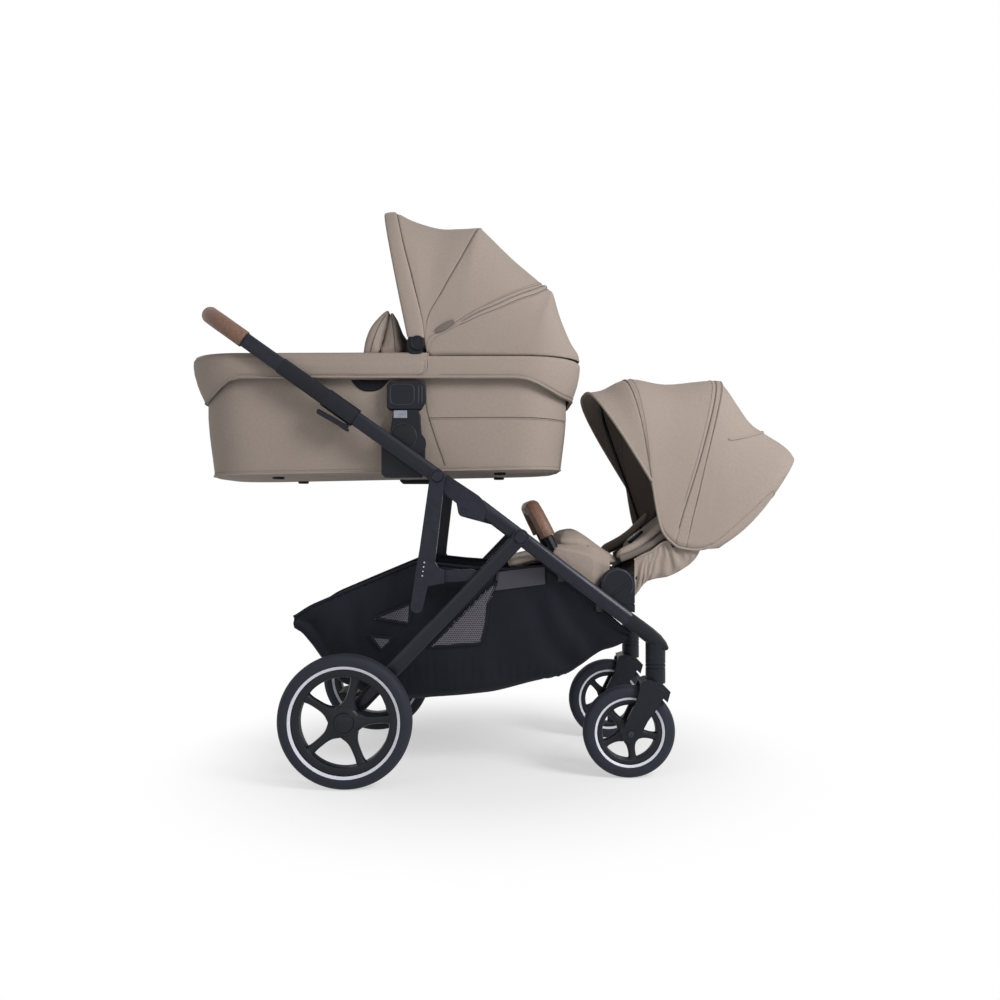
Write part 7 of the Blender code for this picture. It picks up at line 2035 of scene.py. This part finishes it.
    def skirt(self):
        """The backrest's skirt: both sides and the rear in one sheet, with soft gathers."""
        tops = [Vector((a, 0, b)) for a, b, _, _ in BACK_SKIRT]
        lows = [Vector((a, 0, b)) for _, _, a, b in BACK_SKIRT]
        down = Vector((math.sin(BACK_SLOPE), 0.0, -math.cos(BACK_SLOPE)))
        rows = []
        for i in range(57):
            place = (len(BACK_SKIRT) - 1) * i / 56
            top, low = through(tops, place), through(lows, place)
            section = []
            for share, y in ((0.0, 0.1830), (0.30, 0.1875), (0.62, 0.1885), (0.88, 0.1840), (1.0, 0.1700)):
                section.append(top.lerp(low, share) + Vector((0, -y, 0)))
            section += [low + down * 0.0030 + Vector((0, -0.100, 0)), low + down * 0.0045]
            section += [Vector((p.x, -p.y, p.z)) for p in reversed(section[:-1])]
            row = []
            for k in range(73):
                along = (len(section) - 1) * k / 72
                point = through(section, along)
                side = math.copysign(1.0, point.y)
                edge = min(along, 12 - along)
                fold = noise.noise(Vector((place * 1.9, edge * 0.55, 7.0))) * 0.0042
                fine = math.sin(place * 7.5 + 1.6 * edge + 2.0 * noise.noise(Vector((place, edge, 1.0)))) * 0.0010
                give = min(edge * 3.0, 1.0) * (1.0 if edge < 4 else 0.4)
                row.append(point + (Vector((0, side, 0)) if edge < 4 else down) * (fold + fine) * give)
            rows.append(row)
        cloth = cloth_sheet("backrest_skirt", rows, "taupe_cloth", 0.0022, sharp=60.0)
        ride(cloth, "backrest", "backrest_shell", slot="taupe")
        for index, mark in ((0, "R"), (-1, "L")):
            hem = [row[index] for row in rows]
            ride(section_sweep(f"backrest_skirt_hem_{mark}", smooth_path(hem, 0.004), round_section(0.0026, 10),
                               "piping"), "backrest")


class StrollerHarness(bpy.types.Operator):
    """Shoulder straps, their pads and the buckle"""

    bl_idname = "stroller.harness"
    bl_label = "Harness"

    def execute(self, context):
        up = Vector((-math.sin(BACK_SLOPE), 0.0, math.cos(BACK_SLOPE)))
        lift = BACK_RISE + 0.0232
        for side, mark in SIDES:
            path = []
            for reach, y, rise in ((0.108, 0.014, 0.0030), (0.140, 0.021, 0.0034), (0.175, 0.030, 0.0040),
                                   (0.230, 0.038, 0.0040), (0.290, 0.046, 0.0040), (0.340, 0.053, 0.0036),
                                   (0.376, 0.056, 0.0024)):
                x, z = back_point(reach, lift + rise)
                path.append(Vector((x, side * y, z)))
            strap = section_sweep(f"shoulder_strap_{mark}", smooth_path(path, 0.004), flat_section(0.021, 0.0018),
                                  "webbing", up=up)
            if side < 0:
                ride(strap, "backrest", "harness", slot="basket")
            else:
                ride(strap, "backrest")
            rings = []
            for reach, full in sampled(((0.180, 0.5), (0.190, 1.0), (0.260, 1.05), (0.325, 1.0), (0.335, 0.5)), 15):
                x, z = back_point(reach, lift + 0.0052)
                y = side * (0.030 + (reach - 0.175) * 0.137)
                rings.append([Vector((x, y, z)) + up * a + Vector((0, b, 0))
                              for a, b in oval(0.0052 * full, 0.0195, 24, 3.0)])
            pad = puff(f"shoulder_pad_{mark}", hull_mesh("strap_pad", rings), "dark_pad", 0.0, 0.0022, 0.002)
            ride(pad, "backrest")
        along = Vector((math.cos(BACK_SLOPE), 0.0, math.sin(BACK_SLOPE)))
        x, z = back_point(0.100, lift + 0.006)
        path = [Vector((x, 0.0, z)) + along * reach for reach in (-0.022, -0.020, -0.014, 0.0, 0.012, 0.018, 0.020)]
        sections = [[(a * wide, b * thick) for b, a in oval(0.006, 0.024, 20, 3.0)]
                    for wide, thick in ((0.80, 0.75), (0.90, 0.95), (1.0, 1.0), (1.0, 1.06), (0.98, 1.0), (0.86, 0.9),
                                        (0.78, 0.7))]
        ride(section_sweep("harness_buckle", path, sections, "moulded", up=up), "backrest")
        centre = Vector((x, 0.0, z)) + up * 0.0060
        ring = [centre + along * (0.0075 * math.cos(math.tau * k / 24))
                + Vector((0, 0.0075 * math.sin(math.tau * k / 24), 0)) for k in range(24)]
        ride(section_sweep("buckle_button_rim", ring, round_section(0.0008, 6), "bright_steel", closed=True, up=up),
             "backrest")
        return {"FINISHED"}


# Basket

def basket_section(x):
    """The basket's right half section at x, as (y, z) from the rim to the middle."""
    top = spline_flat(BASKET_RIM, x)
    low = spline_flat(BASKET_FLOOR, x)
    depth = top - low
    wide = 0.190 + 0.014 * step_blend(x, 0.02, 0.16)
    narrow = wide - 0.030 * min(depth / 0.20, 1.0)
    bend = min(0.035, depth * 0.35)
    return [(wide, top), (wide - 0.003, top - 0.25 * depth), (narrow + 0.004, low + bend * 1.5),
            (narrow - bend * 0.35, low + bend * 0.35), (narrow - bend * 1.4, low), (narrow * 0.4, low - 0.002)]


def spline_flat(profile, x):
    """Height of a side profile at x, rounded a little at its points."""
    total = 0.0
    for shift in (-0.012, -0.006, 0.0, 0.006, 0.012):
        place = min(max(x + shift, profile[0][0]), profile[-1][0])
        for (low_x, low_z), (high_x, high_z) in zip(profile, profile[1:]):
            if place <= high_x:
                total += low_z + (high_z - low_z) * (place - low_x) / (high_x - low_x)
                break
        else:
            total += profile[-1][1]
    return total / 5


def basket_point(x, place):
    """A point on the basket: place 0 is the right rim, 5 the middle, 11 the left rim."""
    half = basket_section(x)
    section = [Vector((x, -y, z)) for y, z in half] + [Vector((x, y, z)) for y, z in reversed(half)]
    return through(section, place)


class StrollerBasket(bpy.types.Operator):
    """The shopping basket: its cloth, gathered rim, net windows, piping and clips"""

    bl_idname = "stroller.basket"
    bl_label = "Basket"

    def execute(self, context):
        rows = []
        steps = 88
        for i in range(steps + 1):
            x = BASKET_REAR_X + BASKET_LENGTH * i / steps
            row = []
            for k in range(67):
                place = 11 * k / 66
                point = basket_point(x, place)
                edge = min(place, 11 - place)
                gather = math.exp(-(edge / 0.9) ** 2) * 0.0024
                hem = math.exp(-((point.z - 0.232) / 0.016) ** 2) * step_blend(0.18 - x, 0.0, 0.05)
                slant = x * 62 + point.z * 30 + 3.0 * noise.noise(Vector((x * 5, point.z * 7, 2.0)))
                big = math.sin(slant) * 0.0052 * (step_blend(x, 0.05, 0.13) + step_blend(-0.27 - x, 0.0, 0.05))
                ripple = math.sin(x * 410 + 2.2 * noise.noise(Vector((x * 21, place, 0))))
                sag = noise.noise(Vector((x * 15, place * 0.9, 4.0))) * 0.0070 * min(edge / 1.5, 1.0)
                foot = 0.405 if x > 0.02 else 0.262
                calm = (step_blend(x, -0.31, -0.285) * (1 - step_blend(x, 0.12, 0.16))
                        * step_blend(point.z, foot, foot + 0.02))
                sag *= 1 - 0.85 * calm
                big *= 1 - calm
                out = Vector((0, math.copysign(1.0, point.y), 0)) if edge < 3.2 else Vector((0, 0, -1))
                row.append(point + out * (gather * ripple * (edge > 0.04) + sag * (0.35 if sag > 0 else 1.0)
                                          + hem * math.sin(x * 300) * 0.0036 + big * min(edge / 1.2, 1.0)
                                          * math.exp(-(max(edge - 2.4, 0.0) / 0.8) ** 2)))
            rows.append(row)
        basket = cloth_sheet("basket_cloth", rows, "basket_cloth", 0.0022, sharp=60.0)
        ride(basket, "front_frame", "basket", slot="basket")
        for side, mark in ((0.0, "R"), (11.0, "L")):
            rim = [basket_point(BASKET_REAR_X + BASKET_LENGTH * k / 120, side) + Vector((0, 0, 0.0008))
                   for k in range(121)]
            cord = section_sweep(f"basket_rim_{mark}", rim, round_section(0.0034, 10), "basket_cloth")
            ride(cord, "front_frame")
        self.windows()
        self.clips()
        return {"FINISHED"}

    def windows(self):
        """Net windows in the basket's sides."""
        points = []
        normals = []
        frames = []
        shapes = (((-0.142, 0.290), (0.011, 0.440), (-0.009, 0.387), (-0.013, 0.345), (-0.024, 0.300)),
                  ((-0.264, 0.357), (-0.182, 0.3904), (-0.1865, 0.3438)),
                  ((-0.2753, 0.3172), (-0.222, 0.3105), (-0.2486, 0.2839)))
        sheer = ((0.011, 0.4604), (0.117, 0.4735), (0.119, 0.434), (0.004, 0.418))
        for side, mark in SIDES:
            panels = [self.panel(shape, side) for shape in shapes + (sheer,)]
            mesh = joined(f"basket_mesh_{mark}", panels)
            ride(mesh, "front_frame")
        for side in (-1, 1):
            for shape in shapes:
                loop = [self.on_side(x, z, side, 0.0036) for x, z in shape]
                frames.append([p for a, b in zip(loop, loop[1:] + loop[:1])
                               for p in [a.lerp(b, k / 8) for k in range(8)]])
                low_x, high_x = min(p[0] for p in shape), max(p[0] for p in shape)
                low_z, high_z = min(p[1] for p in shape), max(p[1] for p in shape)
                step = 0.0052
                row = 0
                z = low_z
                while z < high_z:
                    x = low_x + (step / 2 if row % 2 else 0.0)
                    while x < high_x:
                        if self.inside(x, z, shape):
                            points.append(self.on_side(x, z, side, 0.0040))
                            normals.append(Vector((0, side, 0.12)).normalized())
                        x += step
                    z += step * 0.866
                    row += 1
        made = net("basket_net", points, normals, 0.0030, 0.00045, "mesh_cord")
        ride(made, "front_frame")
        for n, loop in enumerate(frames):
            ride(section_sweep(f"basket_net_edge_{n + 1}", loop, flat_section(0.0072, 0.0034), "basket_cloth",
                               closed=True), "front_frame")

    def panel(self, shape, side):
        """One light mesh panel on the basket's side."""
        low_z, high_z = min(p[1] for p in shape) + 0.0006, max(p[1] for p in shape) - 0.0006
        rows = []
        for i in range(15):
            z = low_z + (high_z - low_z) * i / 14
            cuts = [(bx - ax) * (z - az) / (bz - az) + ax
                    for (ax, az), (bx, bz) in zip(shape, shape[1:] + shape[:1]) if (az > z) != (bz > z)]
            first, last = min(cuts), max(cuts)
            rows.append([self.on_side(first + (last - first) * k / 12, z, side, 0.0034) for k in range(13)])
        return cloth_sheet("mesh_panel", rows, "mesh_backing", 0.0007, flip=side > 0)

    def inside(self, x, z, shape):
        """True where (x, z) lies in the outline."""
        hit = False
        for (ax, az), (bx, bz) in zip(shape, shape[1:] + shape[:1]):
            if (az > z) != (bz > z) and x < (bx - ax) * (z - az) / (bz - az) + ax:
                hit = not hit
        return hit

    def on_side(self, x, z, side, lift):
        """A point on the basket's side wall at a height."""
        low, high = 0.0, 3.4
        for _ in range(24):
            middle = (low + high) / 2
            if basket_point(x, middle).z > z:
                low = middle
            else:
                high = middle
        point = basket_point(x, (low + high) / 2)
        return Vector((x, side * (abs(point.y) + lift), point.z))

    def clips(self):
        """The clips that hold the rim to the front tubes."""
        for side, mark in SIDES:
            for n, (x, z) in enumerate(((0.146, spline_flat(BASKET_RIM, 0.146) - 0.0124),
                                        (0.230, spline_flat(BASKET_RIM, 0.230) - 0.0124))):
                low, high = sorted((side * 0.2028, side * 0.2137))
                path = [Vector((x + 0.009, side * 0.2083, z + 0.026 * k / 6)) for k in range(7)]
                strap = section_sweep(f"basket_clip_{mark}{n + 1}", path, flat_section(0.018, high - low, 4), "webbing")
                ride(strap, "front_frame")


# Stage

class StrollerStage(bpy.types.Operator):
    """The floor, the soft light and the camera at the photo's angle"""

    bl_idname = "stroller.stage"
    bl_label = "Stage"

    def execute(self, context):
        settings = context.scene.stroller_stage
        mesh = bpy.data.meshes.new("floor")
        size = 30.0
        mesh.from_pydata([(-size, -size, 0), (size, -size, 0), (size, size, 0), (-size, size, 0)], [], [(0, 1, 2, 3)])
        floor = bpy.data.objects.new("floor", mesh)
        context.scene.collection.objects.link(floor)
        mesh.materials.append(self.floor_finish())
        world = bpy.data.worlds.new("sky")
        world.use_nodes = True
        context.scene.world = world
        nodes = world.node_tree.nodes
        back = nodes["Background"]
        back.inputs["Color"].default_value = (1.0, 1.0, 1.0, 1.0)
        back.inputs["Strength"].default_value = settings.sky
        bright = nodes.new("ShaderNodeBackground")
        bright.inputs["Color"].default_value = (1.0, 1.0, 1.0, 1.0)
        bright.inputs["Strength"].default_value = 1.0
        path = nodes.new("ShaderNodeLightPath")
        seen = nodes.new("ShaderNodeMath")
        seen.operation = "MAXIMUM"
        clear = nodes.new("ShaderNodeMath")
        clear.operation = "MAXIMUM"
        wire(world.node_tree, (path, "Is Glossy Ray", clear, 0), (path, "Is Transmission Ray", clear, 1),
             (path, "Is Camera Ray", seen, 0), (clear, 0, seen, 1))
        mix = nodes.new("ShaderNodeMixShader")
        wire(world.node_tree, (seen, 0, mix, 0), (back, 0, mix, 1), (bright, 0, mix, 2),
             (mix, 0, nodes["World Output"], "Surface"))
        for name, place, power, extent in (("key light", (2.0, -1.8, 2.1), settings.key_power, 1.1),
                                           ("fill light", (-2.2, -2.6, 1.9), settings.key_power * 0.13, 2.2)):
            data = bpy.data.lights.new(name, "AREA")
            data.energy = power
            data.size = extent
            light = bpy.data.objects.new(name, data)
            light.location = place
            aim = Vector((0.0, 0.0, 0.6)) - Vector(place)
            light.rotation_euler = aim.to_track_quat("-Z", "Y").to_euler()
            context.scene.collection.objects.link(light)
        camera_data = bpy.data.cameras.new("camera")
        camera_data.lens = settings.lens
        camera_data.sensor_width = 36.0
        camera_data.shift_x = 0.008
        camera_data.shift_y = 0.015
        camera = bpy.data.objects.new("camera", camera_data)
        camera.location = (0.0, -settings.distance, settings.height)
        camera.rotation_euler = (math.radians(90), 0.0, 0.0)
        context.scene.collection.objects.link(camera)
        context.scene.camera = camera
        context.scene.view_settings.view_transform = "Standard"
        return {"FINISHED"}

    def floor_finish(self):
        """A pale floor that turns to even white away from the object."""
        material = bpy.data.materials.new("pale_floor")
        material.use_nodes = True
        nodes = material.node_tree.nodes
        nodes.clear()
        out = nodes.new("ShaderNodeOutputMaterial")
        matt = nodes.new("ShaderNodeBsdfDiffuse")
        matt.inputs["Color"].default_value = (0.92, 0.92, 0.925, 1.0)
        white = nodes.new("ShaderNodeEmission")
        white.inputs["Color"].default_value = (1.0, 1.0, 1.0, 1.0)
        white.inputs["Strength"].default_value = 1.0
        place = nodes.new("ShaderNodeTexCoord")
        length = nodes.new("ShaderNodeVectorMath")
        length.operation = "LENGTH"
        fade = nodes.new("ShaderNodeMapRange")
        fade.interpolation_type = "SMOOTHSTEP"
        fade.inputs["From Min"].default_value = 0.30
        fade.inputs["From Max"].default_value = 0.84
        fade.inputs["To Min"].default_value = 0.50
        path = nodes.new("ShaderNodeLightPath")
        clear = nodes.new("ShaderNodeMath")
        clear.operation = "MAXIMUM"
        shown = nodes.new("ShaderNodeMath")
        shown.operation = "MAXIMUM"
        seen = nodes.new("ShaderNodeMath")
        seen.operation = "MULTIPLY"
        mix = nodes.new("ShaderNodeMixShader")
        wire(material.node_tree, (path, "Is Glossy Ray", clear, 0), (path, "Is Transmission Ray", clear, 1),
             (path, "Is Camera Ray", shown, 0), (clear, 0, shown, 1), (place, "Object", length, 0),
             (length, "Value", fade, "Value"), (fade, "Result", seen, 0), (shown, 0, seen, 1), (seen, 0, mix, 0),
             (matt, 0, mix, 1), (white, 0, mix, 2), (mix, 0, out, "Surface"))
        return material


# Add-on

OPERATORS = (StrollerChassisFinish, StrollerWheels, StrollerGrips, StrollerCotTub, StrollerCotBand,
             StrollerCotInside, StrollerCotHood, StrollerSeatPads, StrollerHarness, StrollerSeatHood,
             StrollerBasket, StrollerSmallParts, StrollerStage)
SETTINGS = (("stroller_cloth", StrollerClothSettings), ("stroller_chassis", StrollerChassisSettings),
            ("stroller_stage", StrollerStageSettings))


class StrollerPanel(bpy.types.Panel):
    """Lists the stroller's settings and steps"""

    bl_idname = "VIEW3D_PT_stroller"
    bl_label = "Stroller"
    bl_space_type = "VIEW_3D"
    bl_region_type = "UI"
    bl_category = "Stroller"

    def draw(self, context):
        layout = self.layout
        for attribute, group in SETTINGS:
            box = layout.box()
            for name in group.__annotations__:
                box.prop(getattr(context.scene, attribute), name)
        for operator in OPERATORS:
            layout.operator(operator.bl_idname)


def register():
    for _, group in SETTINGS:
        bpy.utils.register_class(group)
    for attribute, group in SETTINGS:
        setattr(bpy.types.Scene, attribute, bpy.props.PointerProperty(type=group))
    for operator in OPERATORS:
        bpy.utils.register_class(operator)
    bpy.utils.register_class(StrollerPanel)


def unregister():
    bpy.utils.unregister_class(StrollerPanel)
    for operator in reversed(OPERATORS):
        bpy.utils.unregister_class(operator)
    for attribute, _ in SETTINGS:
        delattr(bpy.types.Scene, attribute)
    for _, group in reversed(SETTINGS):
        bpy.utils.unregister_class(group)


def main():
    register()
    for operator in OPERATORS:
        group, name = operator.bl_idname.split(".")
        getattr(getattr(bpy.ops, group), name)()


if __name__ == "__main__":
    main()
